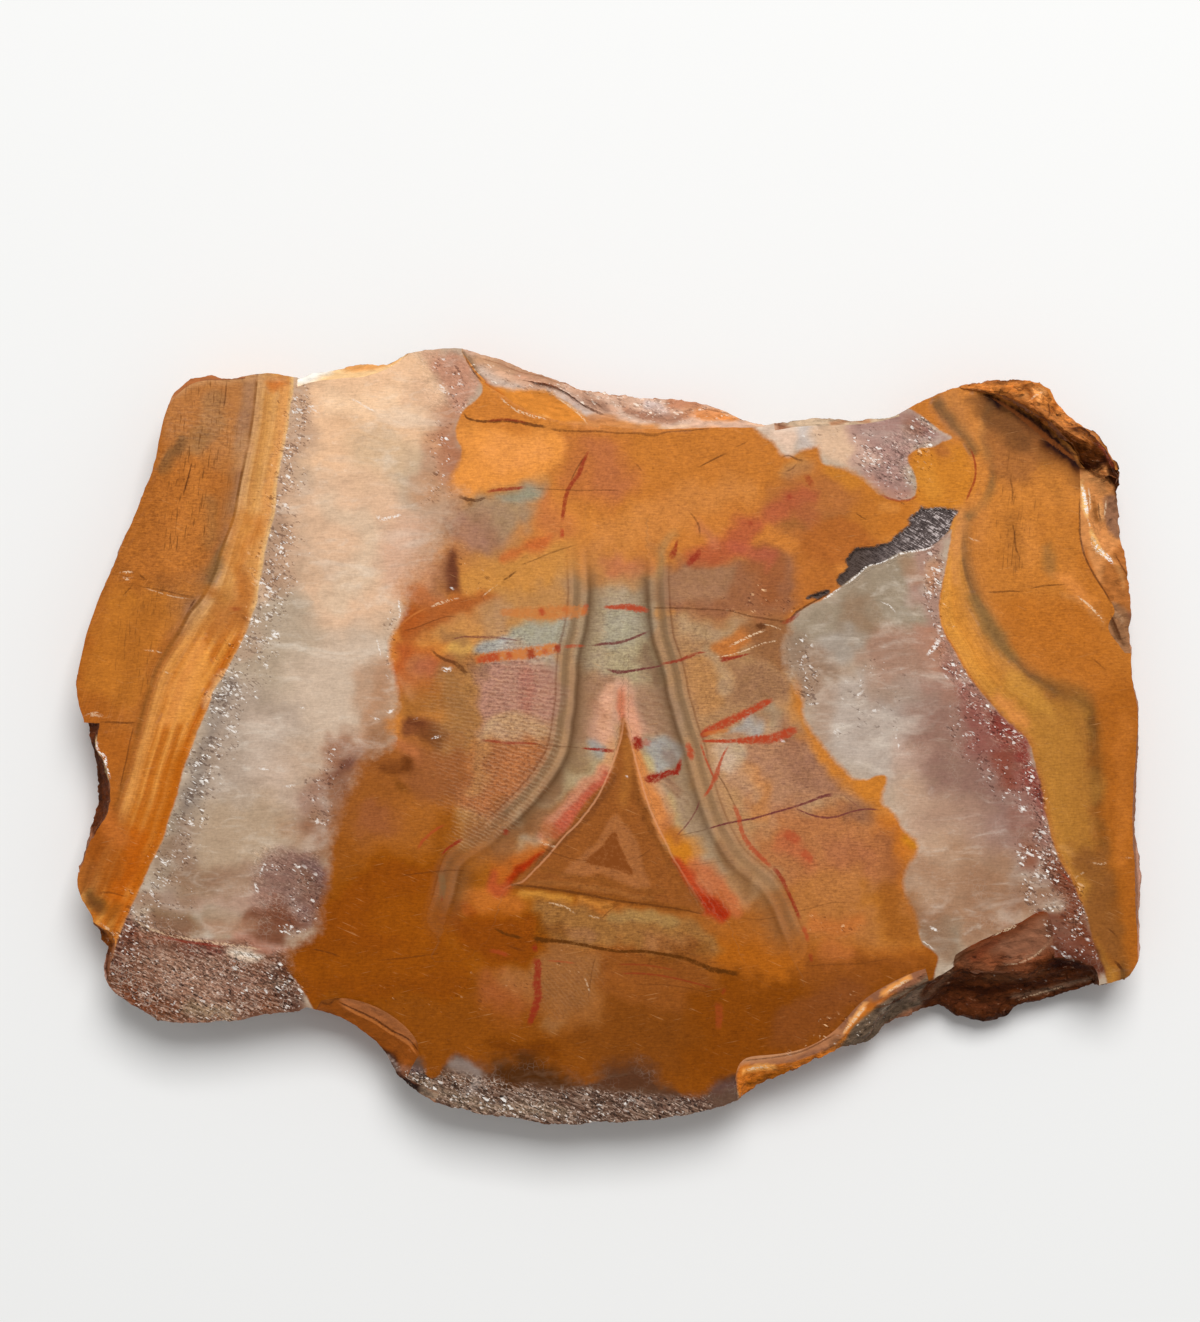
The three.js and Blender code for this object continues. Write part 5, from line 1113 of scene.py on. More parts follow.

# Stains over the bands of the two sides, with painted shadow under the ledge and over the hollow's
# walls.
SIDE_WASHES = [
    # Under the ledge: painted shadow over its dark stone, and its ridge painted lighter where the
    # light falls.
    ((128, 78, 38), 10, 0.8,
     "984,398,12 1002,412,22 1024,428,28 1044,446,30 1064,464,26 1080,480,18"),
    ((200, 122, 62), 4, 0.6, "1012,395,5 1024,401,6 1040,413,7 1060,429,7 1080,441,6"),
    ((92, 48, 20), 7, 0.8,
     "984,399,6 1000,408,14 1015,419,16 1030,431,17 1045,444,16 1060,456,13 1078,468,9"),
    ((34, 12, 3), 4, 0.98,
     "986,395,6 998,402,12 1010,410,15 1022,418,16 1034,427,16 1048,439,15 1062,451,12"
     " 1077,464,8"),
    ((120, 92, 68), 6, 0.6, "986,420,8 1000,430,10 1010,440,6"),
    ((164, 114, 80), 10, 0.7, "938,400,12 948,412,16 958,428,14"),
    # Left: the grey upper part and its smears.
    ((190, 126, 72), 26, 0.7, "170,385 240,378 246,440 236,462 160,458 158,430"),
    ((168, 122, 88), 8, 0.8, "246,378,12 244,410,14 238,446,14"),
    ((166, 120, 78), 9, 0.6, "216,400,18 208,430,22 196,448,20"),
    ((122, 86, 52), 6, 0.75, "180,440,10 170,455,16 163,468,14"),
    ((158, 110, 64), 10, 0.6, "196,436,24 190,450,20"),
    ((182, 108, 46), 22, 0.8, "165,468 232,468 220,530 200,570 140,570 146,510"),
    ((196, 120, 54), 18, 0.6, "200,480,26 190,530,30 170,560,26"),
    ((122, 88, 52), 7, 0.75, "225,546,7 217,560,11 208,578,10 202,592,6"),
    ((154, 106, 58), 8, 0.4, "200,604,8 194,616,10 188,628,8"),
    ((184, 112, 46), 10, 0.6, "186,588,16 214,592,14"),
    ((214, 150, 86), 10, 0.5, "245,505,12 240,530,12"),
    ((202, 148, 98), 10, 0.5, "242,436,12 240,462,12"),
    ((150, 104, 62), 12, 0.5, "214,500,14 206,540,16"),
    ((226, 150, 70), 10, 0.85, "206,660,10 192,690,16 176,720,12"),
    ((196, 120, 44), 26, 0.7, "110,600 170,600 150,660 130,710 92,700 88,650"),
    ((170, 100, 38), 14, 0.5, "150,610,20 130,660,20 118,700,18"),
    ((196, 108, 30), 16, 0.6, "252,520,12 244,560,16 236,590,14"),
    ((208, 126, 46), 12, 0.5, "236,520,10 226,560,12"),
    ((176, 98, 34), 20, 0.8, "104,740 128,735 122,790 110,830 98,830 110,780"),
    ((156, 80, 24), 22, 0.8, "92,835 122,815 138,850 128,885 100,895 84,870"),
    ((152, 84, 34), 10, 0.6, "84,868,12 90,890,14 104,902,12"),
    ((116, 86, 44), 9, 0.8, "86,896,8 100,905,14 116,912,12"),
    ((184, 96, 18), 24, 0.7, "190,760,30 165,810,30 140,860,30 122,910,20"),
    ((190, 92, 20), 12, 0.6, "140,840,20 128,880,20 118,915,14"),
    ((146, 88, 34), 8, 0.5, "120,905,10 112,930,10 106,950,8"),
    ((196, 98, 34), 10, 0.7, "276,382,14 284,378,14"),
    ((230, 160, 96), 7, 0.6, "288,380,6 283,420,6 274,470,6 266,520,5"),
    # Right: the grey bands of the upper end, smudges and the pale crescent.
    ((116, 84, 52), 6, 0.8, "935,400,10 950,415,12 962,430,12 974,452,9"),
    ((138, 106, 66), 8, 0.6, "990,408,10 984,430,14 988,455,12"),
    ((124, 92, 56), 6, 0.8, "992,466,7 992,486,8 984,503,9 970,514,9"),
    ((206, 132, 66), 12, 0.6, "940,396 975,395 985,430 975,445 955,420"),
    ((176, 112, 52), 9, 0.7, "1000,420,20 1010,450,20"),
    ((150, 96, 44), 7, 0.6, "1006,404,8 1018,430,10 1030,452,8"),
    ((132, 84, 40), 8, 0.5, "1040,452,10 1052,480,12 1058,500,10"),
    ((200, 124, 52), 26, 0.7, "1000,480 1070,470 1078,560 1060,600 1000,600 985,540"),
    ((146, 104, 58), 8, 0.6, "1046,550,9 1051,562,12 1055,574,8"),
    ((218, 138, 64), 14, 0.6, "1026,532,18 1034,556,18"),
    ((214, 144, 80), 8, 0.6, "955,560,8 958,582,8"),
    ((174, 106, 58), 12, 0.6, "930,440,12 946,450,12"),
    ((168, 104, 46), 12, 0.5, "1010,520,16 1020,560,18"),
    ((186, 108, 38), 26, 0.7, "1000,605 1085,612 1125,670 1125,700 1080,690 1020,660"),
    ((206, 142, 84), 7, 0.5, "1062,594,3 1080,603,6 1096,614,7 1106,626,4"),
    ((140, 104, 60), 8, 0.8, "976,600,12 986,620,14 1000,640,14 1014,656,12"),
    ((150, 96, 44), 8, 0.5, "1040,680,10 1066,688,12 1090,700,12"),
    ((182, 122, 52), 18, 0.6, "1040,720 1075,700 1090,740 1095,830 1090,890 1070,860 1045,790"),
    ((214, 152, 66), 10, 0.5, "1010,680,16 1030,700,16 1046,716,14"),
    ((172, 98, 32), 20, 0.85, "1106,700 1136,690 1138,860 1130,960 1112,960 1104,860 1100,760"),
    ((204, 122, 50), 10, 0.5, "1122,720,14 1124,800,16 1120,860,14"),
    ((140, 82, 32), 9, 0.8, "1108,885,14 1112,930,18 1112,960,14"),
    ((206, 150, 90), 5, 0.5, "1060,845,4 1080,858,5 1104,864,5"),
    ((142, 88, 42), 16, 0.9, "1070,850 1104,850 1114,900 1120,960 1100,950 1082,895"),
    ((162, 100, 52), 16, 0.8, "985,420 1030,425 1045,460 1030,482 990,470"),
    ((180, 106, 46), 14, 0.75, "246,582,18 240,604,24 228,620,26 214,628,14"),
    ((234, 156, 80), 10, 0.7, "200,650,12 188,672,16 172,704,16 164,722,12"),
    ((238, 182, 122), 5, 0.7, "224,674,6 213,692,7 206,704,6"),
    ((200, 114, 50), 14, 0.7, "112,812,14 120,840,18"),
    ((226, 142, 70), 14, 0.75, "1060,572,10 1078,588,18 1092,606,12"),
    ((224, 142, 74), 9, 0.7, "998,698,8 1012,712,12 1026,724,10"),
    ((214, 142, 78), 10, 0.85, "962,510,10 958,530,13 956,552,12"),
    ((208, 132, 64), 16, 0.7, "984,500,14 984,535,18"),
    # Painted shadow under the ledge, reaching down to the left; then the ledge's right end, dark
    # stone, darker with painted shade.
    ((112, 70, 38), 12, 0.7, "976,402,12 992,416,20 1010,432,22 1028,446,16"),
    ((84, 44, 20), 6, 0.9, "1084,418,8 1104,434,12 1118,452,12 1126,476,12"),
    # The hollow's walls: dark stone, darker with painted shade.
    ((94, 54, 34), 10, 0.95,
     "935,990 950,962 1000,950 1096,948 1096,1000 1050,1020 985,1035 940,1025"),
    ((112, 70, 38), 8, 0.5, "88,902,10 102,912,12"),
    ((166, 98, 38), 12, 0.6, "208,592,12 222,597,12"),
    ((230, 176, 118), 10, 0.5, "216,682,10 216,696,10"),
    ((172, 98, 44), 12, 0.5, "930,444,12 944,452,12"),
    ((166, 96, 42), 10, 0.5, "234,612,10 246,620,10"),
    ((166, 94, 34), 10, 0.4, "1126,750,12 1128,800,12"),
    ((116, 62, 28), 10, 0.5, "92,900,8 102,908,8"),
    # Painted highlight along the rim of the top left corner.
    ((206, 150, 100), 5, 0.8, "168,396,6 190,384,7 230,379,6 286,376,6"),
]

# Curves.

def traced(text):
    """Points of a path in millimetres.

    Each point is x,y or x,y,width in pixels; x runs to the right and y down.
    """
    rows = [[float(number) for number in point.split(",")] for point in text.split()]
    rows = np.array(rows)
    rows[:, 0] = (rows[:, 0] - MIDDLE[0]) / PIXELS + OFFSET[0]
    rows[:, 1] = (MIDDLE[1] - rows[:, 1]) / PIXELS + OFFSET[1]
    if rows.shape[1] == 3:
        rows[:, 2] /= PIXELS
    return rows


def smooth(rows, step, closed=False):
    """A smooth curve through the rows, with a point about every step."""
    if closed:
        rows = np.vstack([rows[-2:], rows, rows[:3]])
    if len(rows) < 3:
        return rows
    gap = np.maximum(np.linalg.norm(np.diff(rows[:, :2], axis=0), axis=1), 1e-6)[:, None]
    slope = np.diff(rows, axis=0) / gap
    tangent = np.empty_like(rows)
    tangent[1:-1] = (slope[:-1] * gap[1:] + slope[1:] * gap[:-1]) / (gap[1:] + gap[:-1])
    tangent[0] = slope[0]
    tangent[-1] = slope[-1]
    pieces = []
    first, last = (2, len(rows) - 3) if closed else (0, len(rows) - 1)
    for i in range(first, last):
        count = max(1, int(math.ceil(gap[i, 0] / step)))
        t = (np.arange(count) / count)[:, None]
        h = gap[i, 0]
        pieces.append(
            (2 * t**3 - 3 * t**2 + 1) * rows[i]
            + (t**3 - 2 * t**2 + t) * h * tangent[i]
            + (3 * t**2 - 2 * t**3) * rows[i + 1]
            + (t**3 - t**2) * h * tangent[i + 1]
        )
    if not closed:
        pieces.append(rows[-1:])
    return np.vstack(pieces)


def beside(points, line, reach=None):
    """Where points lie beside a line: their indices, signed distance, way along it and its width.

    The distance is positive to the left of the line's direction. With a reach, only points that
    are nearer than that count; a line of one point takes all of those as lying on it.
    """
    if reach is None:
        index = np.arange(len(points))
    else:
        low = line[:, :2].min(axis=0) - reach
        high = line[:, :2].max(axis=0) + reach
        index = np.flatnonzero(((points > low) & (points < high)).all(axis=1))
    p = points[index]
    best = np.full(len(p), np.inf)
    signed = np.zeros(len(p))
    along = np.zeros(len(p))
    width = np.zeros(len(p))
    start = 0.0
    for a, b in zip(line[:-1], line[1:]):
        step = b[:2] - a[:2]
        length = math.hypot(*step)
        if length < 1e-9:
            continue
        away = p - a[:2]
        t = np.clip((away @ step) / length**2, 0, 1)
        off = away - t[:, None] * step
        distance = np.hypot(off[:, 0], off[:, 1])
        side = step[0] * away[:, 1] - step[1] * away[:, 0]
        square = np.abs(side) / length
        # At a corner two pieces are as near: the one that faces the point more squarely wins.
        score = distance - 0.001 * square
        closer = score < best
        best[closer] = score[closer]
        signed[closer] = (np.sign(side) * distance)[closer]
        along[closer] = (start + t * length)[closer]
        if len(a) == 3:
            width[closer] = (a[2] + t * (b[2] - a[2]))[closer]
        start += length
    if reach is not None:
        keep = np.abs(signed) < reach
        return index[keep], signed[keep], along[keep] / max(start, 1e-9), width[keep]
    return index, signed, along / max(start, 1e-9), width


def inside(points, loop):
    """Which points a closed line goes round."""
    result = np.zeros(len(points), bool)
    low = loop[:, :2].min(axis=0)
    high = loop[:, :2].max(axis=0)
    index = np.flatnonzero(((points >= low) & (points <= high)).all(axis=1))
    x, y = points[index, 0], points[index, 1]
    odd = np.zeros(len(index), bool)
    for (ax, ay), (bx, by) in zip(loop[:, :2], np.roll(loop[:, :2], -1, axis=0)):
        crossing = (ay > y) != (by > y)
        if ay != by:
            odd ^= crossing & (x < (bx - ax) * (y - ay) / (by - ay) + ax)
    result[index] = odd
    return result


def depth_inside(points, loop, reach=None):
    """Signed distance to a closed line, positive inside it."""
    index, signed, _, _ = beside(points, np.vstack([loop, loop[:1]]), reach)
    side = np.where(inside(points, loop), 1.0, -1.0)
    result = side if reach is None else side * reach
    result[index] = side[index] * np.abs(signed)
    return result


def depth_in(places, path, reach=None):
    """Signed distance to the edge of a traced area, positive inside it."""
    return depth_inside(places, smooth(traced(path), WASH_STEP, closed=True), reach)


def ease(low, high, value):
    """0 below low and 1 above high, smooth between."""
    t = np.clip((value - low) / (high - low), 0, 1)
    return t * t * (3 - 2 * t)


def covered(places, path, fade, shift=0.0):
    """Which places a path covers and how much, from 0 to 1, over the pixels in which it fades.

    It covers a stroke where its points have widths, or else the area that it goes round.
    """
    rows = traced(path)
    fade = fade / PIXELS
    wandered = places + shift * min(WANDER * fade, FARTHEST_WANDER)
    if rows.shape[1] == 3:
        line = smooth(rows, WASH_STEP)
        index, signed, _, width = beside(wandered, line, line[:, 2].max() / 2 + fade)
        return index, 1 - ease(0, 1, (np.abs(signed) - width / 2 + fade / 2) / fade)
    amount = ease(-fade / 2, fade / 2, depth_in(wandered, path, fade))
    index = np.flatnonzero(amount > 0)
    return index, amount[index]


def level(places, base, rows, shift=0.0):
    """One number for each place: rows are (value, fade, path)."""
    values = np.full(len(places), float(base))
    for value, fade, path in rows:
        index, amount = covered(places, path, fade, shift)
        values[index] += amount * (value - values[index])
    return values


# The mesh.
# How a triangle is cut when its first edge, all but the first, or all edges are halved: the
# corners of the pieces, where 0 to 2 are its own and 3 to 5 the middles of its edges.
ONE_HALVED = ([0, 3, 2], [3, 1, 2])
TWO_HALVED = ([4, 2, 5], [0, 1, 4], [0, 4, 5])
ALL_HALVED = ([0, 3, 5], [3, 1, 4], [5, 4, 2], [3, 4, 5])
LOOSER = 1.15  # share of the longest edge that is allowed where the rim isn't rugged
CLOSER = 0.45  # how much of that share goes where it is fully rugged
SAME_HEIGHT = 1e-3
SMOOTHING = 0.5  # how far a point moves towards its neighbours in each round
ROUNDS = 4
LOOP_REACH = 0.6  # how far from a loop the gaps to it are measured
LOOP_GAP = 0.17  # how near to a loop a new point may be


def frame_mesh(node):
    """Points and triangles of a node of the frame, with shared corners merged."""
    mesh = frame["nodes"][node].data
    flat = np.empty(len(mesh.vertices) * 3)
    mesh.vertices.foreach_get("co", flat)
    mesh.calc_loop_triangles()
    corners = np.empty(len(mesh.loop_triangles) * 3, np.int64)
    mesh.loop_triangles.foreach_get("vertices", corners)
    points = flat.reshape(-1, 3) / MM
    _, first, merged = np.unique(
        np.round(points, 3), axis=0, return_index=True, return_inverse=True
    )
    triangles = merged.reshape(-1)[corners].reshape(-1, 3)
    a, b, c = triangles.T
    triangles = triangles[(a != b) & (b != c) & (c != a)]
    return points[first], triangles


def edges_of(triangles, size):
    """Each edge once: its two ends, and which edge each side of a triangle is."""
    sides = np.sort(triangles[:, [[0, 1], [1, 2], [2, 0]]], axis=2)
    keys = sides[..., 0] * size + sides[..., 1]
    unique, index = np.unique(keys, return_inverse=True)
    return unique // size, unique % size, index.reshape(-1, 3)


def split_long_edges(points, triangles, longest):
    """Halves every edge over the given length until none is left; rugged places get short ones."""
    while True:
        a, b, index = edges_of(triangles, len(points))
        rugged = level((points[a, :2] + points[b, :2]) / 2, RUGGED_BASE, RUGGED)
        limit = longest * (LOOSER - CLOSER * rugged)
        cut = np.linalg.norm(points[a] - points[b], axis=1) > limit
        if not cut.any():
            return points, triangles
        middle = np.cumsum(cut) - 1 + len(points)
        points = np.vstack([points, (points[a[cut]] + points[b[cut]]) / 2])
        halved = cut[index]
        middles = middle[index]
        count = halved.sum(axis=1)
        pieces = [triangles[count == 0]]
        for shift in range(3):
            turn = [(shift + i) % 3 for i in range(3)]
            corners = np.hstack([triangles[:, turn], middles[:, turn]])
            first = halved[:, shift]
            pieces += [corners[(count == 1) & first][:, piece] for piece in ONE_HALVED]
            pieces += [corners[(count == 2) & ~first][:, piece] for piece in TWO_HALVED]
        corners = np.hstack([triangles, middles])[count == 3]
        pieces += [corners[:, piece] for piece in ALL_HALVED]
        triangles = np.vstack(pieces)


def normals_of(points, triangles):
    """Normals of the triangles, not made unit, and unit ones of the points."""
    a, b, c = (points[triangles[:, i]] for i in range(3))
    facing = np.cross(b - a, c - a)
    total = np.zeros_like(points)
    for i in range(3):
        np.add.at(total, triangles[:, i], facing)
    length = np.linalg.norm(total, axis=1)
    return facing, total / np.maximum(length, 1e-12)[:, None]


def soften(points, triangles, rounds):
    """Rounds the facets between creases; the loops round the two sawn faces keep their height."""
    a, b, index = edges_of(triangles, len(points))
    facing, _ = normals_of(points, triangles)
    facing /= np.maximum(np.linalg.norm(facing, axis=1), 1e-12)[:, None]
    count = np.zeros(len(a), int)
    np.add.at(count, index.reshape(-1), 1)
    owner = np.repeat(np.arange(len(triangles)), 3)
    order = np.argsort(index.reshape(-1), kind="stable")
    first = np.searchsorted(index.reshape(-1)[order], np.arange(len(a)))
    left = owner[order[first]]
    right = owner[order[np.minimum(first + 1, len(order) - 1)]]
    cosine = (facing[left] * facing[right]).sum(axis=1)
    border = count == 1
    crease = border | (cosine < math.cos(CREASE))
    creases = np.zeros(len(points), int)
    np.add.at(creases, a[crease], 1)
    np.add.at(creases, b[crease], 1)
    on_border = np.zeros(len(points), bool)
    on_border[a[border]] = True
    on_border[b[border]] = True
    for _ in range(rounds):
        near = np.zeros_like(points)
        number = np.zeros(len(points))
        for one, other in ((a, b), (b, a)):
            # A point on a crease only follows its neighbours along the crease.
            use = crease | (creases[one] == 0)
            np.add.at(near, one[use], points[other[use]])
            np.add.at(number, one[use], 1)
        free = (creases == 0) | (creases == 2)
        target = near / np.maximum(number, 1)[:, None]
        share = np.where(free & (number > 0), SMOOTHING, 0.0)[:, None]
        moved = points + share * (target - points)
        moved[on_border, 2] = points[on_border, 2]
        points = moved
    return points, on_border


def loops_of(triangles):
    """The open edges of a mesh as closed chains of points."""
    sides = triangles[:, [[0, 1], [1, 2], [2, 0]]].reshape(-1, 2)
    known = set(map(tuple, sides))
    after = {}
    for a, b in known:
        if (b, a) not in known:
            after.setdefault(a, []).append(b)
    loops = []
    while after:
        start = next(iter(after))
        loop = [start]
        while True:
            followers = after[loop[-1]]
            following = followers.pop()
            if not followers:
                del after[loop[-1]]
            if following == start:
                break
            loop.append(following)
        loops.append(loop)
    return loops


def fill(points, loops, spacing):
    """Triangles of the flat area inside the loops, with new points over it.

    spacing(low, high) gives places for them over the rectangle between two corners.
    """
    border = np.concatenate([np.array(loop) for loop in loops])
    flat = points[border, :2]
    edges = []
    start = 0
    for loop in loops:
        size = len(loop)
        edges += [(start + i, start + (i + 1) % size) for i in range(size)]
        start += size
    grid = spacing(flat.min(axis=0), flat.max(axis=0))
    chains = [points[loop, :2] for loop in loops]
    within = np.zeros(len(grid), bool)
    gap = np.full(len(grid), LOOP_REACH)
    for chain in chains:
        within ^= inside(grid, chain)
        closed = np.vstack([chain, chain[:1]])
        index, signed, _, _ = beside(grid, closed, LOOP_REACH)
        gap[index] = np.minimum(gap[index], np.abs(signed))
    grid = grid[within & (gap > LOOP_GAP)]
    places = [Vector(p) for p in np.vstack([flat, grid])]
    verts, _, faces, origins, _, _ = delaunay_2d_cdt(places, edges, [], 0, 1e-5)
    places = np.array([tuple(v) for v in verts])
    triangles = np.array(faces)
    centre = places[triangles].mean(axis=1)
    keep = np.zeros(len(triangles), bool)
    for chain in chains:
        keep ^= inside(centre, chain)
    triangles = triangles[keep]
    # A place that came from a loop is that loop's point, any other one is new.
    lookup = np.empty(len(places), np.int64)
    fresh = []
    for i, origin in enumerate(origins):
        known = [o for o in origin if o < len(border)]
        if known:
            lookup[i] = border[known[0]]
        else:
            lookup[i] = len(points) + len(fresh)
            fresh.append(places[i])
    height = points[border[0], 2]
    fresh = np.array(fresh)
    added = np.column_stack([fresh, np.full(len(fresh), height)])
    return np.vstack([points, added]), lookup[triangles]


def hexagons(low, high, step):
    """Places of a triangular grid over a rectangle."""
    rise = step * math.sqrt(3) / 2
    rows = np.arange(low[1], high[1], rise)
    columns = np.arange(low[0], high[0], step)
    x = columns[None, :] + np.where(np.arange(len(rows)) % 2, step / 2, 0)[:, None]
    y = np.broadcast_to(rows[:, None], x.shape)
    return np.column_stack([x.reshape(-1), y.reshape(-1)])


points, triangles = frame_mesh("agate_slab")
TOP = [m for m in frame["record"]["mounts"] if m["axis"][2] > 0][0]["pos_m"][2] / MM
corner_heights = points[triangles, 2]
on_top = (np.abs(corner_heights - TOP) < SAME_HEIGHT).all(axis=1)
on_floor = (np.abs(corner_heights) < SAME_HEIGHT).all(axis=1)
rim = triangles[~on_top & ~on_floor]
used, rim = np.unique(rim, return_inverse=True)
rim = rim.reshape(-1, 3)
points = points[used]
points, rim = split_long_edges(points, rim, RIM_EDGE)
points, on_border = soften(points, rim, ROUNDS)
loops = loops_of(rim)
top_loops = [loop[::-1] for loop in loops if points[loop[0], 2] > TOP / 2]
under_loops = [loop[::-1] for loop in loops if points[loop[0], 2] < TOP / 2]

# Left, right, upper and lower side of the places with closer points.
FIGURE = (440, 860, 560, 1000)
DRUSE = (800, 964, 502, 602)


def face_grid(low, high):
    """Places for the upper face's points, closer together in the figure and in the pocket."""
    grid = hexagons(low, high, FACE_STEP)
    for (left, right, upper, lower), step in ((FIGURE, FIGURE_STEP), (DRUSE, DRUSE_STEP)):
        corner = traced(f"{left},{lower} {right},{upper}")
        outside = ~((grid > corner[0]) & (grid < corner[1])).all(axis=1)
        grid = np.vstack([grid[outside], hexagons(corner[0], corner[1], step)])
    return grid


def under_grid(low, high):
    return hexagons(low, high, UNDER_STEP)


# The rim's normals are those of its smooth shape; then the stone's grain moves the points.
_, outward = normals_of(points, rim)
rim_count = len(points)


# What roughens the rim: sizes and depths in millimetres.
LUMP_SIZE, LUMP_DEPTH = 2.3, 0.10
PIT_SIZE, PIT_DEPTH = 1.1, 0.09
GRIT_SIZE, GRIT_DEPTH = 0.5, 0.05
FACETS = ((2.3, 0.36), (1.1, 0.2))
BORDER_SHARE = 0.6  # how much of it is left at the edges of the sawn faces
WALL_RUGGED = 1.1  # how rugged the walls are deep down
WALL_DEPTHS = (0.8, 3.0)  # where under the face that begins and where it is reached


def facet(place, size):
    """Flat facets with small steps between them, as of broken stone."""
    place = place / size
    centre = noise.voronoi(place)[1][0]
    lean = noise.noise_vector(centre * 7.3)
    return 0.6 * noise.noise(centre * 5.1) + (place - centre).dot(lean)


def roughen(points, outward, border, rugged, bulge):
    """Moves the rim's points along their normals: lumps, pits, facets where it is rugged, bulges.

    The walls get more rugged as they go down from the face.
    """
    moved = points.copy()
    below = TOP - points[:, 2]
    steep = 1 - np.abs(outward[:, 2])
    wild = np.maximum(rugged, WALL_RUGGED * ease(*WALL_DEPTHS, below) * steep)
    for i in range(len(points)):
        place = Vector(points[i])
        lump = noise.noise(place / LUMP_SIZE)
        pit = noise.ridged_multi_fractal(
            place / PIT_SIZE + Vector((7, 3, 5)), 0.9, 2.2, 3, 1.0, 2.0
        )
        grit = noise.fractal(place / GRIT_SIZE, 0.7, 2.0, 2)
        amount = LUMP_DEPTH * lump + PIT_DEPTH * (pit - 1.0) + GRIT_DEPTH * grit
        amount *= 0.6 + 0.8 * wild[i]
        amount += wild[i] * sum(depth * facet(place, size) for size, depth in FACETS)
        step = outward[i] * (amount + bulge[i])
        if border[i]:
            step[2] = 0
            step *= BORDER_SHARE
        moved[i] += step
    moved[:, 2] = np.clip(moved[:, 2], 0, cad_box[1][2] / MM)
    return moved


points = roughen(
    points, outward, on_border,
    level(points[:, :2], RUGGED_BASE, RUGGED), level(points[:, :2], 0, BULGES),
)
points, top_faces = fill(points, top_loops, face_grid)

# The pocket is sunk a little, and small crystals stand in it.
POCKET_REACH = 1.0
POCKET_DEPTH = 0.5
CRYSTAL_SIZE = 0.5
CRYSTAL_HEIGHT = 0.2
sunk = ease(-0.05, 0.35, np.maximum(
    depth_in(points[:, :2], POCKET, POCKET_REACH),
    depth_in(points[:, :2], POCKET_TAIL, POCKET_REACH),
))
for i in range(rim_count, len(points)):
    if sunk[i] > 0:
        distances = noise.voronoi(Vector(points[i]) / CRYSTAL_SIZE)[0]
        crystal = CRYSTAL_HEIGHT * (distances[1] - distances[0])
        points[i, 2] += sunk[i] * (crystal - POCKET_DEPTH)

points, under_faces = fill(points, under_loops, under_grid)
faces = np.vstack([rim, top_faces, under_faces])
# The zone of a face: 0 on the upper face, 1 on the rim and 2 on the underside.
zone = np.repeat([1, 0, 2], [len(rim), len(top_faces), len(under_faces)])


def make_object(name, points, faces, sharp):
    """An object of the points in millimetres; edges that are sharper than the angle stay sharp."""
    mesh = bpy.data.meshes.new(name)
    mesh.vertices.add(len(points))
    mesh.vertices.foreach_set("co", (points * MM).reshape(-1))
    mesh.loops.add(len(faces) * 3)
    mesh.loops.foreach_set("vertex_index", faces.reshape(-1))
    mesh.polygons.add(len(faces))
    mesh.polygons.foreach_set("loop_start", np.arange(len(faces)) * 3)
    mesh.polygons.foreach_set("use_smooth", np.ones(len(faces), bool))
    mesh.update(calc_edges=True)
    mesh.validate()
    mesh.set_sharp_from_angle(angle=sharp)
    item = bpy.data.objects.new(name, mesh)
    bpy.context.scene.collection.objects.link(item)
    return item


stone = make_object("agate_slab_stone", points, faces, sharp=math.radians(42))
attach(stone, "root")
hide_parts("agate_slab")
# Painting: every point of the mesh gets what the material needs to know about its place.
flat = points[:, :2]
upper = points[:, 2] > 1.0

# Soft colours follow wandering edges: every wash is laid over places that are shifted a little.
SWAYS = ((3.1, 0, 1.0), (1.15, 40, 0.6))  # size, start in the noise and strength
shift = np.zeros((len(flat), 2))
for i, (x, y, z) in enumerate(points):
    for size, start, strength in SWAYS:
        sway = noise.noise_vector(Vector((x + start, y, 0.3 * z)) / size)
        shift[i] += (strength * sway.x, strength * sway.y)

CLEAR = (128, 128, 128)


def wash(base, rows):
    """Colours of the points after all the rows are laid over the base, one after the other.

    The fourth number of each is how much the rows cover it.
    """
    colours = np.tile(np.array([*base, 0.0], float), (len(flat), 1))
    for colour, fade, cover, path in rows:
        index, amount = covered(flat, path, fade, shift)
        amount = cover * amount
        if base is CLEAR:
            # Over a clear base, colours mix by how much of them is there.
            before = colours[index, 3] * (1 - amount)
            share = amount / np.maximum(amount + before, 1e-9)
        else:
            share = amount
        colours[index, :3] += share[:, None] * (np.array(colour) - colours[index, :3])
        colours[index, 3] += amount * (1 - colours[index, 3])
    return colours


# The colours above were judged with the light and the sheen on them, which come off here.
GAIN = 1.05
SHEEN = 0.0038
DARKEST = 0.0015


def linear(colours):
    """Colours out of 255 as the stone's own, without light and sheen."""
    c = np.clip(colours / 255, 0, 1)
    light = np.where(c <= 0.04045, c / 12.92, ((c + 0.055) / 1.055) ** 2.4)
    return np.maximum(light - SHEEN, DARKEST) / GAIN


def store(name, values, faces=False):
    """Keeps a number or a row of three or four for each point, or a number for each face."""
    values = np.asarray(values, float)
    width = 1 if values.ndim == 1 else values.shape[1]
    kind, key = {
        1: ("FLOAT", "value"), 3: ("FLOAT_VECTOR", "vector"), 4: ("FLOAT_COLOR", "color")
    }[width]
    kept = stone.data.attributes.new(name, kind, "FACE" if faces else "POINT")
    kept.data.foreach_set(key, values.astype(np.float32).reshape(-1))


# The bodies of quartz and the pocket. Below the face they lean and wander, so that their edges
# on the walls aren't upright.
LEAN = 0.4  # sideways, for each millimetre down
UPRIGHT = 0.8  # millimetres under the face where that begins
below = np.clip(TOP - UPRIGHT - points[:, 2], 0, None)
leaned = flat.copy()
leaned[:, 0] += LEAN * below + shift[:, 0] * ease(0, 2, below)
FAR = 9.0  # stands for any longer distance

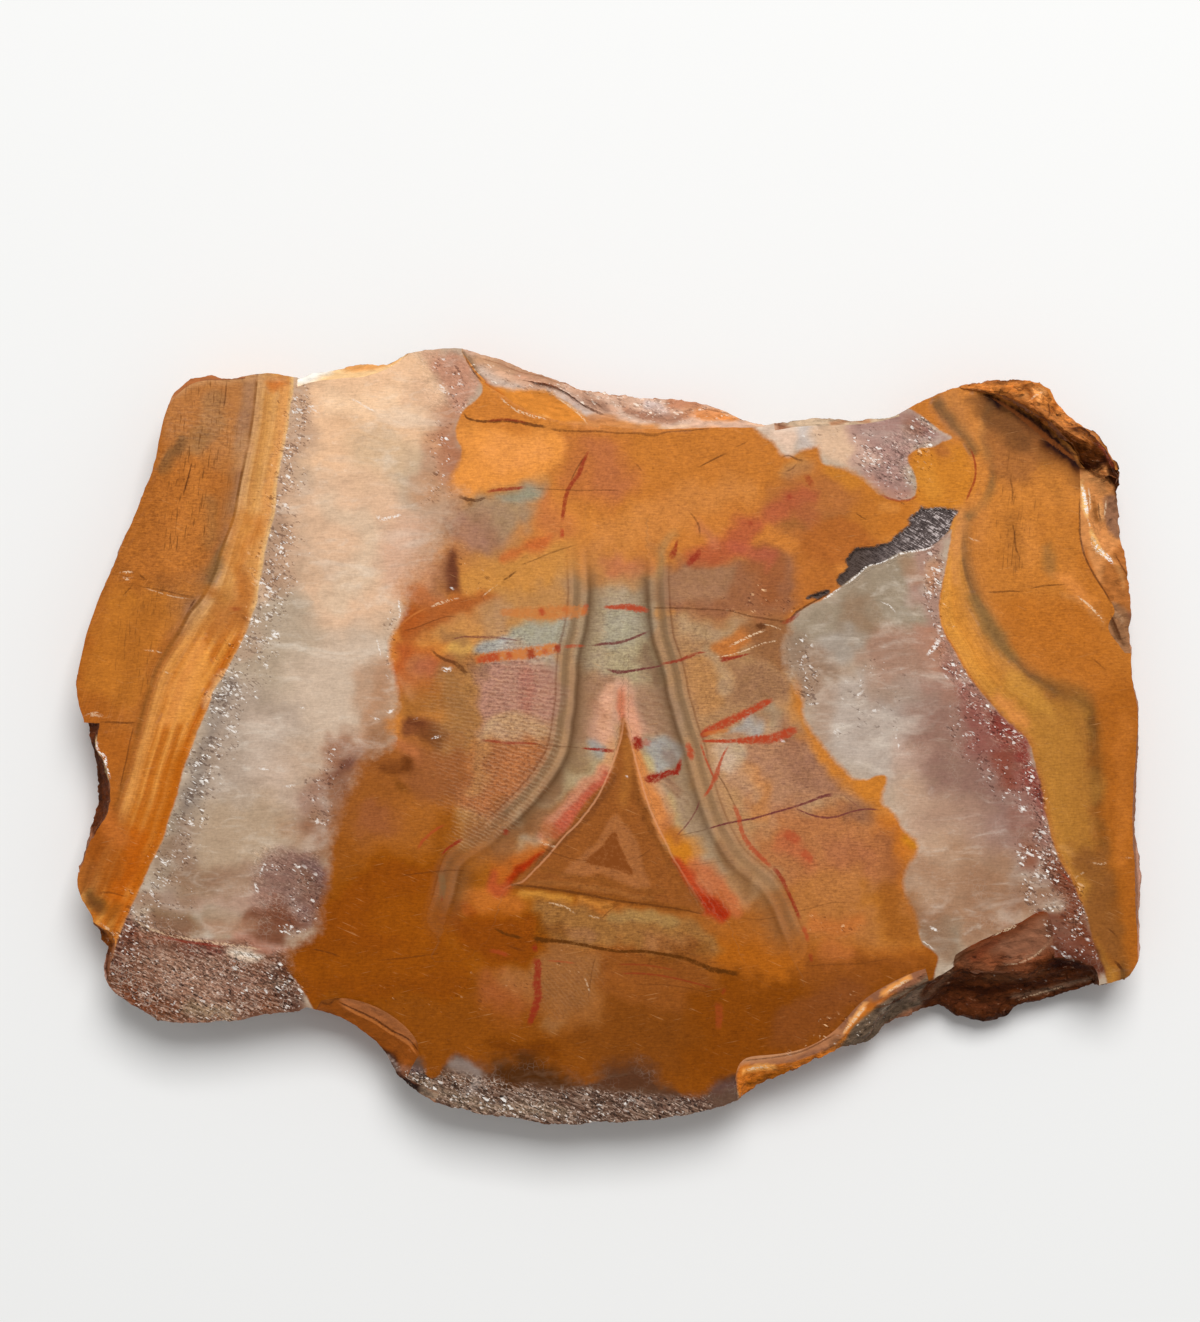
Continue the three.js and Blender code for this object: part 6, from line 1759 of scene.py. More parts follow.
quartz = np.max([
    depth_in(leaned, path) for path in (QUARTZ_LEFT, QUARTZ_RIGHT, QUARTZ_TOP, QUARTZ_FOOT)
], axis=0)
pocket = np.maximum(depth_in(leaned, POCKET), depth_in(leaned, POCKET_TAIL))
softness = level(
    flat, 0.13,
    [(value / PIXELS, fade, path) for value, fade, path in BOUNDARY_SOFTNESS], shift,
)
store("quartz", np.column_stack([np.clip(quartz, -FAR, FAR), softness, np.clip(pocket, -FAR, FAR)]))


def flow(edge, other, beyond):
    """0 on one curve, 1 on the other, growing past it: how the bands run between them.

    Then how far along it is, and whether it is on the outer side of the first curve, where
    beyond, the distance that counts as one more band, has the sign of that side.
    """
    _, near, along, _ = beside(leaned, smooth(traced(edge), WASH_STEP))
    _, far, _, _ = beside(leaned, smooth(traced(other), WASH_STEP))
    outer = ease(-3.0, -1.5, near * np.sign(beyond))
    near = np.abs(near)
    past = far > 0 if beyond > 0 else far < 0
    between = near / np.maximum(near + np.abs(far), 1e-6)
    return np.where(past, 1 + np.abs(far) / abs(beyond), between), along, outer


# The bands at the two sides; the ones at the right fade out towards the upper quartz.
left_band, left_along, left_outer = flow(QUARTZ_LEFT_EDGE, LEFT_FLOW, -4.0)
right_band, right_along, right_outer = flow(QUARTZ_RIGHT_SIDE, RIGHT_FLOW, 4.0)
LEFT_END = -20  # the left bands count to the left of it
left_side = flat[:, 0] < LEFT_END
right_outer *= ease(30.5, 32.5, flat[:, 0]) * ease(23.5, 21.5, flat[:, 1])
store("bands", np.column_stack([
    np.where(left_side, left_band, right_band),
    np.where(left_side, left_along, right_along),
    np.where(left_side, left_outer, right_outer),
]))

store("jasper", linear(wash(JASPER_BASE, JASPER_WASHES)[:, :3]))
store("milky", linear(wash(QUARTZ_BASE, QUARTZ_WASHES)[:, :3]))
store("broken", linear(wash(RIM_BASE, RIM_WASHES)[:, :3]))
# The side washes: stains, with painted shadow under the ledge and over the hollow's walls.
stains_and_shadow = wash(CLEAR, SIDE_WASHES)
store("stains_and_shadow", np.column_stack([linear(stains_and_shadow[:, :3]), stains_and_shadow[:, 3]]))

# The figure: how far it is to the middle of each leg and to the edge of the triangle inside, and
# how strong they are there. The third number of those paths is a strength and no width.
LEG_REACH = 4.5
INNER_REACH = 4.0
FIGURE_MIDDLE = 1.8  # the left leg counts to the left of it and the right leg to its right
leg, leg_strength, inner, inner_strength = np.tile([[FAR], [0.0], [FAR], [0.0]], len(flat))
for path, sign, on_left in ((LEG_LEFT, -1, True), (LEG_RIGHT, 1, False)):
    index, signed, _, strength = beside(flat, smooth(traced(path), FIGURE_LINE_STEP), LEG_REACH)
    side = (flat[index, 0] < FIGURE_MIDDLE) == on_left
    leg[index[side]] = sign * signed[side]
    leg_strength[index[side]] = PIXELS * strength[side]
index, signed, _, strength = beside(flat, smooth(traced(INNER_EDGE), FIGURE_LINE_STEP), INNER_REACH)
inner[index] = signed
inner_strength[index] = PIXELS * strength
store("leg", leg)
store("leg_strength", leg_strength)
store("inner", inner)
store("inner_strength", inner_strength)

# Lines and small marks, in as few layers as keep neighbours apart: how far from the mark's middle
# as a share of its half width, its strength and its tone.
AREA_REACH = 1.45  # how far round an area its layer is taken
LINE_REACH = 1.9  # the same beside a line
AREA_EDGE = 0.3  # the depth that counts as an area's half width
THINNEST = 0.03  # least half width of a line
TAPER = 0.6  # length over which the ends of a line fade, up to a quarter of it
layers = []
taken_places = []
for tone, strength, path in MARKS:
    rows = traced(path)
    if rows.shape[1] == 2:
        depth = depth_inside(flat, smooth(rows, MARK_STEP, closed=True), AREA_REACH)
        index = np.flatnonzero(depth > -AREA_REACH)
        share = np.clip(1 - depth[index] / AREA_EDGE, 0, FAR)
        amount = strength * (1 - ease(0.7, 1.2, -depth[index]))
    else:
        line = smooth(rows, MARK_STEP)
        thick = line[:, 2].max() / 2
        index, signed, along, width = beside(flat, line, thick + LINE_REACH)
        share = signed / np.maximum(width / 2, THINNEST)
        away = np.abs(signed)
        length = np.linalg.norm(np.diff(line[:, :2], axis=0), axis=1).sum()
        taper = min(0.25, TAPER / max(length, 0.1))
        amount = strength * ease(0, taper, along) * ease(0, taper, 1 - along)
        amount *= 1 - ease(thick + 0.45, thick + 0.9, away)
    for number, taken in enumerate(taken_places):
        if not taken[index].any():
            break
    else:
        number = len(layers)
        layers.append(np.tile([FAR, 0.0, 0.0], (len(flat), 1)))
        taken_places.append(np.zeros(len(flat), bool))
    keep = upper[index]
    layers[number][index[keep]] = np.column_stack(
        [np.clip(share, -FAR, FAR), amount, np.full(len(index), tone / len(TONES))]
    )[keep]
    taken_places[number][index] = True
for number, layer in enumerate(layers):
    store(f"marks_{number}", layer)

# How many small bright flecks there are, the fine lines across the bands, and how rough and
# sugary the stone is. Then how rugged it is, how strong its fine grain, and its dark dashes.
store("grain", np.column_stack([level(flat, 0, rows, shift) for rows in (GLITTER, HATCH, FROST)]))
store("feel", np.column_stack([
    level(flat, RUGGED_BASE, RUGGED),
    level(flat, 1, CONTRAST, shift),
    level(flat, 0, DASHES, shift),
]))
store("zone", zone, faces=True)
_, final_normals = normals_of(points, faces)
store("facing", np.clip(final_normals[:, 2], -1, 1))

# The look of the stone: everything below reads the painted attributes and the place in the stone.
look = bpy.data.materials.new("stone")
look.use_nodes = True
tree = look.node_tree
tree.nodes.clear()
stone.data.materials.append(look)


def paint(colour):
    """A colour out of 255 as a shader's colour."""
    return (*linear(np.array(colour, float)), 1.0)


def connect(value, socket):
    if isinstance(value, bpy.types.NodeSocket):
        tree.links.new(value, socket)
    else:
        socket.default_value = value


def calc(operation, *values):
    node = tree.nodes.new("ShaderNodeMath")
    node.operation = operation
    for value, socket in zip(values, node.inputs):
        connect(value, socket)
    return node.outputs[0]


def add(a, b):
    return calc("ADD", a, b)


def times(a, b):
    return calc("MULTIPLY", a, b)


def less(a, b):
    return calc("SUBTRACT", a, b)


def larger(a, b):
    return calc("MAXIMUM", a, b)


def swing(value, amount):
    """A value round 0.5 as one that swings round 0."""
    return times(less(value, 0.5), amount)


def step(low, high, value, to_low=0.0, to_high=1.0):
    """A smooth step of a value; with low over high it falls."""
    node = tree.nodes.new("ShaderNodeMapRange")
    node.interpolation_type = "SMOOTHSTEP"
    ends = (low, high, to_low, to_high) if low < high else (high, low, to_high, to_low)
    connect(value, node.inputs["Value"])
    for name, end in zip(("From Min", "From Max", "To Min", "To Max"), ends):
        node.inputs[name].default_value = end
    return node.outputs[0]


def mix(amount, a, b, blend="MIX"):
    node = tree.nodes.new("ShaderNodeMix")
    node.data_type = "RGBA"
    node.blend_type = blend
    for value, number in zip((amount, a, b), (0, 6, 7)):
        connect(value, node.inputs[number])
    return node.outputs[2]


def combine(x, y, z):
    node = tree.nodes.new("ShaderNodeCombineXYZ")
    for value, socket in zip((x, y, z), node.inputs):
        connect(value, socket)
    return node.outputs[0]


def shaded(colour, amount):
    """A colour that is darker where the amount is under 1 and lighter where it is over."""
    return mix(1.0, colour, combine(amount, amount, amount), "MULTIPLY")


def tinted(colour, tint):
    return mix(1.0, colour, paint(tint), "MULTIPLY")


def attribute(name):
    node = tree.nodes.new("ShaderNodeAttribute")
    node.attribute_name = name
    return node


def parts(vector):
    node = tree.nodes.new("ShaderNodeSeparateXYZ")
    connect(vector, node.inputs[0])
    return node.outputs


def painted(name):
    """The numbers of an attribute that keeps three."""
    return parts(attribute(name).outputs["Vector"])


def painted_number(name):
    return attribute(name).outputs["Fac"]


def scaled(vector, factors):
    node = tree.nodes.new("ShaderNodeVectorMath")
    node.operation = "MULTIPLY"
    connect(vector, node.inputs[0])
    node.inputs[1].default_value = factors
    return node.outputs[0]


def drawn_out(vector, angle, along, across):
    """Places for a pattern that is stretched in one direction; along and across are its scales."""
    node = tree.nodes.new("ShaderNodeMapping")
    node.vector_type = "TEXTURE"
    connect(vector, node.inputs["Vector"])
    node.inputs["Rotation"].default_value = (0, 0, math.radians(angle))
    node.inputs["Scale"].default_value = (1 / along, 1 / across, 1)
    return node.outputs[0]


def cloud(vector, scale, detail=2.0, rough=0.55, distortion=0.0):
    """Noise round 0.5."""
    node = tree.nodes.new("ShaderNodeTexNoise")
    connect(vector, node.inputs["Vector"])
    settings = {"Scale": scale, "Detail": detail, "Roughness": rough, "Distortion": distortion}
    for name, value in settings.items():
        node.inputs[name].default_value = value
    return node.outputs["Fac"]


def strokes(angle, along, across):
    """Thin lines in one direction, as noise that is drawn out along it."""
    return cloud(drawn_out(place, angle, along, across), 1.0, 2.0, 0.6)


def cells(vector, scale, feature="F1"):
    node = tree.nodes.new("ShaderNodeTexVoronoi")
    node.feature = feature
    connect(vector, node.inputs["Vector"])
    node.inputs["Scale"].default_value = scale
    return node.outputs


def chips(vector, scale):
    """Random numbers for the cells of a broken pattern."""
    return parts(cells(vector, scale)["Color"])


def ramp(value, stops, kind="LINEAR", span=1.0):
    """Colours along a value: stops are (value, (red, green, blue)[, strength])."""
    node = tree.nodes.new("ShaderNodeValToRGB")
    band = node.color_ramp
    band.interpolation = kind
    while len(band.elements) < len(stops):
        band.elements.new(1.0)
    for element, stop in zip(band.elements, stops):
        element.position = stop[0] / span
        element.color = paint(stop[1])[:3] + (stop[2] if len(stop) > 2 else 1.0,)
    connect(times(value, 1 / span) if span != 1.0 else value, node.inputs["Fac"])
    return node.outputs


coordinates = tree.nodes.new("ShaderNodeTexCoord")
place = scaled(coordinates.outputs["Object"], (1 / MM, 1 / MM, 1 / MM))
px, py, pz = parts(place)
grain_noise = cloud(place, 3.2, 3.0, 0.6)
fine_noise = cloud(place, 5.5, 2.0, 0.7)
rough_noise = cloud(place, 1.4, 4.0, 0.65)
sugar = cloud(place, 5.5, 3.0, 0.7)
blotch = cloud(place, 0.45, 3.0, 0.6)
broad = cloud(place, 0.12, 2.0)
crinkle = less(cloud(place, 1.6, 4.0, 0.65), 0.5)
# Angular grains, all of them drawn out a little to one side: a random number for each.
bent = combine(add(px, times(crinkle, 0.9)), add(py, times(crinkle, -0.7)), pz)
leaning = drawn_out(bent, -24, 0.75, 1.35)
grains, shine, _ = chips(leaning, 3.4)
crumbs = chips(leaning, 7.0)[0]

glitter, hatch, frost = painted("grain")
rugged, contrast, dashes = painted("feel")
marked = attribute("stains_and_shadow")

# Where the quartz and the pocket are.
depth, soft, pocket_depth = painted("quartz")
ragged = add(depth, times(crinkle, add(0.1, times(soft, 1.5))))
quartz_mask = step(-1.0, 1.0, calc("DIVIDE", ragged, soft))
pocket_mask = step(-0.15, 0.15, add(pocket_depth, times(crinkle, 0.9)))

# Jasper at the two sides: bands that run along the quartz. The places of their colours are 0 at
# the quartz and 1 at the second curve, and the last ones are reached beyond it.
SPAN = 2.4
UPPER_LEFT = [
    (0, (244, 200, 140)), (0.05, (238, 184, 120)), (0.13, (228, 160, 90)), (0.3, (222, 154, 84)),
    (0.42, (230, 168, 100)), (0.55, (220, 156, 86)), (0.7, (204, 140, 76)), (0.76, (220, 162, 100)),
    (0.86, (208, 154, 102)), (0.93, (214, 162, 110)), (0.96, (136, 88, 48)), (1.0, (126, 80, 42)),
    (1.03, (166, 116, 80)), (1.2, (166, 110, 66)), (1.4, (176, 112, 60)), (1.9, (170, 102, 48)),
    (SPAN, (178, 104, 42)),
]
LOWER_LEFT = [
    (0, (226, 150, 78)), (0.05, (206, 118, 40)), (0.1, (196, 102, 26)), (0.16, (218, 134, 52)),
    (0.22, (232, 152, 68)), (0.27, (200, 112, 34)), (0.34, (208, 122, 46)), (0.4, (236, 158, 74)),
    (0.47, (204, 118, 40)), (0.55, (198, 110, 36)), (0.6, (228, 148, 66)), (0.66, (206, 124, 48)),
    (0.73, (218, 142, 68)), (0.82, (224, 152, 78)), (0.9, (184, 112, 52)), (0.97, (150, 90, 38)),
    (1.05, (178, 104, 44)), (1.3, (190, 112, 46)), (1.7, (180, 102, 38)), (SPAN, (174, 96, 34)),
]
UPPER_RIGHT = [
    (0, (150, 76, 40)), (0.02, (206, 124, 52)), (0.07, (224, 150, 66)), (0.25, (230, 154, 64)),
    (0.4, (222, 144, 58)), (0.55, (214, 140, 60)), (0.7, (208, 138, 66)), (0.84, (198, 132, 62)),
    (0.92, (184, 124, 64)), (0.97, (148, 104, 60)), (1.03, (138, 94, 54)), (1.12, (170, 112, 60)),
    (1.3, (202, 126, 58)), (1.6, (202, 124, 52)), (2.0, (194, 116, 44)), (SPAN, (198, 118, 44)),
]
LOWER_RIGHT = [
    (0, (150, 80, 60)), (0.03, (186, 116, 54)), (0.12, (196, 132, 56)), (0.3, (188, 128, 54)),
    (0.5, (180, 120, 50)), (0.7, (172, 112, 46)), (0.84, (154, 98, 46)), (0.94, (114, 76, 38)),
    (1.04, (110, 72, 36)), (1.15, (150, 92, 38)), (1.3, (178, 102, 38)), (1.7, (184, 104, 36)),
    (SPAN, (178, 98, 32)),
]
DARK_THREAD = (120, 70, 26)
PALE_THREAD = (240, 190, 130)

band, band_along, side = painted("bands")
band = add(band, swing(cloud(combine(times(band, 1.2), times(band_along, 9), 0.0), 1.0), 0.07))


def side_bands(low, high, lower, upper):
    """The bands of one side, whose colours change between two heights of the picture."""
    return mix(
        step(low, high, py), ramp(band, lower, span=SPAN)[0], ramp(band, upper, span=SPAN)[0]
    )


side_colour = mix(
    step(-5.0, 5.0, px),
    side_bands(8.5, 13.5, LOWER_LEFT, UPPER_LEFT),
    side_bands(2.5, 7.5, LOWER_RIGHT, UPPER_RIGHT),
)
threads = cloud(combine(times(band, 34), times(band_along, 16), 0.0), 1.0, 3.0, 0.7)
side_colour = mix(
    step(0.35, 0.7, threads), mix(0.22, side_colour, paint(DARK_THREAD)), side_colour
)
side_colour = mix(
    times(step(0.55, 0.8, threads), 0.3), side_colour, mix(0.5, side_colour, paint(PALE_THREAD))
)
jasper = mix(side, attribute("jasper").outputs["Vector"], side_colour)
jasper = mix(marked.outputs["Alpha"], jasper, marked.outputs["Color"])

# Grain of the jasper: mottling, short fibres across the slab, fine lines and dark dashes.
PALE_LINE = (228, 170, 112)
DARK_LINE = (110, 62, 24)
DASH = (112, 66, 30)

fibres = cloud(scaled(place, (1.1, 6.5, 1.0)), 1.0, 3.0, 0.75)
mottle = add(add(swing(grain_noise, 0.5), swing(fine_noise, 0.5)), swing(fibres, 0.9))
mottle = add(times(mottle, contrast), swing(blotch, 0.34))
warmth = swing(cloud(place, 0.9, 3.0, 0.65), 0.3)
bright = add(1.0, mottle)
jasper = mix(
    1.0, jasper, combine(bright, add(1.0, times(mottle, 1.1)), add(bright, warmth)), "MULTIPLY"
)
fine_lines = add(
    times(step(0.62, 0.72, strokes(-24, 0.35, 6.5)), step(0.45, 0.65, blotch)),
    times(step(0.64, 0.74, strokes(12, 0.3, 7.5)), step(0.55, 0.4, blotch)),
)
jasper = mix(times(fine_lines, 0.3), jasper, paint(PALE_LINE))
dark_lines = times(step(0.64, 0.76, strokes(-4, 0.4, 5.0)), step(0.4, 0.6, broad))
jasper = mix(times(dark_lines, 0.35), jasper, paint(DARK_LINE))
ticks = times(step(0.56, 0.68, strokes(84, 0.45, 4.2)), times(dashes, 0.75))
jasper = mix(ticks, jasper, paint(DASH))

# The legs of the figure: bands at fixed distances from the dark line at each leg's middle, which
# is at LEG_MIDDLE.
LEG_MIDDLE = 2.5
LEG_SPAN = 7.0
LEG_BANDS = [
    (0.0, (126, 98, 70), 0.0), (0.7, (126, 98, 70), 0.06), (1.5, (126, 98, 70), 0.3),
    (2.0, (118, 90, 62), 0.56), (2.3, (104, 76, 50), 0.74), (LEG_MIDDLE, (92, 64, 40), 0.84),
    (2.7, (104, 78, 54), 0.76), (2.95, (160, 128, 98), 0.5), (3.3, (160, 130, 100), 0.4),
    (3.5, (132, 106, 78), 0.6), (3.75, (120, 94, 68), 0.76), (4.1, (126, 102, 76), 0.72),
    (4.3, (156, 126, 98), 0.42), (4.55, (150, 118, 92), 0.4), (4.66, (112, 68, 44), 0.6),
    (4.78, (118, 76, 52), 0.45), (4.9, (150, 110, 86), 0.16), (5.4, (150, 110, 80), 0.0),
]
INNER_LINE = (224, 156, 112)

leg_off = add(painted_number("leg"), swing(cloud(place, 0.5), 0.22))
leg_colour, leg_cover = ramp(add(leg_off, LEG_MIDDLE), LEG_BANDS, span=LEG_SPAN)
jasper = mix(times(leg_cover, painted_number("leg_strength")), jasper, leg_colour)

# The pale line round the inner triangle.
inner_off = add(painted_number("inner"), swing(cloud(place, 2.2), 0.16))
pale_line = times(step(-0.1, 0.02, inner_off), step(0.2, 0.08, inner_off))
pale_line = times(pale_line, times(painted_number("inner_strength"), 0.6))
jasper = mix(pale_line, jasper, paint(INNER_LINE))

# Quartz: milky clouds drawn out along the slab, crossed by pale veils and joints, with grains.
PALE_VEIL = (236, 222, 204)
DARK_VEIL = (156, 132, 108)
PALE_SMOKE = (238, 226, 210)
DARK_SMOKE = (140, 112, 90)
JOINT = (226, 212, 196)
PALE_CRUMB = (226, 198, 178)
PALE_STREAK = (206, 172, 150)
DARK_STREAK = (84, 50, 36)

quartz = attribute("milky").outputs["Vector"]
veil = cloud(scaled(place, (0.16, 0.42, 0.3)), 1.0, 3.0, 0.6, 0.6)
smoke = cloud(scaled(place, (0.34, 0.8, 0.5)), 1.0, 3.0, 0.62, 0.8)
cloudy = less(1.0, times(calc("MINIMUM", frost, 1.0), 0.85))
cloudy = times(cloudy, step(0.06, 0.2, parts(quartz)[1]))
quartz = mix(times(times(step(0.5, 0.74, veil), 0.34), cloudy), quartz, paint(PALE_VEIL))
quartz = mix(times(step(0.5, 0.28, veil), 0.2), quartz, paint(DARK_VEIL))
quartz = mix(times(step(0.5, 0.25, smoke), 0.24), quartz, paint(DARK_SMOKE))
quartz = mix(times(times(step(0.55, 0.8, smoke), 0.28), cloudy), quartz, paint(PALE_SMOKE))
quartz = shaded(quartz, add(1.0, times(mottle, 0.65)))
joint_gap = cells(place, 2.1, "DISTANCE_TO_EDGE")["Distance"]
joints = times(step(0.09, 0.0, joint_gap), step(0.45, 0.7, blotch))
quartz = mix(times(joints, add(0.12, times(frost, 0.4))), quartz, paint(JOINT))
quartz = shaded(quartz, add(1.0, times(frost, add(swing(crumbs, 1.3), swing(grains, 0.5)))))
quartz = mix(times(step(0.86, 0.92, crumbs), times(frost, 0.5)), quartz, paint(PALE_CRUMB))
streaks = strokes(-22, 0.5, 4.5)
quartz = mix(times(step(0.5, 0.68, streaks), times(frost, 0.45)), quartz, paint(PALE_STREAK))
quartz = mix(times(step(0.46, 0.3, streaks), times(frost, 0.4)), quartz, paint(DARK_STREAK))

# The pocket of small grey crystals, with fine bright and dark lines; its left end is browner.
CRYSTAL = (116, 102, 98)
CRYSTAL_GAP = (50, 42, 42)
CRYSTAL_EDGE = (206, 192, 188)
CRYSTAL_SUGAR = (150, 138, 136)
CRYSTAL_BROWN = (76, 60, 50)

needles = add(times(strokes(-30, 1.6, 7.5), 0.7), times(strokes(48, 2.2, 6.0), 0.3))
crystals = mix(step(0.3, 0.62, needles), paint(CRYSTAL_GAP), paint(CRYSTAL))
crystals = mix(
    times(step(0.52, 0.6, needles), step(26.0, 33.0, px)), crystals, paint(CRYSTAL_EDGE)
)
crystals = mix(times(step(0.55, 0.7, sugar), 0.5), crystals, paint(CRYSTAL_SUGAR))
crystals = mix(times(step(28.0, 24.5, px), 0.6), crystals, paint(CRYSTAL_BROWN))
face_colour = mix(pocket_mask, jasper, crystals)
face_colour = mix(quartz_mask, face_colour, quartz)

# Fine lines across the bands.
PALE_HATCH = (222, 182, 146)
DARK_HATCH = (126, 72, 44)

lean = larger(less(3.6, times(py, 0.38)), 1.2)
hatch_wave = calc("SINE", add(add(times(px, lean), times(py, 10.0)), times(crinkle, 11)))
hatch = times(hatch, step(0.3, 0.6, cloud(scaled(place, (1.6, 1.0, 1.0)), 1.3, 3.0, 0.7)))
face_colour = mix(
    times(step(0.0, 1.0, hatch_wave), times(hatch, 0.24)), face_colour, paint(PALE_HATCH)
)
face_colour = mix(
    times(step(-0.1, -1.0, hatch_wave), times(hatch, 0.42)), face_colour, paint(DARK_HATCH)
)

# Bright flecks in clusters, where the stone sparkles: partly pale grains and partly painted glints,
# with darker grains between them.
FACE_SHADE = (136, 112, 110)
JASPER_FLECK = (246, 196, 146)
QUARTZ_FLECK = (255, 248, 240)

clustered = step(0.4, 0.66, cloud(place, 0.9, 2.0, 0.6))
sparkle = times(glitter, add(0.25, times(clustered, 0.75)))
sparkle = times(sparkle, add(0.4, times(larger(quartz_mask, rugged), 0.6)))
fleck = step(1.0, 1.03, add(grains, times(sparkle, 0.13)))
fleck = larger(fleck, times(step(1.0, 1.04, add(crumbs, times(sparkle, 0.2))), 0.8))
fleck = times(fleck, add(0.5, times(shine, 0.5)))
shade = times(step(0.0, -0.05, less(grains, times(sparkle, 0.3))), 0.6)
shade = larger(shade, times(step(0.0, -0.05, less(crumbs, times(sparkle, 0.4))), 0.55))
face_colour = mix(shade, face_colour, tinted(face_colour, FACE_SHADE))
face_colour = mix(fleck, face_colour, mix(quartz_mask, paint(JASPER_FLECK), paint(QUARTZ_FLECK)))

# The broken stone of the rim, where it faces up.
PALE_STRATA_AND_HIGHLIGHT = (222, 182, 146)
DARK_STRATA_AND_PIT_SHADE = (52, 24, 10)
RIM_SHADE = (128, 106, 104)
RIM_FLECK = (252, 236, 218)

broken = attribute("broken").outputs["Vector"]
# Strata and facets of the broken stone, with painted shading of the facets, painted highlights on
# their edges and painted shade in the pits.
strata = cloud(scaled(place, (0.8, 2.2, 2.2)), 1.0, 4.0, 0.75, 0.5)
chunks = chips(scaled(place, (1.1, 2.0, 2.0)), 1.0)[0]
jagged = add(swing(strata, 3.2), swing(chunks, 0.7))
broken = shaded(broken, larger(add(1.0, times(times(jagged, rugged), 0.9)), 0.18))
broken = mix(times(step(0.62, 0.72, strata), times(rugged, 0.3)), broken, paint(PALE_STRATA_AND_HIGHLIGHT))
broken = mix(
    times(step(0.42, 0.3, strata), times(times(rugged, rugged), 0.6)), broken, paint(DARK_STRATA_AND_PIT_SHADE)
)
broken = mix(times(shade, 0.7), broken, tinted(broken, RIM_SHADE))
broken = mix(times(fleck, 0.9), broken, paint(RIM_FLECK))

# Veins, cracks, flakes and edges, with painted highlights and shadow on edges, on the face and on
# the broken stone. Bright ones are broken up into flakes.
tones = [(max(number - 0.5, 0) / len(TONES), colour) for number, colour in enumerate(TONES)]
wobble = swing(cloud(place, 4.5, 3.0, 0.75), 2.2)
worn = step(0.25, 0.55, cloud(place, 2.4, 3.0, 0.7), 0.4, 1.0)
for number in range(len(layers)):
    share, strength, tone = painted(f"marks_{number}")
    share = calc("ABSOLUTE", add(share, wobble))
    bright = times(step(0.62, 0.66, tone), step(0.84, 0.8, tone))
    whole = less(1.0, times(bright, step(0.5, 0.34, crumbs)))
    cover = times(times(times(step(1.5, 0.6, share), strength), worn), whole)
    drawn = ramp(tone, tones, "CONSTANT")[0]
    face_colour = mix(cover, face_colour, drawn)
    broken = mix(cover, broken, drawn)

# The sides: a brownish pink rind over the jasper, and crystals where the quartz goes down.
PINK_RIND = (196, 146, 122)
BROWN_RIND = (152, 96, 68)
RIND_STAIN = (112, 64, 40)
WEATHERED = (128, 80, 48)
DARK_CRYSTAL = (112, 82, 64)
PALE_CRYSTAL = (190, 162, 142)
BRIGHT_CRYSTAL = (238, 222, 208)

rind = mix(step(0.4, 0.62, blotch), paint(BROWN_RIND), paint(PINK_RIND))
rind = mix(times(step(0.4, 0.7, cloud(place, 1.1, 3.0, 0.7)), 0.55), rind, paint(RIND_STAIN))
layered = cloud(scaled(place, (0.25, 0.25, 0.9)), 1.0, 2.0, 0.65)
sides = mix(step(0.38, 0.6, layered), mix(0.35, face_colour, paint(WEATHERED)), rind)
crystalline = mix(step(0.32, 0.66, rough_noise), paint(DARK_CRYSTAL), paint(PALE_CRYSTAL))
grainy = add(add(1.0, add(swing(crumbs, 0.3), swing(grains, 0.4))), swing(blotch, 0.9))
crystalline = shaded(crystalline, grainy)
crystalline = mix(times(step(0.84, 0.9, crumbs), 0.6), crystalline, paint(BRIGHT_CRYSTAL))
sides = mix(times(quartz_mask, 0.92), sides, crystalline)
sides = mix(marked.outputs["Alpha"], sides, marked.outputs["Color"])

# All of it together.
zone_mark = painted_number("zone")
on_rim = times(step(0.2, 0.8, zone_mark), step(1.8, 1.2, zone_mark))
rim_colour = mix(step(0.12, 0.42, painted_number("facing")), sides, broken)
stone_colour = mix(on_rim, face_colour, rim_colour)

# Shine and fine relief.
rough = add(add(0.4, swing(grain_noise, 0.25)), times(quartz_mask, -0.04))
rim_rough = add(0.46, times(rough_noise, 0.3))
roughness = add(times(rough, less(1.0, on_rim)), times(rim_rough, on_rim))
height = times(times(sugar, frost), 0.16)
height = add(height, times(times(needles, pocket_mask), 0.3))
height = add(height, times(times(rough_noise, on_rim), 0.12))
height = add(height, times(times(times(strata, rugged), on_rim), 0.3))
bump = tree.nodes.new("ShaderNodeBump")
bump.inputs["Strength"].default_value = 0.8
bump.inputs["Distance"].default_value = MM
connect(height, bump.inputs["Height"])

shader = tree.nodes.new("ShaderNodeBsdfPrincipled")
connect(stone_colour, shader.inputs["Base Color"])
connect(roughness, shader.inputs["Roughness"])
connect(bump.outputs["Normal"], shader.inputs["Normal"])
shader.inputs["Specular IOR Level"].default_value = 0.05
output = tree.nodes.new("ShaderNodeOutputMaterial")
connect(shader.outputs[0], output.inputs["Surface"])


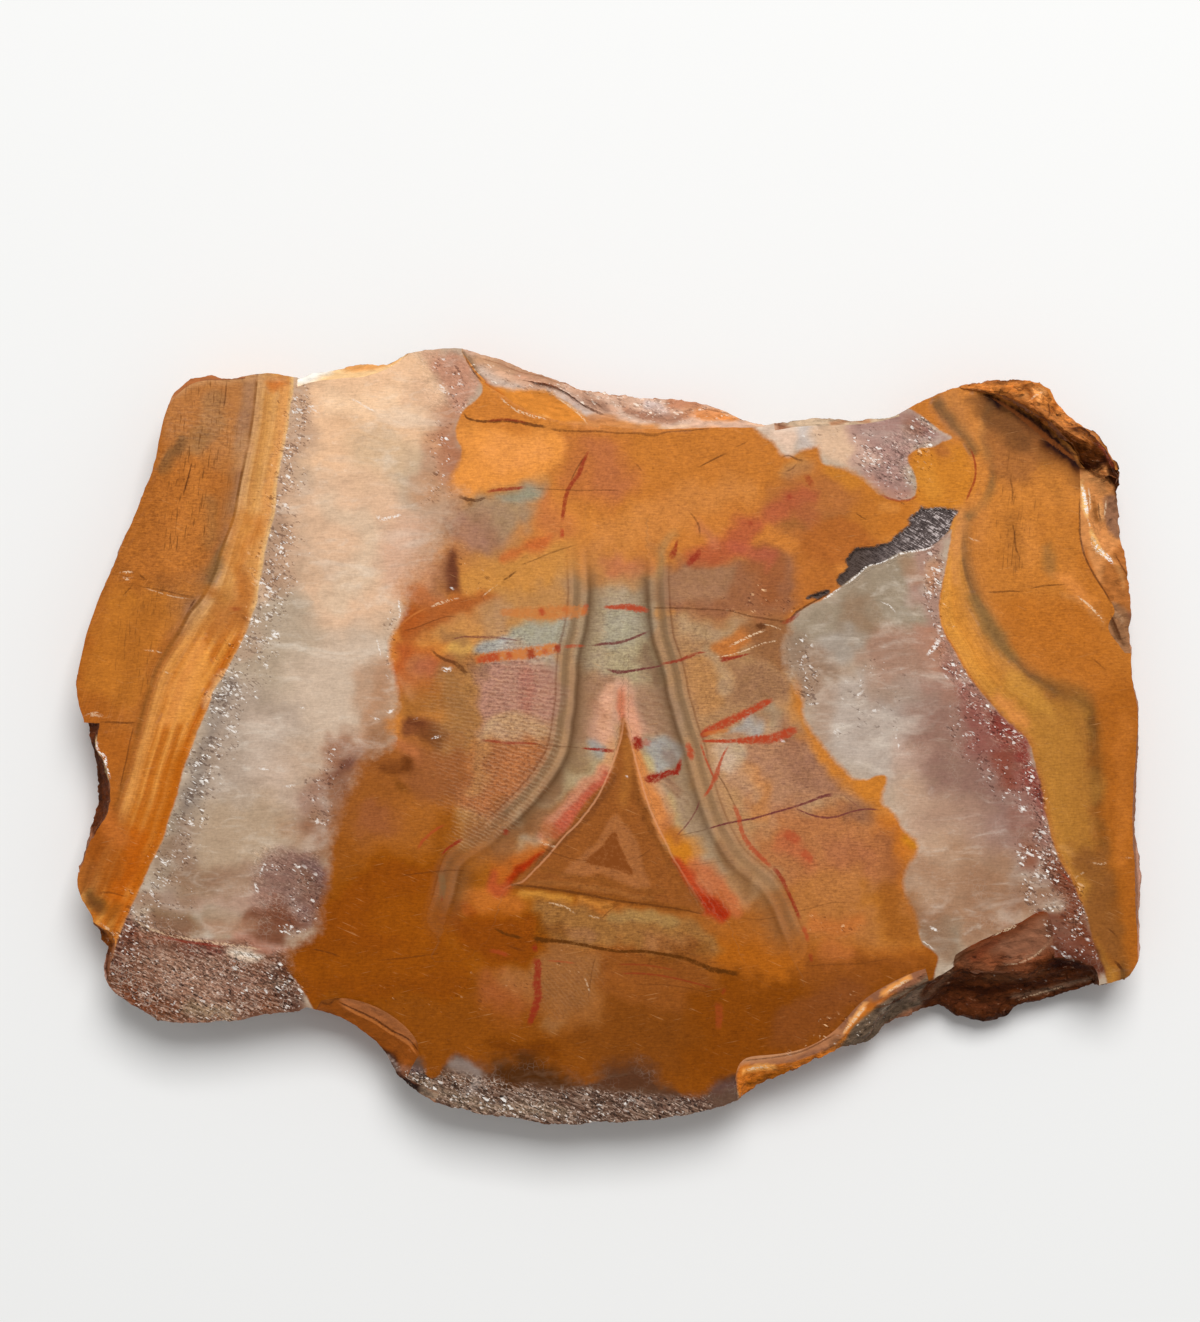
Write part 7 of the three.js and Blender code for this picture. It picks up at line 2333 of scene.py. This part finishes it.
# Camera, light and floor.
EYE = traced("600,661")[0]  # where the camera looks
DISTANCE = 320.0
VIEW_HEIGHT = 132.2  # height of the picture at that distance
TILT = math.radians(1.0)
SENSOR = 36
WORLD_STRENGTH = 0.36
camera_data = bpy.data.cameras.new("camera")
camera_data.sensor_fit = "VERTICAL"
camera_data.sensor_height = SENSOR
camera_data.lens = SENSOR * DISTANCE / VIEW_HEIGHT
camera_data.clip_start = 0.01
camera = bpy.data.objects.new("camera", camera_data)
camera.location = (
    EYE[0] * MM,
    (EYE[1] - DISTANCE * math.sin(TILT)) * MM,
    (TOP + DISTANCE * math.cos(TILT)) * MM,
)
camera.rotation_euler = (TILT, 0, 0)
bpy.context.scene.collection.objects.link(camera)
bpy.context.scene.camera = camera

bpy.ops.mesh.primitive_plane_add(size=1.6, location=(0, 0, -0.00005))
floor = bpy.context.object
floor.name = "floor"
floor_look = bpy.data.materials.new("floor")
floor_look.use_nodes = True
floor_shader = floor_look.node_tree.nodes["Principled BSDF"]
floor_shader.inputs["Base Color"].default_value = (0.88, 0.88, 0.87, 1)
floor_shader.inputs["Roughness"].default_value = 0.9
floor_shader.inputs["Specular IOR Level"].default_value = 0.1
floor.data.materials.append(floor_look)

world = bpy.data.worlds.new("studio")
world.use_nodes = True
world.node_tree.nodes["Background"].inputs["Color"].default_value = (1, 1, 1, 1)
world.node_tree.nodes["Background"].inputs["Strength"].default_value = WORLD_STRENGTH
bpy.context.scene.world = world
bpy.context.scene.view_settings.view_transform = "Standard"


def soft_light(name, azimuth, elevation, distance, size, power):
    """A square area light that faces the slab; azimuth is clockwise from the top of the view."""
    data = bpy.data.lights.new(name, "AREA")
    data.shape = "SQUARE"
    data.size = size
    data.energy = power
    item = bpy.data.objects.new(name, data)
    a, e = math.radians(azimuth), math.radians(elevation)
    place = Vector((math.sin(a) * math.cos(e), math.cos(a) * math.cos(e), math.sin(e)))
    item.location = place * distance
    item.rotation_euler = (-place).to_track_quat("-Z", "Y").to_euler()
    bpy.context.scene.collection.objects.link(item)


soft_light("window", azimuth=12, elevation=57, distance=1.0, size=0.55, power=8.6)
